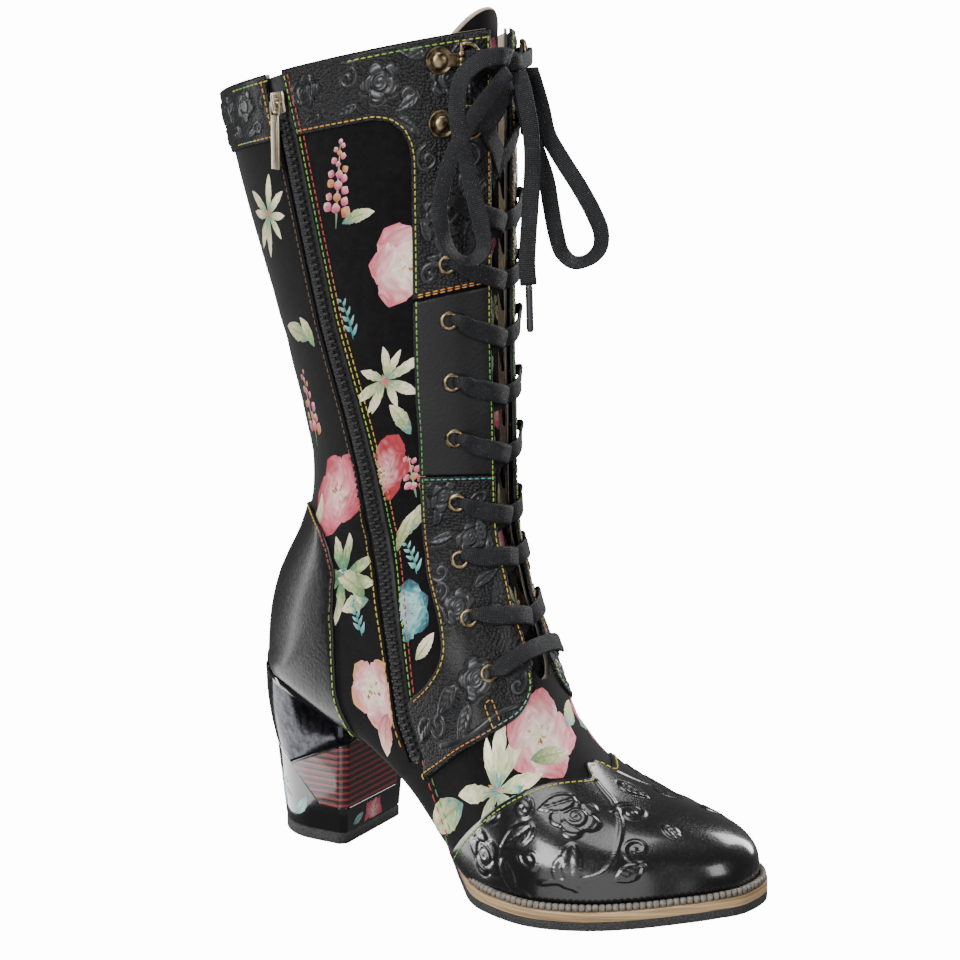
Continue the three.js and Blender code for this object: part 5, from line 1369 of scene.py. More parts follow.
def cap_tooling():
    """Figures of the toe cap, both sides of the middle. The tip stays smooth."""
    y = chart.y
    relief = Relief(-100, 0, 100, y(10.2))
    for side in (-1, 1):
        relief.rose(side * 30, y(6.9), 10.5, 15 * side)
        relief.rose(side * 66, y(8.6), 8.6, 40)
        relief.leaf(side * 22, y(7.2), 90 - 66 * side, 17, 8, 0.14 * side)
        relief.leaf(side * 40, y(6.6), 90 - 105 * side, 19, 8, -0.12 * side)
        relief.leaf(side * 42, y(7.6), 90 - 70 * side, 18, 8, 0.14 * side)
        relief.leaf(side * 60, y(8.0), 90 - 125 * side, 15, 7, -0.1 * side)
        relief.scroll(side * 15, y(6.0), 90 - 30 * side, 7.4, 1.4, side)
        relief.scroll(side * 52, y(6.4), 90 + 40 * side, 6.6, 1.3, -side)
        relief.scroll(side * 31, y(5.3), 90 - 140 * side, 6.4, 1.3, side)
        relief.scroll(side * 71, y(7.3), 90 - 60 * side, 5.8, 1.3, -side)
        vine = ((8, 7.2), (14, 6.5), (26, 5.9), (44, 5.7), (60, 6.9))
        relief.vine([(side * x, y(station)) for x, station in vine])
        relief.leaf(side * 14, y(5.2), 90 - 160 * side, 12, 6, 0.1 * side)
        relief.leaf(side * 48, y(8.6), 90 - 40 * side, 15, 7, 0.12 * side)
        relief.leaf(side * 24, y(8.0), 90 - 20 * side, 14, 6.5, -0.12 * side)
        relief.scroll(side * 40, y(8.1), 90 + 60 * side, 5.4, 1.25, side)
        relief.leaf(side * 36, y(5.0), 90 - 60 * side, 13, 6, 0.1 * side)
        relief.scroll(side * 54, y(7.3), 90 - 20 * side, 4.8, 1.2, -side)
        relief.leaf(side * 76, y(8.1), 90 - 100 * side, 12, 6, 0.1 * side)
    relief.leaf(0, y(6.9), 270, 15, 8, 0)
    relief.height *= smooth_step((relief.ys - y(4.2)) / 10)[:, None]
    return relief


facing_relief = facing_tooling()
cap_relief = cap_tooling()
print("tooling drawn", facing_relief.height.shape, cap_relief.height.shape)

# %% [markdown]
# Panels: an outline on the chart, filled with even points and triangulated, with a rolled edge.


# %%
def outline_gap(points, outline):
    """Unsigned distance of many points to a closed outline, in blocks."""
    a = outline
    run = np.roll(outline, -1, axis=0) - a
    size = np.maximum((run * run).sum(1), 1e-12)
    gaps = []
    for block in np.array_split(points, max(len(points) // 2000, 1)):
        away = block[:, None] - a[None]
        part = np.clip((away * run).sum(2) / size, 0, 1)
        gaps.append(np.sqrt(((away - part[..., None] * run) ** 2).sum(2).min(1)))
    return np.concatenate(gaps)


def inside_outline(points, outline):
    a = outline
    b = np.roll(outline, -1, axis=0)
    run = b - a
    safe = np.where(np.abs(run[:, 1]) < 1e-12, 1e-12, run[:, 1])
    found = []
    for block in np.array_split(points, max(len(points) // 2000, 1)):
        above = (a[:, 1] > block[:, None, 1]) != (b[:, 1] > block[:, None, 1])
        cross = block[:, None, 0] < a[:, 0] + (block[:, None, 1] - a[:, 1]) / safe * run[:, 0]
        found.append((above & cross).sum(1) % 2 == 1)
    return np.concatenate(found)


EDGE_ROLL = 0.75
EDGE_DROP = 0.55
RELIEF_DEPTH = 1.35
FULL_RELIEF = 0.55
SEAT = 0.05


def rolled_lift(gap):
    """Height of a leather at a distance from its rolled edge."""
    roll = np.clip(gap / EDGE_ROLL, 0, 1)
    return OVERLAY - EDGE_DROP * (1 - np.sqrt(np.clip(1 - (1 - roll) ** 2, 0, 1)))


def wound(outline):
    """The outline wound anticlockwise, and its inward directions."""
    area = np.sum(outline[:, 0] * np.roll(outline[:, 1], -1) - np.roll(outline[:, 0], -1) * outline[:, 1])
    if area < 0:
        outline = outline[::-1]
    tangent = unit(np.roll(outline, -1, axis=0) - np.roll(outline, 1, axis=0))
    return outline, np.stack([-tangent[:, 1], tangent[:, 0]], axis=1)


def fill_outline(outline, inward, spacing):
    """Flat points and faces of an outline: two rings along its edge, and even points inside."""
    rings = []
    for depth in (0.25, EDGE_ROLL):
        ring = outline + inward * depth
        rings.append(ring[(outline_gap(ring, outline) > 0.93 * depth) & inside_outline(ring, outline)])
    low, high = outline.min(0), outline.max(0)
    xs = np.arange(low[0], high[0], spacing)
    ys = np.arange(low[1], high[1], spacing * 0.87)
    x, y = np.meshgrid(xs, ys)
    x = x + (np.arange(len(ys)) % 2)[:, None] * spacing / 2
    grid = np.stack([x.ravel(), y.ravel()], axis=1)
    grid = grid[inside_outline(grid, outline)]
    grid = grid[outline_gap(grid, outline) > EDGE_ROLL + 0.35 * spacing]
    flat = np.vstack([outline, *rings, grid])
    edges = [(k, (k + 1) % len(outline)) for k in range(len(outline))]
    spots, _, faces, *_ = geometry.delaunay_2d_cdt([Vector(p) for p in flat.tolist()], edges, [], 1, 1e-5)
    spots = np.array([tuple(p) for p in spots])
    corner = spots[faces[len(faces) // 2]]
    if np.cross(corner[1] - corner[0], corner[2] - corner[0]) < 0:
        return spots, [face[::-1] for face in faces]
    return spots, [list(face) for face in faces]


def face_edges(faces):
    return [pair for face in faces for pair in zip(face, face[1:] + face[:1])]


def border_of(faces):
    """Edges that belong to one face only."""
    uses = {}
    for pair in face_edges(faces):
        key = tuple(sorted(pair))
        uses[key] = uses.get(key, 0) + 1
    return [pair for pair in face_edges(faces) if uses[tuple(sorted(pair))] == 1]


def make_panel(name, outline, spacing, material, slot, node, relief=None, mirror=False):
    """A leather laid on the skin. The outline is a closed run of chart places."""
    outline = resample(np.asarray(outline, float), min(spacing, 0.8), closed=True)
    outline, inward = wound(outline)
    spots, faces = fill_outline(outline, inward, spacing)
    gap = outline_gap(spots, outline)
    lift = rolled_lift(gap)
    raised = np.zeros(len(spots))
    if relief is not None:
        ease = np.clip((gap - 1.6) / 2.2, 0, 1)
        across = -np.abs(spots[:, 0]) if mirror else spots[:, 0]
        figure = relief.read(across, spots[:, 1]) * RELIEF_DEPTH
        lift = lift + figure * ease
        raised = np.clip(figure * ease / FULL_RELIEF, 0, 1)
    points = on_chart(spots[:, 0], spots[:, 1], lift)
    border = border_of(faces)
    used = sorted({k for pair in border for k in pair})
    foot = {k: len(points) + n for n, k in enumerate(used)}
    skirt = on_chart(spots[used, 0], spots[used, 1], SEAT)
    faces += [[b, a, foot[a], foot[b]] for a, b in border]
    raised = np.concatenate([raised, np.zeros(len(used))])
    made = add_mesh(name, np.vstack([points, skirt]), faces, material, slot, attributes={"raised": raised})
    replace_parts(made, node)
    return made


def share_line(pairs, side):
    """Chart line through (station, share) pairs."""
    return [chart.spot(side * share * skin.girth_at(station, side), station) for station, share in pairs]


ORANGE_SEAM = 25.4
CYAN_FRONT = 20.53
CYAN_BACK = 21.70
CUFF_SEAM = 27.93
EYESTAY_WIDTH = 40
FRONT_EDGE = 7
ZIP_GAP = 5.4
CAP_SCALE = 20
CAP_EDGE_SHARES = (0, 0.04, 0.10, 0.133, 0.287, 0.429, 0.586, 0.773, 0.942, 1.0)
CAP_EDGE_STATIONS = (7.75, 7.80, 7.45, 7.45, 7.94, 8.40, 8.95, 9.45, 9.69, 9.75)


def cap_edge_line():
    """Shares and stations of the toe cap's edge, from one feather line to the other."""
    half = list(zip(CAP_EDGE_SHARES, CAP_EDGE_STATIONS))
    knots = [(-share * CAP_SCALE, station) for share, station in half[::-1]]
    knots += [(share * CAP_SCALE, station) for share, station in half[1:]]
    line = smooth_path(knots, 0.2)
    return line[:, 0] / CAP_SCALE, line[:, 1]


CAP_SHARES, CAP_STATIONS = cap_edge_line()


def make_toe_cap():
    """One grid over the toe, dense enough for its tooling, with three fine rows at the rolled edge."""
    shares = np.linspace(-1, 1, 321)
    edge = np.interp(shares, CAP_SHARES, CAP_STATIONS)
    depth = np.concatenate([np.linspace(0, 1, 191)[:-1] * 0.9935, [0.9965, 0.9985, 1.0]])
    station = depth[:, None] * edge[None, :]
    share = np.repeat(shares[None, :], len(depth), axis=0)
    flat = chart.flat(station, share)
    gap = chart.y(edge)[None, :] - flat[..., 1]
    figure = cap_relief.read(flat[..., 0], flat[..., 1]) * np.clip((gap - 1.8) / 2.4, 0, 1)
    figure = figure * np.clip((1 - np.abs(share)) / 0.1, 0, 1)
    points = on_skin(station, share, rolled_lift(gap) + figure * 0.9)
    points = np.vstack([points.reshape(-1, 3), on_skin(edge, shares, SEAT)])
    raised = np.concatenate([np.clip(figure / FULL_RELIEF, 0, 1).ravel(), np.zeros(len(shares))])
    points, faces, extra = weld(points, grid_faces(len(depth) + 1, len(shares)), {"raised": raised})
    made = add_mesh("toe_cap_leather", points, faces, cap_leather, "glossy", attributes=extra)
    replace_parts(made, "toe_cap")


def cap_material():
    """The cap is polished: the raised figures get painted sheen, the furrows painted shade, and the tip is
    smooth.
    """
    shader = Shader("cap_leather", Roughness=0.24, Specular_IOR_Level=0.6, Coat_Roughness=0.12)
    raised = shader.attribute("raised")
    pores = shader.noise(2300, 4, 0.6)
    folds = shader.noise(80, 4, 0.5)
    cells = shader.cells(900, "SMOOTH_F1", 1)
    # random folds, and painted sheen on the raised figures against painted shade in the furrows
    color = shader.mix(folds * 0.6 + raised * 0.3, rgb("060607"), rgb("131316"))
    scuff = shader.noise(120, 6, 0.72, place=shader.stretched(1, 3, 1)).step(0.67, 0.78)
    color = shader.mix(scuff * 0.2, color, rgb("55555a"))
    shader.set(Base_Color=color, Roughness=0.2 + cells * 0.1 + scuff * 0.25)
    shader.set(Coat_Weight=0.75 - scuff * 0.4)
    shader.set(Normal=shader.bump(cells * 0.4 + pores * 0.25 + folds * 1.2, 0.25, 0.0003))
    return shader.material


cap_leather = cap_material()
make_toe_cap()

COUNTER_SCALE = 12
COUNTER_STATIONS = (12.1, 12.6, 13.51, 15.59, 17.5, 19.35, 20.9, 21.75, 22.36, 22.6)
COUNTER_SHARES = (0.985, 0.927, 0.838, 0.638, 0.56, 0.532, 0.606, 0.70, 0.81, 1.0)
counter_knots = [(t, share * COUNTER_SCALE) for t, share in zip(COUNTER_STATIONS, COUNTER_SHARES)]
counter_curve = smooth_path(counter_knots, 0.12) / [1, COUNTER_SCALE]


def make_counter():
    """The glossy counter, one grid of both halves that meet behind the heel."""
    build = Build()
    stations = counter_curve[:, 0]
    edge = np.minimum(counter_curve[:, 1], 1)
    fraction = np.concatenate([[0, 0.004, 0.012], np.linspace(0.03, 1, 70)])
    share = edge[:, None] + (1 - edge[:, None]) * fraction[None, :]
    for side in (-1, 1):
        gap = (share - edge[:, None]) * skin.girth_at(stations, side)[:, None]
        points = on_skin(stations[:, None], side * share, rolled_lift(gap))
        rim = on_skin(stations, side * edge, SEAT)[:, None]
        points = np.concatenate([rim, points], axis=1)
        faces = grid_faces(*points.shape[:2])
        if side < 0:
            faces = [face[::-1] for face in faces]
        build.add(points.reshape(-1, 3), faces)
    points, faces, _ = weld(np.concatenate(build.points), build.faces)
    made = add_mesh("counter_leather", points, faces, glossy_leather, "glossy")
    soften_normals(made, 40)
    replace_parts(made, "counter")


make_counter()

SEAM_GAP = 0.02
STRAP_LOW = (
    (10.91, 0.084), (10.55, 0.10), (10.35, 0.128), (10.2, 0.17), (10.13, 0.224), (10.3, 0.38), (10.55, 0.546),
    (10.83, 0.817),
)
FLANGE_TOP = ((66, 12.12), (54, 12.19), (46, 12.41), (41.6, 12.8), (40, 13.4))
CUFF_CORNER = ((41, 27.5), (43.4, 27.7), (48.5, 27.86), (55, CUFF_SEAM))
PANEL_TOP = COLLAR - 0.02


def lower_outline(side):
    """The lower facing with its strap round the instep, up to the seam with the middle facing."""
    strap = smooth_path(share_line(STRAP_LOW, side), 1.0)
    corner = [chart.spot(side * zip_reach(12.05, side, ZIP_GAP), 12.06)]
    corner += [chart.spot(side * d, t) for d, t in FLANGE_TOP]
    foot = side * zip_reach(11.12, side, ZIP_GAP)
    outline = [tuple(p) for p in strap]
    if abs(foot) > abs(strap[-1][0]) - 8:
        outline.append(chart.spot(foot, 11.05))
    outline += [chart.spot(side * zip_reach(t, side, ZIP_GAP), t) for t in (11.4, 11.75)]
    outline += [tuple(p) for p in smooth_path(corner, 1.0)]
    outline += [chart.spot(side * EYESTAY_WIDTH, t) for t in np.linspace(13.8, CYAN_BACK - SEAM_GAP, 30)]
    outline += [chart.spot(side * FRONT_EDGE, t) for t in np.linspace(CYAN_FRONT - SEAM_GAP, 11.3, 40)]
    outline.append(chart.spot(side * (FRONT_EDGE - 1.2), 11.1))
    return outline


def middle_outline(side):
    """The smooth facing between the two seams. Its lower seam climbs towards the back."""
    high = ORANGE_SEAM - SEAM_GAP
    low_front, low_back = CYAN_FRONT + SEAM_GAP, CYAN_BACK + SEAM_GAP
    outline = [chart.spot(side * FRONT_EDGE, low_front)]
    outline += [chart.spot(side * EYESTAY_WIDTH, t) for t in np.linspace(low_back, high, 30)]
    outline += [chart.spot(side * FRONT_EDGE, t) for t in np.linspace(high, low_front, 30)[:-1]]
    return outline


def upper_outline(side):
    """The upper facing, which widens into the cuff above."""
    seam = ORANGE_SEAM + SEAM_GAP
    outline = [chart.spot(side * d, seam) for d in (FRONT_EDGE, EYESTAY_WIDTH)]
    outline += [chart.spot(side * EYESTAY_WIDTH, t) for t in np.linspace(25.6, 27.3, 16)]
    outline += [chart.spot(side * d, t) for d, t in CUFF_CORNER]
    outline += [chart.spot(side * zip_reach(t, side, ZIP_GAP), t) for t in (CUFF_SEAM, 28.2, 28.6, PANEL_TOP)]
    outline += [chart.spot(side * d, PANEL_TOP) for d in np.linspace(60, FRONT_EDGE, 24)]
    outline += [chart.spot(side * FRONT_EDGE, t) for t in np.linspace(PANEL_TOP - 0.1, ORANGE_SEAM + 0.1, 30)]
    return outline


def cuff_outline():
    """The cuff behind the zip, round the back to the far facing."""
    stations = np.linspace(CUFF_SEAM, PANEL_TOP, 8)
    near = [chart.spot(zip_x(t) - 5.2, t) for t in stations]
    far = []
    for t in stations[::-1]:
        far.append(chart.spot(zip_reach(t, 1, 5.0) - 2 * float(skin.girth_at(t, -1)), t))
    low = [chart.spot(x, CUFF_SEAM) for x in np.linspace(far[-1][0], near[0][0], 60)[1:-1]]
    high = [chart.spot(x, PANEL_TOP) for x in np.linspace(near[-1][0], far[0][0], 60)[1:-1]]
    return near + high + far + low


def make_facings(side, name, tooled_step, plain_step):
    for part, outline, step, finish, relief in (
        ("lower", lower_outline(side), tooled_step, (tooled_leather, "embossed"), facing_relief),
        ("middle", middle_outline(side), plain_step, (plain_leather, "plain"), None),
        ("upper", upper_outline(side), tooled_step, (tooled_leather, "embossed"), facing_relief),
    ):
        node = f"eyestay_{part}_{name}"
        make_panel(f"{part}_facing_{name}", outline, step, *finish, node, relief, mirror=True)


make_facings(-1, "medial", 0.5, 1.0)
make_facings(1, "lateral", 0.9, 1.6)
make_panel("back_cuff", cuff_outline(), 0.7, tooled_leather, "embossed", "cuff_back", facing_relief)
print("panels laid")

# %% [markdown]
# Soles: the plates share one outline. The forefoot edge stands proud of the foot, and at the waist it runs
# in to the feather line.

# %%
SOLE_OVERHANG = 4.8
CLEARANCE = 0.3
MIDSOLE = 4.0
MIDSOLE_TAIL = 1.2
OUTSOLE = 3.6
WAIST_SOLE = 2.2
LAYER_END = 0.485 * FOOT_LENGTH
LAYER_FULL = 0.56 * FOOT_LENGTH
INSOLE = 2.5
INSOLE_GAP = 1.2
WAIST_FROM = 8.6
WAIST_SPAN = 2.0


def plan_point(station, side, wide):
    """Plan place (x, distance along the foot) of the foot's widest line, or of its feather line."""
    row = blend_rows([station])[0]
    half = max(row[5] if side < 0 else row[6], 0)
    low = min(max(row[7] if side < 0 else row[8], 0), half)
    along = row[0] * (1 - row[9]) + row[2] * row[9] if wide else row[2]
    return np.array([row[4] + side * (half if wide else low), along])


def plan_offset(station, side, wide, distance):
    """The same place moved outward by a distance."""
    ahead = plan_point(min(station + 0.1, FEATHER_END), side, wide)
    behind = plan_point(0.1, -side, wide) if station < 0.1 else plan_point(station - 0.1, side, wide)
    run = (ahead - behind) / np.linalg.norm(ahead - behind)
    return plan_point(station, side, wide) + np.array([-run[1] * side, run[0] * side]) * distance


def sole_edge(station, side, extra=0.0):
    """The plates' edge: proud of the foot in front, flush with the feather line at the waist."""
    inward = smooth_step((station - WAIST_FROM) / WAIST_SPAN)
    proud = plan_offset(station, side, True, SOLE_OVERHANG + extra)
    flush = plan_offset(station, side, False, extra - CLEARANCE)
    return proud * (1 - inward) + flush * inward


def sole_lines(edge):
    """Left and right edge of an outline, as (distance along, x) rows from the seat to the toe."""
    lines = []
    for side in (-1, 1):
        table = []
        for t in np.linspace(FEATHER_END, 0, 150):
            x, s = edge(t, side)
            if not table or s > table[-1][0] + 0.01:
                table.append((s, x))
        lines.append(np.array(table))
    return lines


feather_rows = blend_rows(np.linspace(FEATHER_END, 0, 181))


def feather_height(s):
    return np.interp(s, feather_rows[:, 2], feather_rows[:, 3])


def fullness(s):
    return np.clip((s - LAYER_END) / (LAYER_FULL - LAYER_END), 0, 1)


def midsole_top(s):
    return feather_height(s) - CLEARANCE


def midsole_bottom(s):
    return midsole_top(s) - (MIDSOLE_TAIL + (MIDSOLE - MIDSOLE_TAIL) * fullness(s))


def outsole_top(s):
    return np.where(s >= LAYER_END - 0.01, midsole_bottom(s) - 0.05, feather_height(s) - CLEARANCE)


def outsole_bottom(s):
    thick = WAIST_SOLE + (OUTSOLE - WAIST_SOLE) * fullness(s)
    return np.maximum(outsole_top(s) - thick, 0)


def plate_ring(left, right, low, high, roll, jag):
    """Cross-section of a plate with four rolled edges, from its top left corner round."""
    third = roll * 0.3
    ring = [(left + roll, high), (left + third, high - third), (left + jag[0], high - roll)]
    ring += [(left + jag[1], low + roll), (left + third, low + third), (left + roll, low)]
    ring += [(right - roll, low), (right - third, low + third), (right + jag[2], low + roll)]
    ring += [(right + jag[3], high - roll), (right - third, high - third), (right - roll, high)]
    return ring


def sole_plate(name, lines, span, heights, finish, node, roll, wobble=0.0):
    """A plate with rolled edges between two heights, ring by ring along the foot."""
    first, last = span
    top, bottom = heights
    count = max(int((last - first) / PLATE_STEP), 8)
    rings = []
    dice = np.random.default_rng(7)
    for s in first + (last - first) * np.sin(np.linspace(0, 1, count) * math.pi / 2):
        left, right = (np.interp(s, line[:, 0], line[:, 1]) for line in lines)
        if right - left < NARROWEST:
            middle = (left + right) / 2
            left, right = middle - NARROWEST / 2, middle + NARROWEST / 2
        high, low = float(top(s)), float(bottom(s))
        jag = dice.normal(0, wobble, 4) if wobble else np.zeros(4)
        ring = plate_ring(left, right, low, high, min(roll, (high - low) * 0.4, (right - left) * 0.3), jag)
        rings.append([(x, ORIGIN_INSET - s, z) for x, z in ring])
    points = np.array(rings).reshape(-1, 3)
    made = add_mesh(name, points, grid_faces(count, 12, closed=True, capped=True), *finish)
    made.data.set_sharp_from_angle(angle=math.radians(50))
    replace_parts(made, node)


def insole_edge(station, side):
    return plan_offset(station, side, False, -(WALL + INSOLE_GAP))


def insole_top(s):
    return feather_height(s) + INSOLE


PLATE_STEP = 1.5
NARROWEST = 0.4
edge_lines = sole_lines(sole_edge)
insole_lines = sole_lines(insole_edge)
TOE_TIP = float(edge_lines[0][-1, 0])
SEAT_BACK = float(edge_lines[0][0, 0])
INSOLE_SPAN = (float(insole_lines[0][0, 0]), float(insole_lines[0][-1, 0]) - 0.1)
sole_plate(
    "midsole_board", edge_lines, (LAYER_END, TOE_TIP - 0.02), (midsole_top, midsole_bottom),
    (tan_board, "tan"), "midsole", 0.45,
)
sole_plate(
    "outsole_tread", edge_lines, (SEAT_BACK, TOE_TIP - 0.02), (outsole_top, outsole_bottom),
    (rubber, "rubber"), "outsole", 0.35, wobble=0.10,
)
sole_plate(
    "insole_sock", insole_lines, INSOLE_SPAN, (insole_top, feather_height), (lining, "lining"), "insole", 0.4,
)

BEAD_PITCH = 2.7
BEAD_END = 9.3
BEAD_HEIGHT = 2.8
RINGS_PER_TOOTH = 6


def make_bead():
    """The welt bead: a ribbed rand on the midsole's ledge, with a tooth every few millimetres."""
    path = []
    for side in (-1, 1):
        stations = np.linspace(0, BEAD_END, 150)
        for t in (stations[::-1] if side < 0 else stations[1:]):
            inner = plan_offset(t, side, True, OVERLAY + CLEARANCE)
            path.append(np.concatenate([inner, sole_edge(t, side, -0.5)]))
    path = np.array(path)
    run = run_along(path[:, 2:])
    teeth = int(round(run[-1] / BEAD_PITCH))
    at = np.linspace(0, run[-1], teeth * RINGS_PER_TOOTH + 1)
    line = np.stack([np.interp(at, run, path[:, k]) for k in range(4)], axis=1)
    phase = (np.arange(len(at)) % RINGS_PER_TOOTH) / RINGS_PER_TOOTH
    valley = 1 - np.clip(np.sin(phase * math.pi) * 1.5, 0, 1) ** 0.8
    rings = []
    for (ix, iy, ox, oy), v in zip(line, valley):
        out = unit([ox - ix, oy - iy])
        ox, oy = np.array([ox, oy]) - out * 0.75 * v
        base = float(feather_height(iy))
        high = base + BEAD_HEIGHT - 0.55 * v
        mid = np.array([ix, iy]) * 0.35 + np.array([ox, oy]) * 0.65
        ring = [(ix, iy, high - 0.5), (mid[0], mid[1], high)]
        ring += [(ox - out[0] * 0.35, oy - out[1] * 0.35, high - 0.35), (ox, oy, high - 1.1)]
        ring += [(ox, oy, base + 0.1), (ix, iy, base + 0.1)]
        rings.append([(x, ORIGIN_INSET - s, z) for x, s, z in ring])
    points = np.array(rings).reshape(-1, 3)
    faces = [face[::-1] for face in grid_faces(len(rings), 6, closed=True, capped=True)]
    valleys = {"valley": np.repeat(valley, 6)}
    made = add_mesh("welt_bead_ribs", points, faces, bead_finish, "bead", attributes=valleys)
    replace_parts(made, "welt_bead")


make_bead()
print("soles built, toe tip", TOE_TIP)

# %% [markdown]
# The heel: a lacquered block with a rounded back and crisp front corners, a cup rim under the seat, a
# striped panel on its zip side and a rubber top piece on the floor.

# %%
HEEL_FOOT = {"width": 48, "back": 6, "length": 41}
HEEL_TOP = {"width": 60, "back": -2.8, "length": 55}
HEEL_ROOF = HEEL_HEIGHT + 12
HEEL_FLOOR = 5.3
HEEL_TURN = 0.105
HEEL_CORNER = 2.6
SHOULDER = 5.2


def heel_ring(width, back, length):
    """Plan of the heel: breast corners are cut by a small bevel, the back is an arc."""
    corner = HEEL_CORNER
    half = width / 2
    centre = back + half
    front = back + length
    ring = [(-half, front - corner), (-half + corner, front), (half - corner, front), (half, front - corner)]
    side_run = np.linspace(front - corner, centre, 8)[1:-1]
    ring += [(half, s) for s in side_run]
    ring += [(half * math.cos(a), centre - half * math.sin(a)) for a in np.linspace(0, math.pi, 41)]
    ring += [(-half, s) for s in side_run[::-1]]
    ring = np.array(ring)
    ahead = ring[:, 1] - ORIGIN_INSET
    x = ring[:, 0] * math.cos(HEEL_TURN) + ahead * math.sin(HEEL_TURN)
    s = ORIGIN_INSET + ahead * math.cos(HEEL_TURN) - ring[:, 0] * math.sin(HEEL_TURN)
    return np.stack([x, ORIGIN_INSET - s], axis=1)


heel_low = heel_ring(**HEEL_FOOT)
heel_high = heel_ring(**HEEL_TOP)


def heel_plan(ring, column):
    """Places on a closed plan ring at any column, past its ends too."""
    count = len(ring)
    return np.stack([np.interp(column, np.arange(count), ring[:, k], period=count) for k in (0, 1)], axis=-1)


def heel_place(column, height, lift=0.0):
    """A place on the heel's wall: a plan point, blended by height, moved out by a lift."""
    f = ((np.asarray(height, float) - HEEL_FLOOR) / (HEEL_ROOF - HEEL_FLOOR))[..., None]
    plan = heel_plan(heel_low, column) * (1 - f) + heel_plan(heel_high, column) * f
    run = unit(heel_plan(heel_low, column + 0.5) - heel_plan(heel_low, column - 0.5))
    out = np.stack([run[..., 1], -run[..., 0]], axis=-1)
    plan = plan + out * np.asarray(lift, float)[..., None]
    return np.concatenate([plan, np.asarray(height, float)[..., None]], axis=-1)


def heel_top_height(columns):
    """Height where each column of the wall meets the sole, closed in on step by step."""
    height = np.full(len(columns), 70.0)
    for _ in range(12):
        place = heel_place(columns, height)
        s = ORIGIN_INSET - place[:, 1]
        under = np.where(s > SEAT_BACK, outsole_bottom(s) - CLEARANCE, feather_height(s) - 0.45)
        height = 0.5 * height + 0.5 * under
    return height


def make_heel():
    """The lacquered block, whose shoulder and lip hold the seat."""
    count = len(heel_low)
    top = heel_top_height(np.arange(count, dtype=float))
    reach = top - SHOULDER - HEEL_FLOOR
    steps = [(HEEL_FLOOR, -0.6), (HEEL_FLOOR + reach * 0.006, -0.15)]
    steps += [(HEEL_FLOOR + reach * f, 0.0) for f in (0.02, 0.2, 0.4, 0.6, 0.8)]
    steps += [(top - SHOULDER, 0.0), (top - 4.7, 0.1), (top - 4.3, 0.75), (top - 3.9, 1.0)]
    steps += [(top + 1.3, 1.0), (top + 1.75, 0.75), (top + 1.85, 0.2), (top + 0.6, -0.2), (top, -1.5)]
    columns = np.arange(count, dtype=float)
    rows = [heel_place(columns, np.zeros(count) + height, np.full(count, lift)) for height, lift in steps]
    faces = grid_faces(len(rows), count, closed=True)
    faces.append(list(range(count))[::-1])
    made = add_mesh("heel_lacquer", np.array(rows).reshape(-1, 3), faces, patent, "heel")
    made.data.set_sharp_from_angle(angle=math.radians(35))
    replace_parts(made, "heel_block")


def make_heel_tip():
    """The rubber top piece on the floor."""
    count = len(heel_low)
    out = unit(heel_low - heel_low.mean(0))
    rows = []
    for height, lift in ((0, -0.5), (0.5, 0), (4.6, 0), (5.0, -0.25), (5.15, -0.8)):
        rows.append(np.column_stack([heel_low + out * lift, np.full(count, float(height))]))
    faces = grid_faces(len(rows), count, closed=True, capped=True)
    made = add_mesh("heel_tip", np.array(rows).reshape(-1, 3), faces, rubber, "rubber")
    made.data.set_sharp_from_angle(angle=math.radians(50))
    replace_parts(made, "heel_top_piece")


make_heel()
make_heel_tip()

heel_middle = heel_low * 0.6 + heel_high * 0.4
heel_steps = np.linalg.norm(np.roll(heel_middle, -1, axis=0) - heel_middle, axis=1)
heel_run = np.concatenate([[0], np.cumsum(heel_steps)])


def heel_column(distance):
    """Column of a distance round the heel from its near front corner: plus runs back, minus across."""
    return np.interp((-np.asarray(distance, float)) % heel_run[-1], heel_run, np.arange(len(heel_run)))


def on_heel(distance, height, lift=0.0):
    shape = np.broadcast(distance, height, lift).shape
    distance, height, lift = (np.broadcast_to(value, shape) for value in (distance, height, lift))
    return heel_place(heel_column(distance), height, lift)


PANEL = ((26, 33.5), (11.5, 17.5), (-1.5, 16.5), (-46, 16), (-46.5, 22), (-11, 48.5), (1, 45))
CUP_EDGE = (
    (-54, 44), (-46.5, 24), (-11, 49.3), (1, 45.8), (26, 34.3), (36, 41), (46, 48), (54, 51), (70, 50),
    (90, 47), (104, 46), (112, 44.5),
)


def make_cup():
    """The polished cup round the heel's upper part, bulging between its rim and the seat."""
    edge = np.array(CUP_EDGE, float)
    distance = np.linspace(edge[0, 0], edge[-1, 0], 190)
    low = np.interp(distance, edge[:, 0], edge[:, 1])
    top = heel_top_height(heel_column(distance)) - 1.2
    rise = np.maximum(top, low + 1.0) - low
    rows = [on_heel(distance, low, SEAT)]
    for f in np.linspace(0, 1, 26):
        bulge = 0.45 + 1.25 * math.sin(math.pi * min(f * 0.86 + 0.02, 1)) ** 0.75
        rows.append(on_heel(distance, low + rise * f, bulge))
    add_mesh(
        "heel_cup", np.array(rows).reshape(-1, 3), grid_faces(len(rows), len(distance)), cup_metal, "heel",
    )
    rim = Build()
    line = smooth_path(edge[4:], 1.0)
    tube(rim, on_heel(line[:, 0], line[:, 1], 0.3), 0.42, 10)
    rim.make("heel_cup_rim", rim_metal, "heel")


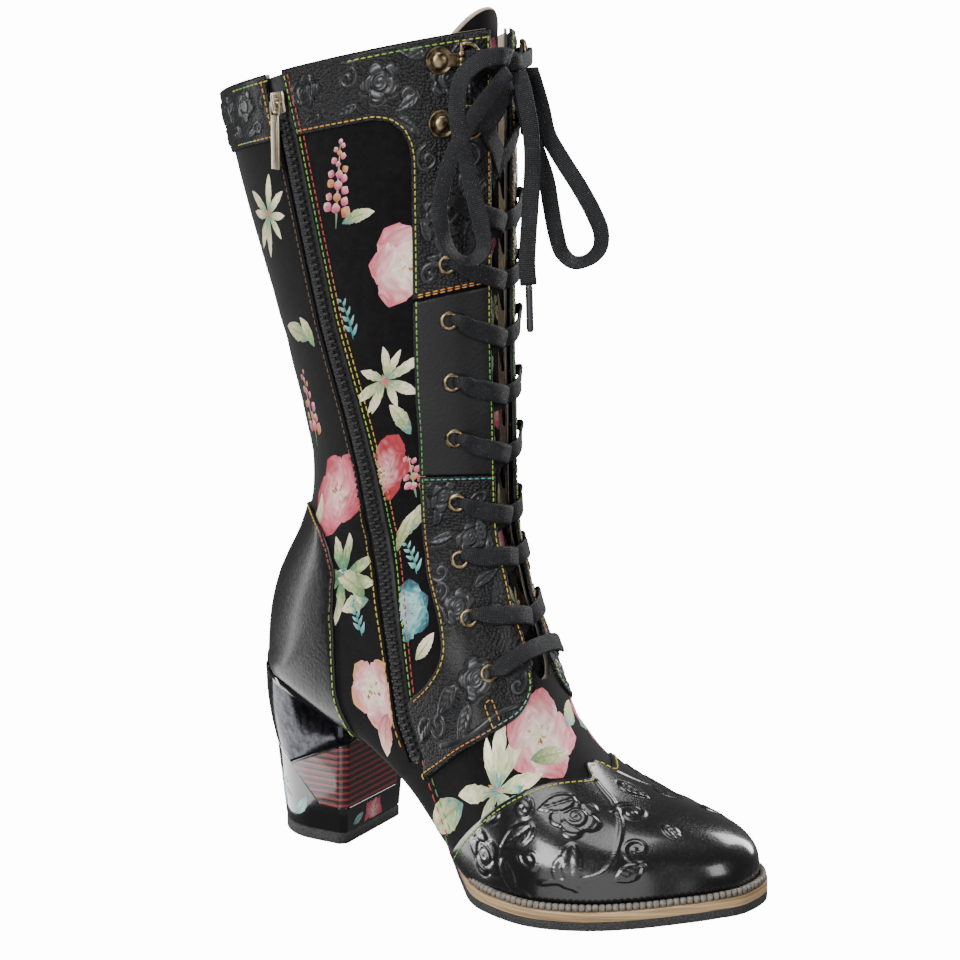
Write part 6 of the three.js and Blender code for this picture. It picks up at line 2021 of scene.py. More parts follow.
def make_heel_trim():
    """The striped inlay and its fine frame."""
    outline = resample(np.array(PANEL, float), 0.9, closed=True)
    middle = outline.mean(0)
    rings = [on_heel(outline[:, 0], outline[:, 1], SEAT)]
    for f in np.concatenate([[0.985], np.linspace(0.97, 0.02, 34)]):
        ring = middle + (outline - middle) * f
        rings.append(on_heel(ring[:, 0], ring[:, 1], 0.42))
    faces = grid_faces(len(rings), len(outline), closed=True)
    made = add_mesh("heel_panel", np.array(rings).reshape(-1, 3), faces, striped, "heel")
    made.data.set_sharp_from_angle(angle=math.radians(40))
    trim = Build()
    tube(trim, on_heel(outline[:, 0], outline[:, 1], 0.2), 0.38, 8, closed=True)
    trim.make("heel_panel_frame", patent, "heel")


rim_metal = metal_material("polished_rim", "5a5a5e", "e6e6e8", 0.12)
cup_metal = metal_material("dark_chrome", "2e2e31", "4b4b50", 0.12)
make_heel_trim()
make_cup()

# %% [markdown]
# The zip: two rows of coil teeth on a woven tape, a slider and a pull.

# %%
def zip_frames(stations):
    """Places on the zip's line with the directions across (to the front), along and out."""
    share = zip_x(stations) / skin.girth_at(stations, -1)
    place = on_skin(stations, share)
    out = skin.normal(stations, share)
    along = unit(np.gradient(place, axis=0))
    return place, unit(np.cross(along, out)), along, out


def station_run(first, last, pitch):
    """Stations at even steps of length down the zip's line."""
    fine = np.linspace(first, last, 900)
    run = run_along(zip_frames(fine)[0])
    return np.interp(np.arange(0, run[-1], pitch), run, fine)


# The tape's section, and a tooth's heights along its bar, as (across, out) pairs
TAPE = ((-5.6, -1.9), (-5.5, -0.75), (-2.9, -0.55), (0, -0.5), (2.9, -0.55), (5.5, -0.75), (5.6, -1.9))
TOOTH = ((-0.2, 0.3), (0.4, 0.9), (1.4, 1.15), (2.3, 0.77), (2.55, 0.05))
TOOTH_PITCH = 1.45
TOOTH_RADII = (0.62, 0.42)


def make_tape():
    stations = station_run(ZIP_FOOT + 0.05, PANEL_TOP, 2.5)
    place, across, _, out = zip_frames(stations)
    points = np.stack([place + across * w + out * h for w, h in TAPE], axis=1)
    tape = Build().add(points.reshape(-1, 3), grid_faces(len(stations), len(TAPE)))
    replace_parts(tape.make("zip_tape_cloth", zip_cloth, "zip"), "zip_tape")


def make_coil():
    """The coil's teeth, left and right in turn."""
    chain = Build()
    angle = np.linspace(0, 2 * math.pi, 6, endpoint=False)
    long, high = TOOTH_RADII
    stations = station_run(ZIP_FOOT + 0.15, SLIDER_STATION, TOOTH_PITCH)
    for k, (place, across, along, out) in enumerate(zip(*zip_frames(stations))):
        hand = 1 if k % 2 else -1
        rings = []
        for w, h in TOOTH:
            centre = place + across * (w * hand) + out * h
            rings.append([centre + along * long * math.cos(a) + out * high * math.sin(a) for a in angle])
        faces = grid_faces(len(TOOTH), 6, closed=True, capped=True)
        if hand > 0:
            faces = [face[::-1] for face in faces]
        chain.add(np.array(rings).reshape(-1, 3), faces)
    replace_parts(chain.make("zip_coil", zip_teeth, "zip"), "zip_chain")


make_tape()
make_coil()


def frame_at(station, share):
    """Across (towards the back on the zip's side), up and out at a place of the skin."""
    place = on_skin(station, share)
    out = skin.normal(station, share)
    up = on_skin(station + 0.1, share) - place
    up = unit(up - out * (up @ out))
    return place, np.cross(up, out), up, out


def rounded_box(build, size, centre, axes, bevel):
    """A box with rolled edges, as a grid pushed out from a smaller box."""
    steps = 3
    half = np.array(size, float) / 2
    bevel = min(bevel, *(half * 0.95))
    n = 2 * steps + 2
    lattice = []
    for k in range(3):
        inner = half[k] - bevel
        low = [-inner - bevel * math.cos(a) for a in np.linspace(0, math.pi / 2, steps + 1)]
        lattice.append(np.array(low + [-v for v in low[::-1]]))
    for axis in range(3):
        u, v = [k for k in range(3) if k != axis]
        for sign in (-1, 1):
            grid = np.zeros((n, n, 3))
            grid[..., u] = lattice[u][:, None]
            grid[..., v] = lattice[v][None, :]
            grid[..., axis] = sign * half[axis]
            inner = np.clip(grid, -(half - bevel), half - bevel)
            grid = inner + unit(grid - inner) * bevel
            points = np.asarray(centre) + grid.reshape(-1, 3) @ np.asarray(axes)
            faces = grid_faces(n, n)
            if (sign > 0) == (axis == 1):
                faces = [face[::-1] for face in faces]
            build.add(points, faces)


SLIDER_RISE = 5.1
SLIDER_BASE = -0.3
PIVOT_OUT = SLIDER_BASE + 3.65
PULL_DROP = 15.8


def make_slider():
    """The slider with its bridge, and the pull tab that hangs plumb from the bridge's bar."""
    place, across, up, out = frame_at(SLIDER_STATION, -float(zip_share(SLIDER_STATION)))
    axes = np.array([across, up, out])
    centre = place + up * SLIDER_RISE
    build = Build()
    rounded_box(build, (7.2, 9, 2.4), centre + out * (SLIDER_BASE + 1.3), axes, 0.7)
    rounded_box(build, (7.6, 4.2, 2.5), place + up * 7.2 + out * (SLIDER_BASE + 1.3), axes, 0.8)
    for end in (-2.6, 2.6):
        rounded_box(build, (1.7, 1.1, 2.4), centre + up * end + out * (SLIDER_BASE + 3.4), axes, 0.35)
    rounded_box(build, (1.7, 6.2, 1.0), centre + out * (SLIDER_BASE + 4.85), axes, 0.4)
    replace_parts(build.make("zip_slider_body", pale_brass, "pale"), "zip_slider")

    pivot = centre + out * PIVOT_OUT
    forward = np.array([out[0], out[1], 0]) / math.hypot(out[0], out[1])
    plumb = np.array([0, 0, 1])
    level = np.cross(plumb, forward)
    pull_axes = np.array([level, plumb, forward])
    pull = Build()
    tube(pull, np.array([pivot - level * 2.8, pivot + level * 2.8]), 0.5, 10)
    for hand in (-1, 1):
        rounded_box(pull, (0.9, 5.6, 0.95), pivot + level * (2.35 * hand) - plumb * 2.3, pull_axes, 0.3)
    rounded_box(pull, (4.6, 22, 1.15), pivot - plumb * PULL_DROP + forward * 0.1, pull_axes, 0.45)
    rounded_box(pull, (3.1, 16, 0.3), pivot - plumb * PULL_DROP + forward * 0.78, pull_axes, 0.14)
    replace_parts(pull.make("zip_pull_tab", pale_brass, "pale", body="pull"), "zip_pull")


make_slider()
print("zip built")

# %% [markdown]
# Fasteners: nine pairs of rolled eyelets, and two pairs of riveted plates with a wire loop.

# %%
EYELETS = (
    (11.48, 0.66), (13.19, 0.67), (15.98, 0.62), (19.95, 0.60), (22.54, 0.61), (23.93, 0.61), (25.0, 0.63),
    (25.79, 0.65), (26.65, 0.68),
)
LACE_LOOPS = ((27.72, 0.69), (28.62, 0.71))


def fastener_frame(row, side):
    station, out = row
    return frame_at(station, float(skin.share(station, side * out * EYESTAY_WIDTH)))


# Sections as (radius, height over the facing) pairs
EYELET_RIM = (
    (2.2, -2.6), (2.25, 0.5), (2.45, 0.92), (2.85, 1.1), (3.35, 1.0), (3.8, 0.66), (4.05, 0.3), (4.1, 0),
)
# A dark disc at the foot of each eyelet's barrel: painted shade in the hole
EYELET_SHADE_DISC = ((2.3, -2.4), (0.05, -2.45))
EYELET_BASE = OVERLAY - 0.02


def make_eyelets(name, side):
    rims, shade_discs = Build(), Build()
    for row in EYELETS:
        place, *axes, out = fastener_frame(row, side)
        foot = place + out * EYELET_BASE
        turned(rims, EYELET_RIM, foot, (*axes, out), 28)
        turned(shade_discs, EYELET_SHADE_DISC, foot, (*axes, out), 16)
    made = rims.make(f"eyelets_{name}", brass, "brass")
    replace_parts(made, *(f"eyelet_{name}_{k + 1}" for k in range(len(EYELETS))))
    # The discs take the dark zip cloth as painted shade.
    shade_discs.make(f"eyelet_shade_discs_{name}", zip_cloth, "zip")


make_eyelets("medial", -1)
make_eyelets("lateral", 1)

KNUCKLE_OUT = 8.6
KNUCKLE_RADIUS = 1.7
LOOP_REACH = 7
PIN_LENGTH = 12.4
WIRE_RADIUS = 0.9
LOOP_BASE = OVERLAY + 0.25
WIRE_HEIGHT = LOOP_BASE + KNUCKLE_RADIUS
PLATE_RIM = (
    (0.05, 0), (5.5, 0), (5.65, 0.3), (5.5, 0.75), (5.1, 0.95), (4.6, 0.8), (4.3, 0.5), (3.4, 0.5),
)
RIVET = ((3.5, 0.45), (3.45, 0.9), (3.15, 1.45), (2.5, 1.9), (1.5, 2.2), (0.05, 2.32))
KNUCKLES = ((-3.25, -1.2, 1.75), (-1.0, 1.0, KNUCKLE_RADIUS), (1.2, 3.25, 1.75))


def make_lace_loop(name, row, side):
    """A riveted plate, its arm and three knuckles, and the wire loop on its pin."""
    place, across, up, out = fastener_frame(row, side)
    towards = -across * side
    foot = place + out * LOOP_BASE
    # The plate and its arm take the darker copy of the brass, as painted shade.
    shade = Build()
    turned(shade, PLATE_RIM, foot, (across, up, out), 36)
    arm_axes = np.array([towards, np.cross(out, towards), out])
    rounded_box(shade, (8.0, 5.4, 0.95), foot + towards * 5.6 + out * 0.5, arm_axes, 0.4)
    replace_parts(shade.make(f"{name}_plate", painted_shade_brass, "brass"), name)
    bright = Build()
    turned(bright, RIVET, foot, (across, up, out), 32)
    centre = place + towards * KNUCKLE_OUT + out * WIRE_HEIGHT
    for low, high, radius in KNUCKLES:
        line = np.array([centre + up * v for v in np.linspace(low, high, 5)])
        tube(bright, line, [radius * 0.86, radius, radius, radius, radius * 0.86], 18)
    pin_end = up * (PIN_LENGTH / 2 + 0.3)
    tube(bright, np.array([centre - pin_end, centre + pin_end]), WIRE_RADIUS * 0.95, 14)
    wire = []
    for a in math.pi * (np.linspace(0, 1, 33) - 0.5):
        reach = LOOP_REACH * max(math.cos(a), 0) ** 0.6
        wire.append(centre + towards * reach + up * (PIN_LENGTH / 2 * math.sin(a)))
    tube(bright, np.array(wire), WIRE_RADIUS, 14)
    bright.make(f"{name}_wire", brass, "brass")


for side, name in ((-1, "medial"), (1, "lateral")):
    for k, row in enumerate(LACE_LOOPS):
        make_lace_loop(f"lace_loop_{name}_{k + 1}", row, side)
print("fasteners built")

# %% [markdown]
# The tongue stands behind the throat, under the laces.

# %%
TONGUE_HALF = 23
TONGUE_TOP = COLLAR + 0.3
TONGUE_FOOT = 10.0
TONGUE_DROP = 0.42
TONGUE_CORNER = 0.9
TONGUE_ROUND = 2.2
TONGUE_THICKNESS = 1.8
TONGUE_PUFF = 0.35
LACE_OVER = OVERLAY + 1.1 + 0.3 + LACE_THICKNESS / 2
LACE_FACING = OVERLAY + 0.25 + LACE_THICKNESS / 2
LACE_UNDER = -(WALL + 1.05 + LACE_THICKNESS / 2)
TONGUE_FACE = -(WALL + 1.05 + LACE_THICKNESS + 1.5)


def tongue_sheet(name, lift, material, slot, face):
    """One side of the tongue. Its face is puffed and eases down at its edges, its back is plain."""
    stations = np.linspace(TONGUE_FOOT, TONGUE_TOP, 150)[:, None]
    distance = np.linspace(-TONGUE_HALF, TONGUE_HALF, 33)[None, :]
    corner = np.clip((stations - (TONGUE_TOP - TONGUE_CORNER)) / TONGUE_CORNER, 0, 1)
    station = stations - corner * TONGUE_DROP * (np.abs(distance) / TONGUE_HALF) ** TONGUE_ROUND
    if face:
        edge = np.clip((TONGUE_HALF - np.abs(distance)) / 1.2, 0, 1)
        lift = lift + TONGUE_PUFF * np.cos(distance / TONGUE_HALF * math.pi / 2) - 0.5 * (1 - edge)
    points = on_skin(station, skin.share(station, distance), lift)
    faces = grid_faces(*points.shape[:2])
    if not face:
        faces = [quad[::-1] for quad in faces]
    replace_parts(add_mesh(name, points.reshape(-1, 3), faces, material, slot), "tongue")


def tongue_binding():
    trim = Build()
    share = np.linspace(-1, 1, 41)
    top = TONGUE_TOP - TONGUE_DROP * np.abs(share) ** TONGUE_ROUND
    tube(trim, on_skin(top, skin.share(top, share * TONGUE_HALF), TONGUE_FACE - 0.7), 1.05, 10)
    down = np.linspace(11, TONGUE_TOP - TONGUE_DROP, 90)
    for hand in (-1, 1):
        tube(trim, on_skin(down, skin.share(down, hand * TONGUE_HALF), TONGUE_FACE - 0.9), 0.9, 8)
    trim.make("tongue_binding", lining, "lining")


tongue_sheet("tongue_face", TONGUE_FACE, suede, "suede", True)
tongue_sheet("tongue_back", TONGUE_FACE - TONGUE_THICKNESS, lining, "lining", False)
tongue_binding()

# %% [markdown]
# The lace runs up through the eyelets: each stretch leaves an eyelet over its rim, crosses the throat and
# dives behind the other facing to the eyelet below.

# %%
def local_place(row, side, reach, height, rise=0.0):
    """A place near a fastener: reach towards the throat, rise up the shaft, height over the skin."""
    place, across, up, out = fastener_frame(row, side)
    return place - across * side * reach + up * rise + out * height, out


def lace_place(station, distance, lift):
    share = float(skin.share(station, distance))
    return on_skin(station, share, lift), skin.normal(station, share)


FULL = LACE_WIDTH * 0.97
PINCHED = 7.2
THIN = LACE_THICKNESS
EVEN_THICK = ((0, THIN), (1, THIN))
LOW_RING, HIGH_RING = LACE_LOOPS
RING_TIP = KNUCKLE_OUT + LOOP_REACH
HOLD = KNUCKLE_OUT + LOOP_REACH * 0.6 - 0.8
UNDER_WIRE = WIRE_HEIGHT - WIRE_RADIUS - 1.0 - THIN / 2
OVER_WIRE = WIRE_HEIGHT + WIRE_RADIUS + 0.3 + THIN / 2
TOP_LIFT = {-1: 1.35, 1: -0.3}


def lace_run(build, knots, widths, thick=EVEN_THICK):
    """Sweeps one stretch through (place, outward) knots. widths and thick follow its length."""
    places = np.array([place for place, _ in knots])
    outs = np.array([out for _, out in knots])
    both = smooth_path(np.hstack([places, outs * 6]), 1.1)
    u = np.linspace(0, 1, len(both))
    ribbon(
        build, both[:, :3], unit(both[:, 3:]), np.interp(u, *zip(*widths)), np.interp(u, *zip(*thick)), 14,
    )


def cross_throat(laces, row, below, side, sag):
    """From an eyelet over its rim, across the throat and behind the other facing."""
    run = (row[1] + below[1]) * EYESTAY_WIDTH

    def at(distance, lift):
        share = (row[1] * EYESTAY_WIDTH - distance) / run
        return lace_place(row[0] + (below[0] - row[0]) * share, side * distance, lift)

    middle_lift = TOP_LIFT[side]
    knots = [
        local_place(row, side, 0.3, -1.4),
        local_place(row, side, 1.5, LACE_OVER - 1.4),
        local_place(row, side, 4.0, LACE_OVER + 0.1, sag * 0.3),
        at(16.5, LACE_FACING + 0.75),
        at(9.5, LACE_FACING + 0.75),
        at(4.5, LACE_FACING + 0.1 + middle_lift * 0.4),
        at(0, middle_lift - 0.3),
        at(-4.5, LACE_UNDER + 1.3),
        at(-9, LACE_UNDER),
        at(-20, LACE_UNDER),
    ]
    widths = ((0, 3.0), (0.06, 3.6), (0.16, 6.9), (0.28, FULL), (1, FULL))
    lace_run(laces, knots, widths, ((0, 2.2), (0.06, 2.1), (0.18, 1.5), (0.3, THIN), (1, THIN)))


def from_last_eyelet(laces, side):
    """From behind the last eyelet up under the lower wire loop."""
    station, top = LOW_RING[0], EYELETS[-1][0]
    knots = [
        local_place(LOW_RING, side, HOLD, UNDER_WIRE + 0.2),
        local_place(LOW_RING, side, RING_TIP + 1.5, UNDER_WIRE - 0.2),
        lace_place(station - 0.25, side * 8.5, LACE_FACING + 0.3),
        lace_place(station - 0.5, side * 3.5, 0.6),
        lace_place(station - 0.8, -side * 4, LACE_UNDER + 1.2),
        lace_place(top + 0.2, -side * 10, LACE_UNDER),
        lace_place(top, -side * 20, LACE_UNDER),
    ]
    lace_run(laces, knots, ((0, PINCHED), (1, FULL)))


def between_rings(laces, side):
    """From the lower wire loop across to the upper one on the other side."""
    station = LOW_RING[0]
    knots = [
        local_place(LOW_RING, side, HOLD, OVER_WIRE),
        local_place(LOW_RING, side, RING_TIP + 1.6, OVER_WIRE + 0.1),
        lace_place(station + 0.42, side * 3.2, LACE_OVER + 2.2 + side * -0.9),
        lace_place(station + 0.62, -side * 4.5, LACE_OVER + 0.9 + side * -0.7),
        local_place(HIGH_RING, -side, RING_TIP + 1.6, UNDER_WIRE),
        local_place(HIGH_RING, -side, HOLD, UNDER_WIRE + 0.1),
    ]
    lace_run(laces, knots, ((0, PINCHED), (0.3, FULL), (0.8, FULL), (1, PINCHED)))


def to_the_knot(laces, side):
    knots = [
        local_place(HIGH_RING, side, HOLD, OVER_WIRE),
        local_place(HIGH_RING, side, RING_TIP + 1.2, OVER_WIRE),
        (KNOT_PLACE + np.array([side * 6.2, -0.3, -0.4]), np.array([0.1 * side, -1, 0.0])),
        (KNOT_PLACE + np.array([side * 2.5, -0.4, 0.0]), np.array([0.0, -1, 0.0])),
    ]
    lace_run(laces, knots, ((0, PINCHED), (0.7, 6.6), (1, 5.0)), ((0, THIN), (1, 1.8)))


def round_the_wire(laces, row, side):
    """The turn of lace over a loop's wire."""
    middle_height = (OVER_WIRE + UNDER_WIRE) / 2
    middle = local_place(row, side, HOLD, middle_height)[0]
    knots = []
    for a in np.linspace(-0.5, 0.75, 6) * math.pi:
        rise = (OVER_WIRE - UNDER_WIRE) / 2 * math.sin(a)
        place = local_place(row, side, HOLD - 1.7 * max(math.cos(a), -0.2), middle_height + rise)[0]
        knots.append((place, unit(place - middle)))
    lace_run(laces, knots, ((0, PINCHED), (1, PINCHED)))


def bottom_bar(laces):
    """The straight bar between the lowest eyelets, over the facings."""
    row = EYELETS[0]
    ends = [[
        local_place(row, side, 0.2, -1.2),
        local_place(row, side, 1.3, LACE_OVER - 1.3),
        local_place(row, side, 4.2, LACE_OVER + 0.1),
        lace_place(row[0], side * 13, LACE_OVER),
        lace_place(row[0], side * 5, LACE_OVER - 0.3),
    ] for side in (-1, 1)]
    widths = ((0, 3.0), (0.04, 3.6), (0.12, 7.4), (0.88, 7.4), (0.96, 3.6), (1, 3.0))
    thick = ((0, 2.2), (0.05, 2.1), (0.13, THIN), (0.87, THIN), (0.95, 2.1), (1, 2.2))
    lace_run(laces, ends[0] + ends[1][::-1], widths, thick)


def make_laces():
    laces = Build()
    dice = random.Random(11)
    for side in (-1, 1):
        for row, below in zip(EYELETS[1:], EYELETS):
            cross_throat(laces, row, below, side, dice.uniform(-0.5, 0.5))
        from_last_eyelet(laces, side)
        between_rings(laces, side)
        to_the_knot(laces, side)
        for row in LACE_LOOPS:
            round_the_wire(laces, row, side)
    bottom_bar(laces)
    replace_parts(laces.make("lace_strung", lace_skin, "cord"), "lace_crossings")


def make_knot():
    """The knot: three turns of lace wrapped tightly round each other."""
    build = Build()
    angle = np.linspace(0, 2 * math.pi, 40)
    for tilt, width, long, deep in KNOT_TURNS:
        first = [math.cos(math.radians(tilt)), 0, math.sin(math.radians(tilt))]
        ring = np.outer(np.cos(angle), first) * long + np.outer(np.sin(angle), [0, 1, 0]) * deep
        ribbon(build, KNOT_PLACE + ring * 0.86, unit(ring), width, LACE_THICKNESS, 12)
    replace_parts(build.make("bow_knot", lace_skin, "cord"), "lace_knot")


make_laces()
make_knot()
print("laces strung")

# %% [markdown]
# The print: loose flowers, leaves and sprigs in foil colours. Each petal is a small grid laid a tenth of a
# millimetre over its ground, and its colours are painted on its points.

# %%
CREAM, SAGE, GREEN, TEAL, MIST = "f1e7c4", "b9c48c", "5f8f5d", "2f7f86", "9fcfc9"
BLUSH, PINK, ROSE, RED, PLUM = "f3d3cc", "df8f96", "c95a6c", "a92f38", "7d4a7c"
GOLD, INK, STEEL = "c79a4e", "26314a", "7d8ca6"


class Print:
    """Petals in chart places, laid down in order so that later ones lie on top."""

    def __init__(self, seed=3):
        self.build = Build()
        self.dice = np.random.default_rng(seed)
        self.layer = 0

    def petal(self, x, y, angle, length, width, colors, bend=0.0, blunt=0.55, stripe=0.0, rows=15, columns=7):
        """A petal from its foot at (x, y): colors run from foot to tip, stripe darkens a rib pattern."""
        u = np.linspace(0, 1, rows)
        v = np.linspace(-1, 1, columns)
        heading = np.radians(angle) + bend * u
        step = length / (rows - 1)
        line_x = x + np.concatenate([[0], np.cumsum(np.cos(heading[:-1]) * step)])
        line_y = y + np.concatenate([[0], np.cumsum(np.sin(heading[:-1]) * step)])
        half = width / 2 * np.sin(np.clip(u, 0.01, 0.995) ** blunt * math.pi) ** 0.8
        half = np.maximum(half * (1 + 0.06 * self.dice.normal(0, 1, rows)), 0.02)
        px = line_x[:, None] - np.sin(heading)[:, None] * half[:, None] * v
        py = line_y[:, None] + np.cos(heading)[:, None] * half[:, None] * v
        stops = np.array([rgb(color) for color in colors])
        at = np.linspace(0, 1, len(stops))
        wave = np.clip(u[:, None] + self.dice.normal(0, 0.10, (rows, columns)), 0, 1)
        paint = np.stack([np.interp(wave, at, stops[:, k]) for k in range(4)], axis=-1)
        ribs = (0.5 + 0.5 * np.cos(v * math.pi * 2.5)) * (1 - 0.6 * u[:, None])
        paint[..., :3] *= (1 - stripe * ribs[..., None]) * (1 + self.dice.normal(0, 0.10, (rows, columns, 1)))
        self.sheet(px, py, np.clip(paint, 0, 1))

    def sheet(self, px, py, paint):
        self.layer += 1
        keep = self.allowed(px.ravel(), py.ravel())
        faces = [face for face in grid_faces(*px.shape) if all(keep[k] for k in face)]
        if faces:
            lift = 0.10 + 0.010 * (self.layer % 14)
            self.build.add(self.lay(px, py, lift).reshape(-1, 3), faces, paint=paint.reshape(-1, 4))

    def lay(self, px, py, lift):
        return on_chart(px, py, lift)

    def allowed(self, px, py):
        """Off the zip, inside the collar and off the feather line."""
        station = chart.station(py)
        off_the_zip = np.abs(px - zip_x(station)) > ZIP_SLOT_HALF + 0.6
        below_the_zip = station < ZIP_FOOT - 0.2
        on_the_leg = (station < COLLAR - 0.05) & (np.abs(px) < skin.girth_at(station, -1) * 1.9)
        return (off_the_zip | below_the_zip) & on_the_leg

    def bloom(self, x, y, size, angle=0, petals=5, colors=(CREAM, BLUSH, PINK, ROSE)):
        for k in range(petals):
            turned_by = angle + 360 * k / petals + self.dice.normal(0, 7)
            long = size * self.dice.uniform(0.88, 1.1)
            bend = self.dice.normal(0, 0.18)
            self.petal(x, y, turned_by, long, long * 0.95, colors, bend, blunt=1.25, stripe=0.10)
        for _ in range(16):
            a = self.dice.uniform(0, 2 * math.pi)
            r = size * self.dice.uniform(0.02, 0.27)
            seed_colors = (self.dice.choice([INK, GOLD, RED, TEAL]), GOLD)
            px, py = x + r * math.cos(a), y + r * math.sin(a)
            self.petal(px, py, math.degrees(a), size * 0.13, size * 0.05, seed_colors, rows=5, columns=3)

    def star(self, x, y, size, angle=0, petals=8, colors=(TEAL, SAGE, CREAM, CREAM)):
        for k in range(petals):
            turned_by = angle + 360 * k / petals + self.dice.normal(0, 9)
            long = size * self.dice.uniform(0.7, 1.15)
            bend = self.dice.normal(0, 0.16)
            self.petal(x, y, turned_by, long, long * 0.27, colors, bend, blunt=1.15, stripe=0.14)
        for k in range(7):
            self.petal(x, y, angle + 51 * k, size * 0.2, size * 0.08, (ROSE, GOLD), rows=6, columns=3)

    def spike(self, x, y, length, angle=90, width=9.0, colors=(PLUM, ROSE, PINK, BLUSH)):
        turn_x, turn_y = math.cos(math.radians(angle)), math.sin(math.radians(angle))
        self.petal(x, y, angle, length * 1.02, 1.0, (GREEN, SAGE), rows=14, columns=3)
        count = int(length / 1.7)
        for k in range(count):
            f = k / count
            side = (k % 3 - 1) * width * 0.30 * (1 - 0.75 * f)
            rise = length * (0.12 + 0.88 * f)
            px = x + turn_x * rise - turn_y * side
            py = y + turn_y * rise + turn_x * side
            lean = angle + (k % 3 - 1) * 42 + self.dice.normal(0, 14)
            big = (4.6 - 2.6 * f) * self.dice.uniform(0.85, 1.15)
            shades = colors if k % 4 else (RED, GOLD, PINK)
            self.petal(px, py, lean, big, big * 0.95, shades, blunt=1.0, rows=7, columns=5)

    def frond(self, x, y, length, angle, width=None, colors=(TEAL, SAGE, CREAM), bend=0.3):
        width = width or length * 0.3
        self.petal(x, y, angle, length, width, colors, bend, blunt=0.95, stripe=0.24, rows=20, columns=9)
        self.petal(x, y, angle, length * 0.94, 0.55, (GREEN, GOLD), bend, rows=16, columns=3)

    def sprig(self, x, y, length, angle, leaves=9, colors=(TEAL, MIST)):
        self.petal(x, y, angle, length, 0.8, (TEAL, GREEN), bend=0.3, rows=14, columns=3)
        for k in range(leaves):
            f = (k + 0.6) / leaves
            heading = math.radians(angle) + 0.3 * f * 0.5
            px, py = x + math.cos(heading) * length * f, y + math.sin(heading) * length * f
            hand = 1 if k % 2 else -1
            lean = math.degrees(heading) + hand * 48
            self.petal(px, py, lean, 5.2 - 2.4 * f, 2.0 - 0.7 * f, colors, -hand * 0.3, rows=8, columns=5)


def front_panel(station, fraction):
    """Between the facing's back edge and the zip."""
    return chart.spot(-EYESTAY_WIDTH + (zip_x(station) + 7 + EYESTAY_WIDTH) * fraction, station)


def back_panel(station, reach):
    """Behind the zip, by a distance."""
    return chart.spot(zip_x(station) - 7 - reach, station)


def on_side(station, distance):
    return chart.spot(distance, station)


def print_medial():
    art = Print(3)
    art.spike(*front_panel(26.55, 0.80), 34, 84, 10)
    art.frond(*front_panel(26.6, 0.72), 15, 20, 5.0, bend=-0.4)
    art.bloom(*front_panel(25.9, 0.06), 17, 40)
    art.sprig(*front_panel(25.1, 0.85), 17, 100, 8)
    art.star(*front_panel(24.35, 0.48), 16, 15, 9)
    art.frond(*front_panel(23.1, 0.16), 17, 112, 6.0)
    art.bloom(*front_panel(22.3, 0.92), 15, 75, colors=(BLUSH, PINK, RED, RED))
    art.spike(*front_panel(20.9, 0.12), 21, 98, 7.5)
    art.frond(*front_panel(19.4, 0.9), 22, 28, 7.5, bend=0.4)
    art.frond(*front_panel(18.9, 0.95), 18, 66, 6.0, (GREEN, SAGE, CREAM), bend=-0.3)
    art.sprig(*front_panel(16.6, 0.35), 15, 95, 8)
    art.bloom(*front_panel(14.6, 0.8), 12, 10, colors=(STEEL, MIST, TEAL, INK))
    art.frond(*front_panel(12.9, 0.75), 13, 20, 5.5, (SAGE, CREAM, BLUSH), bend=0.2)

    art.star(*back_panel(26.9, 16), 15, 40, 8)
    art.sprig(*back_panel(26.0, 40), 22, 80, 10)
    art.bloom(*back_panel(25.6, 66), 19, 20, colors=(CREAM, PINK, ROSE, PLUM))
    art.frond(*back_panel(25.25, 6), 22, 152, 6.5)
    art.frond(*back_panel(25.15, 4), 15, 118, 5, (GREEN, SAGE, CREAM))
    art.spike(*back_panel(23.7, 24), 28, 96, 10)
    art.frond(*back_panel(23.7, 50), 20, 60, 6)
    art.bloom(*back_panel(22.3, 12), 20, 110, colors=(BLUSH, PINK, ROSE, RED))
    art.frond(*back_panel(20.9, 34), 22, 70, 7)
    art.star(*back_panel(19.0, 15), 17, 60, 8, (TEAL, GREEN, SAGE, CREAM))
    art.frond(*back_panel(17.4, 5), 20, 128, 8.5, (GREEN, SAGE, CREAM))
    art.frond(*back_panel(16.6, 3), 17, 165, 6.5)
    art.sprig(*back_panel(14.7, 10), 15, 84, 9)
    art.bloom(*back_panel(12.9, 9), 14, 30, colors=(CREAM, BLUSH, PINK, GOLD))
    art.frond(*back_panel(12.2, 2), 15, 210, 7, (ROSE, PINK, CREAM))

    art.star(*on_side(9.15, -44), 24, 8, 8, (TEAL, SAGE, CREAM, CREAM))
    art.frond(*on_side(9.9, -62), 26, 160, 9)
    art.frond(*on_side(8.9, -24), 20, -30, 7, (GREEN, SAGE, CREAM))
    art.bloom(*on_side(9.25, -15), 19, 52, colors=(CREAM, BLUSH, PINK, ROSE))
    art.sprig(*on_side(8.55, -33), 15, 185, 7)
    art.frond(*on_side(9.0, 2), 18, 35, 7)
    art.spike(*on_side(10.0, -82), 22, -150, 8)
    art.build.make("print_near", foil, "suede", smooth=True)


# Places on the far side, as (station, distance) pairs
FAR_SIDE = (
    (27.0, 66), (26.0, 96), (25.2, 58), (24.4, 92), (23.4, 60),
    (22.3, 78), (20.6, 56), (19.0, 70), (16.4, 58), (13.6, 66),
)


def print_lateral():
    art = Print(8)
    art.bloom(*on_side(9.2, 32), 18, 10)
    art.star(*on_side(9.6, 58), 19, 40)
    art.frond(*on_side(9.0, 14), 17, 15, 6)
    for k, (station, distance) in enumerate(FAR_SIDE):
        x, y = on_side(station, distance)
        if k % 4 == 0:
            art.bloom(x, y, 17, 40 * k)
        elif k % 4 == 1:
            art.spike(x, y - 12, 28, 80 + 6 * k)
        elif k % 4 == 2:
            art.star(x, y, 17, 25 * k)
        else:
            art.frond(x, y - 8, 22, 60, 7)
            art.sprig(x + 6, y - 10, 19, 100)
    art.build.make("print_far", foil, "suede", smooth=True)


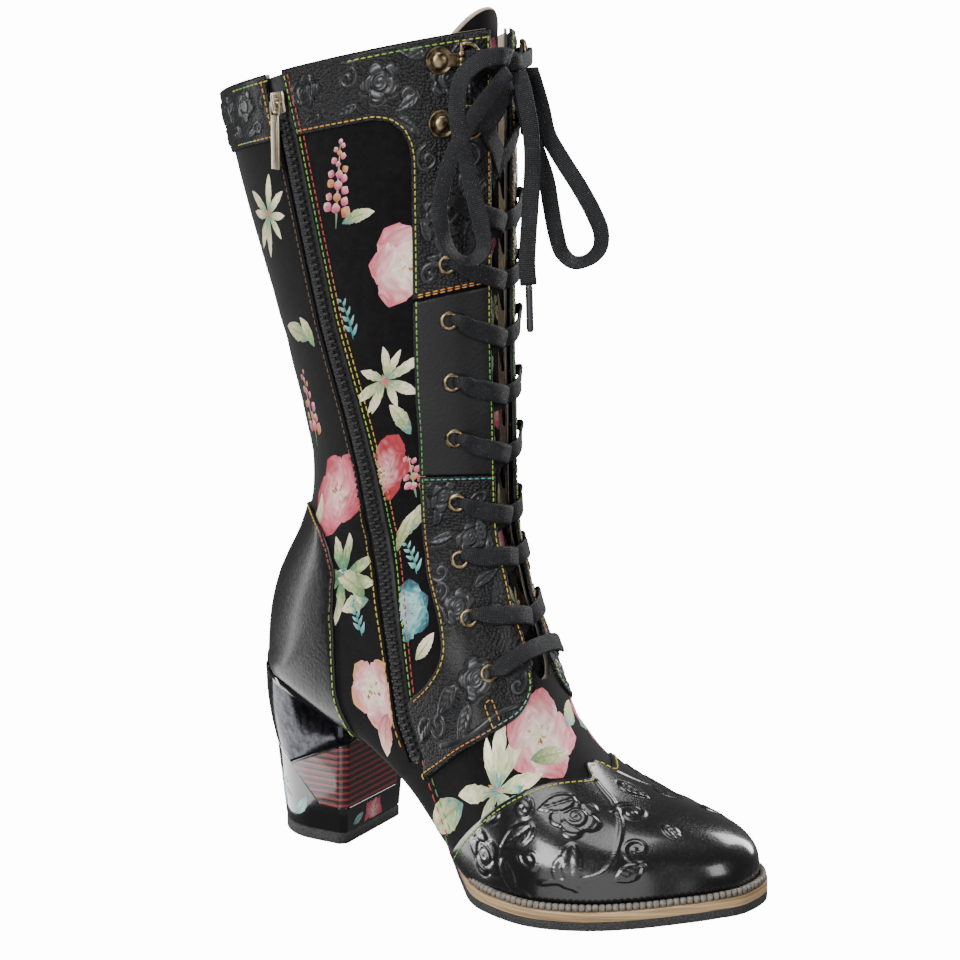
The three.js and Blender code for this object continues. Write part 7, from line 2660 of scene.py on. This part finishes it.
class TonguePrint(Print):
    """Lies on the tongue's face."""

    def lay(self, px, py, lift):
        return on_chart(px, py, TONGUE_FACE + 0.42 + lift)

    def allowed(self, px, py):
        return (np.abs(px) < TONGUE_HALF - 1.6) & (chart.station(py) < TONGUE_TOP - 0.25)


def print_tongue():
    art = TonguePrint(5)
    for k, station in enumerate((28.5, 27.7, 26.9, 26.0, 25.0, 24.0, 22.8, 21.3, 19.0, 15.6, 12.8)):
        x, y = on_side(station, (-1) ** k * 2.5)
        if k % 3 == 0:
            art.bloom(x, y, 9.5, 50 * k, colors=(BLUSH, PINK, ROSE, PLUM))
        elif k % 3 == 1:
            art.star(x, y, 10, 30 * k)
        else:
            art.frond(x, y - 7, 16, 80, 5.5)
    art.build.make("print_tongue", foil, "suede", smooth=True)


class HeelPrint(Print):
    """Lies on the heel's wall: x is minus the distance round it, y is the height."""

    def lay(self, px, py, lift):
        return on_heel(-px, py, lift * 0.6)

    def allowed(self, px, py):
        places = np.stack([-px, py], axis=-1)
        panel = np.array(PANEL, float)
        on_panel = inside_outline(places, panel) | (outline_gap(places, panel) < 1.2)
        return (py > HEEL_FLOOR + 0.5) & (py < 36) & ~on_panel


def print_heel():
    art = HeelPrint(12)
    art.star(-38, 22, 9, 20, 7, (TEAL, MIST, STEEL, MIST))
    art.frond(-27, 10, 13, 40, 4.5, (TEAL, MIST, STEEL))
    art.bloom(27, 9, 8.5, 60, colors=(BLUSH, PINK, ROSE, ROSE))
    art.petal(31, 24, 250, 15, 5, (PINK, ROSE, BLUSH), stripe=0.1)
    art.frond(8, 8, 10, 10, 3.6, (TEAL, MIST, STEEL))
    art.bloom(-58, 24, 9, 10, colors=(BLUSH, PINK, RED, PLUM))
    art.frond(-68, 12, 14, 60, 4.5)
    art.star(-88, 22, 9, 70, 7)
    art.spike(-106, 9, 18, 88, 6)
    art.build.make("print_heel", foil, "suede", smooth=True)


print_medial()
print_lateral()
print_tongue()
print_heel()
print("print laid")

# %% [markdown]
# Stitches: every row is a line of short thread capsules that dip into the leather at their ends, and the
# space-dyed thread changes colour along the row.

# %%
YELLOW, LIME, LEAF, ORANGE, AMBER = "d9c32a", "a6cf2c", "4fae3a", "e08a1e", "f0a53a"
CYAN, SCARLET, BROWN = "3fb3b0", "c62f2f", "5d4022"
THREAD_RADIUS = 0.27
# One stitch along its length, as (share, height, thickness) rows
STITCH = np.transpose([
    (0, -0.16, 0.35), (0.14, 0.12, 0.95), (0.5, 0.16, 1.05), (0.86, 0.12, 0.95), (1, -0.16, 0.35),
])


def stitch_row(build, line, colors, lift, pitch=2.75, length=2.15, relief=None, cycle=None):
    """Stitches along a chart line. The colours run once along it, or repeat after each cycle."""
    line = np.asarray(line, float)
    run = run_along(line)
    if run[-1] < pitch:
        return
    count = int(run[-1] / pitch)
    starts = (np.arange(count) + 0.15) * (run[-1] / count)
    at = starts[:, None] + STITCH[0] * length
    x, y = np.interp(at, run, line[:, 0]), np.interp(at, run, line[:, 1])
    height = np.zeros(at.shape) + lift + STITCH[1]
    if relief:
        height += np.maximum(relief.read(-np.abs(x), y), 0)
    station, share = chart.place(x, y)
    centre = on_skin(station, share, height)
    out = skin.normal(station, share)
    across = np.cross(unit(centre[:, -1:] - centre[:, :1]), out)
    angle = np.linspace(0, 2 * math.pi, 6, endpoint=False)[:, None]
    spokes = across[:, :, None] * np.cos(angle) + out[:, :, None] * np.sin(angle)
    ring = centre[:, :, None] + THREAD_RADIUS * STITCH[2][None, :, None, None] * spokes
    stops = np.array([rgb(color) for color in colors])
    if cycle:
        f = (starts / cycle) % 1.0
        stops = np.vstack([stops, stops[:1]])
    else:
        f = starts / run[-1]
    paint = np.stack([np.interp(f, np.linspace(0, 1, len(stops)), stops[:, k]) for k in range(4)], axis=-1)
    patch = grid_faces(5, 6, closed=True) + [list(range(6))[::-1], [24 + k for k in range(6)]]
    faces = [[k * 30 + n for n in face] for k in range(count) for face in patch]
    build.add(ring.reshape(-1, 3), faces, paint=np.repeat(paint, 30, axis=0))


def inset_line(outline, inset, first, last):
    """The part of an outline between two chart places, moved inward."""
    outline = resample(np.asarray(outline, float), 0.8, closed=True)
    tangent = unit(np.roll(outline, -1, axis=0) - np.roll(outline, 1, axis=0))
    area = np.sum(outline[:, 0] * np.roll(outline[:, 1], -1) - np.roll(outline[:, 0], -1) * outline[:, 1])
    inward = np.stack([-tangent[:, 1], tangent[:, 0]], axis=1) * np.sign(area)
    start = int(np.argmin(np.hypot(*(outline - first).T)))
    end = int(np.argmin(np.hypot(*(outline - last).T)))
    forward = (end - start) % len(outline)
    order = (start + np.arange(forward + 1)) % len(outline)
    if forward > len(outline) / 2:
        order = (start - np.arange(len(outline) - forward + 1)) % len(outline)
    line = outline[order] + inward[order] * inset
    for _ in range(3):
        line[1:-1] = (line[:-2] + line[1:-1] * 2 + line[2:]) / 4
    return line


def chart_line(distance, stations):
    """Chart line at one distance, or at one distance for each station."""
    return np.stack([np.broadcast_to(distance, stations.shape), chart.y(stations)], axis=1)


ON_PANEL = OVERLAY + 0.02
ON_SUEDE = 0.05
SEAM_INSET = 1.5
TOP_ROW = COLLAR - 0.13
# The point of the back cuff's outline where its two rows end
CUFF_ROW_END = 17


def facing_stitches(seams, side):
    upper, lower = upper_outline(side), lower_outline(side)
    corner = chart.spot(side * EYESTAY_WIDTH, ORANGE_SEAM + 0.1)
    cuff_end = chart.spot(side * zip_reach(CUFF_SEAM, side, 5.4), CUFF_SEAM)
    edge = inset_line(upper, SEAM_INSET, cuff_end, corner)
    stitch_row(seams, edge, (ORANGE, YELLOW, YELLOW, LIME), ON_PANEL)
    middle = chart_line(side * (EYESTAY_WIDTH - SEAM_INSET), np.linspace(ORANGE_SEAM, CYAN_BACK, 60))
    stitch_row(seams, middle, (LIME, LEAF, GREEN, LEAF), ON_PANEL)
    low_start = chart.spot(side * EYESTAY_WIDTH, CYAN_BACK - 0.1)
    low_edge = inset_line(lower, SEAM_INSET, low_start, chart.spot(side * 64, 12.1))
    stitch_row(seams, low_edge, (LEAF, ORANGE, YELLOW, ORANGE), ON_PANEL)
    strap = inset_line(lower, SEAM_INSET, lower[0], share_line(STRAP_LOW[-1:], side)[0])
    stitch_row(seams, strap, (LIME, CYAN, ORANGE, ORANGE, YELLOW), ON_PANEL)
    front = chart_line(side * (FRONT_EDGE + SEAM_INSET), np.linspace(11.4, COLLAR - 0.1, 260))
    stitch_row(seams, front, (ORANGE, YELLOW, LIME, LEAF, YELLOW, ORANGE, LIME), ON_PANEL)

    top = [chart.spot(side * d, TOP_ROW) for d in np.linspace(FRONT_EDGE + SEAM_INSET, 66, 60)]
    if side < 0:
        top = [place for place in top if place[0] > zip_x(COLLAR - 0.1) + 8]
    stitch_row(seams, top, (YELLOW, LIME, LEAF, LIME, YELLOW, ORANGE), ON_PANEL, cycle=90)

    reach = np.linspace(FRONT_EDGE + 1.5, EYESTAY_WIDTH - 1.8, 30)
    back = (reach - FRONT_EDGE) / (EYESTAY_WIDTH - FRONT_EDGE)
    for first, last, rise, colors in (
        (CYAN_FRONT, CYAN_BACK, -1.4, (CYAN, CYAN, LEAF)),
        (ORANGE_SEAM, ORANGE_SEAM, 1.1, (ORANGE, ORANGE, AMBER)),
        (ORANGE_SEAM, ORANGE_SEAM, 2.1, (ORANGE, ORANGE, AMBER)),
    ):
        seam = chart_line(side * reach, first + (last - first) * back)
        stitch_row(seams, seam + [0, rise], colors, ON_PANEL)

    u = np.linspace(0, 1, 24)
    bow = (u - 0.5) / 0.1 * math.pi / 2
    loop_x = 30.5 + 1.9 * np.where(u < 0.4, -1, np.where(u > 0.6, 1, np.sin(bow)))
    loop_y = np.where(u < 0.4, u / 0.4, np.where(u > 0.6, (1 - u) / 0.4, 1 + 0.16 * np.cos(bow)))
    loop = np.stack([side * loop_x, chart.y(10.2) + 2.6 + 8.5 * loop_y], axis=1)
    stitch_row(seams, loop, (ORANGE, YELLOW), ON_PANEL, pitch=2.4, length=1.9, relief=facing_relief)


def zip_stitches(seams):
    leg = np.linspace(11.5, CUFF_SEAM - 0.02, 220)
    for gap, colors in (
        (6.6, (LEAF, LIME, LEAF, LIME, YELLOW, LEAF, LIME)),
        (8.8, (SCARLET, SCARLET, ORANGE, YELLOW, SCARLET, SCARLET)),
        (-6.6, (ORANGE, YELLOW, BROWN, BROWN, BROWN, BROWN)),
    ):
        stitch_row(seams, chart_line(zip_x(leg) + gap, leg), colors, ON_SUEDE)
    high = np.linspace(CUFF_SEAM, COLLAR - 0.1, 30)
    for gap, colors, relief in (
        (6.9, (LEAF, LIME), None),
        (8.9, (SCARLET, SCARLET), facing_relief),
        (-6.9, (YELLOW, ORANGE), None),
    ):
        stitch_row(seams, chart_line(zip_x(high) + gap, high), colors, ON_PANEL, relief=relief)
    low = np.linspace(9.9, 11.1, 20)
    for gap, lean, colors in ((6.5, 6.0, (LEAF, BROWN)), (4.0, 7.0, (SCARLET, SCARLET))):
        stitch_row(seams, chart_line(zip_x(11.2) + gap - (11.2 - low) * lean, low), colors, ON_SUEDE)


def cuff_stitches(seams):
    """Two short rows on the back cuff, beside the zip."""
    outline = cuff_outline()
    near, far = outline[0], outline[CUFF_ROW_END]
    base = np.array([chart.spot(x, CUFF_SEAM) for x in np.linspace(near[0] - 2, far[0] + 3, 160)])
    crest = [chart.spot(x, TOP_ROW) for x in np.linspace(near[0] - 4, far[0] + 3, 160)]
    stitch_row(seams, base + [0, 1.5], (ORANGE, ORANGE, YELLOW, CYAN, LIME, ORANGE), ON_PANEL)
    stitch_row(seams, crest, (YELLOW, LIME, LEAF, YELLOW), ON_PANEL)


def cap_stitches(seams, side):
    """Along the toe cap's edge and the counter's, on one side."""
    picked = CAP_SHARES * side > 0
    edge = [(station - 0.16, abs(share)) for share, station in zip(CAP_SHARES[picked], CAP_STATIONS[picked])]
    edge.sort(key=lambda pair: pair[1] * skin.girth_at(pair[0], side))
    stitch_row(seams, share_line(edge, side), (YELLOW, YELLOW, LIME, LIME, LEAF), ON_PANEL)
    line = [pair for pair in counter_curve if pair[1] <= 0.985]
    ahead = np.array(share_line(line, side)) + [side * 1.5, 0]
    stitch_row(seams, ahead, (LIME, LIME, BROWN, SCARLET, YELLOW, LIME), ON_PANEL)


def make_stitches():
    seams = Build()
    for side in (-1, 1):
        facing_stitches(seams, side)
    zip_stitches(seams)
    cuff_stitches(seams)
    for side in (-1, 1):
        cap_stitches(seams, side)
    seams.make("seam_threads", thread, "cord")


make_stitches()
print("stitches sewn")

# %% [markdown]
# Light: a white studio. The camera sees plain white, and large soft boxes model the leather.

# %%
SKY_STRENGTH = 0.12
BACKDROP_STRENGTH = 14.0


def soft_box(name, place, target, width, height, power):
    data = bpy.data.lights.new(name, "AREA")
    data.shape = "RECTANGLE"
    data.size = width
    data.size_y = height
    data.energy = power
    light = bpy.data.objects.new(name, data)
    bpy.context.scene.collection.objects.link(light)
    light.location = place
    light.rotation_euler = (Vector(target) - Vector(place)).to_track_quat("-Z", "Y").to_euler()
    light.visible_camera = False


def make_world():
    world = bpy.data.worlds.new("studio")
    world.use_nodes = True
    tree = world.node_tree
    background = tree.nodes["Background"]
    background.inputs["Color"].default_value = (1, 1, 1, 1)
    background.inputs["Strength"].default_value = SKY_STRENGTH
    white = tree.nodes.new("ShaderNodeBackground")
    white.inputs["Color"].default_value = (1, 1, 1, 1)
    white.inputs["Strength"].default_value = BACKDROP_STRENGTH
    mix = tree.nodes.new("ShaderNodeMixShader")
    path = tree.nodes.new("ShaderNodeLightPath")
    tree.links.new(path.outputs["Is Camera Ray"], mix.inputs["Fac"])
    tree.links.new(background.outputs[0], mix.inputs[1])
    tree.links.new(white.outputs[0], mix.inputs[2])
    tree.links.new(mix.outputs[0], tree.nodes["World Output"].inputs["Surface"])
    bpy.context.scene.world = world


MIDDLE = (0, -0.07, 0.17)
soft_box("key", (-1.1, -0.15, 0.75), MIDDLE, 0.5, 0.8, 15)
soft_box("front", (-0.25, -1.25, 0.5), MIDDLE, 0.4, 0.7, 4.6)
soft_box("rim", (0.9, -0.35, 0.55), MIDDLE, 0.3, 1.0, 10)
soft_box("top", (-0.1, -0.1, 1.2), MIDDLE, 0.6, 0.6, 5)
soft_box("heel_strip", (-0.42, 0.95, 0.22), (0.0, 0.0, 0.05), 0.14, 0.8, 4)
soft_box("table", (-0.5, -0.3, 0.005), (-0.12, -0.02, 0.16), 0.6, 0.6, 1.4)
soft_box("floor_card", (-0.08, 0.13, 0.002), (-0.05, 0.07, 0.2), 0.16, 0.16, 0.35)
make_world()

# %%
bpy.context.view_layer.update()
meshes = [piece.data for piece in bpy.context.scene.objects if piece.type == "MESH"]
print("pieces", len(meshes), "triangles", sum(len(mesh.loop_triangles) for mesh in meshes))
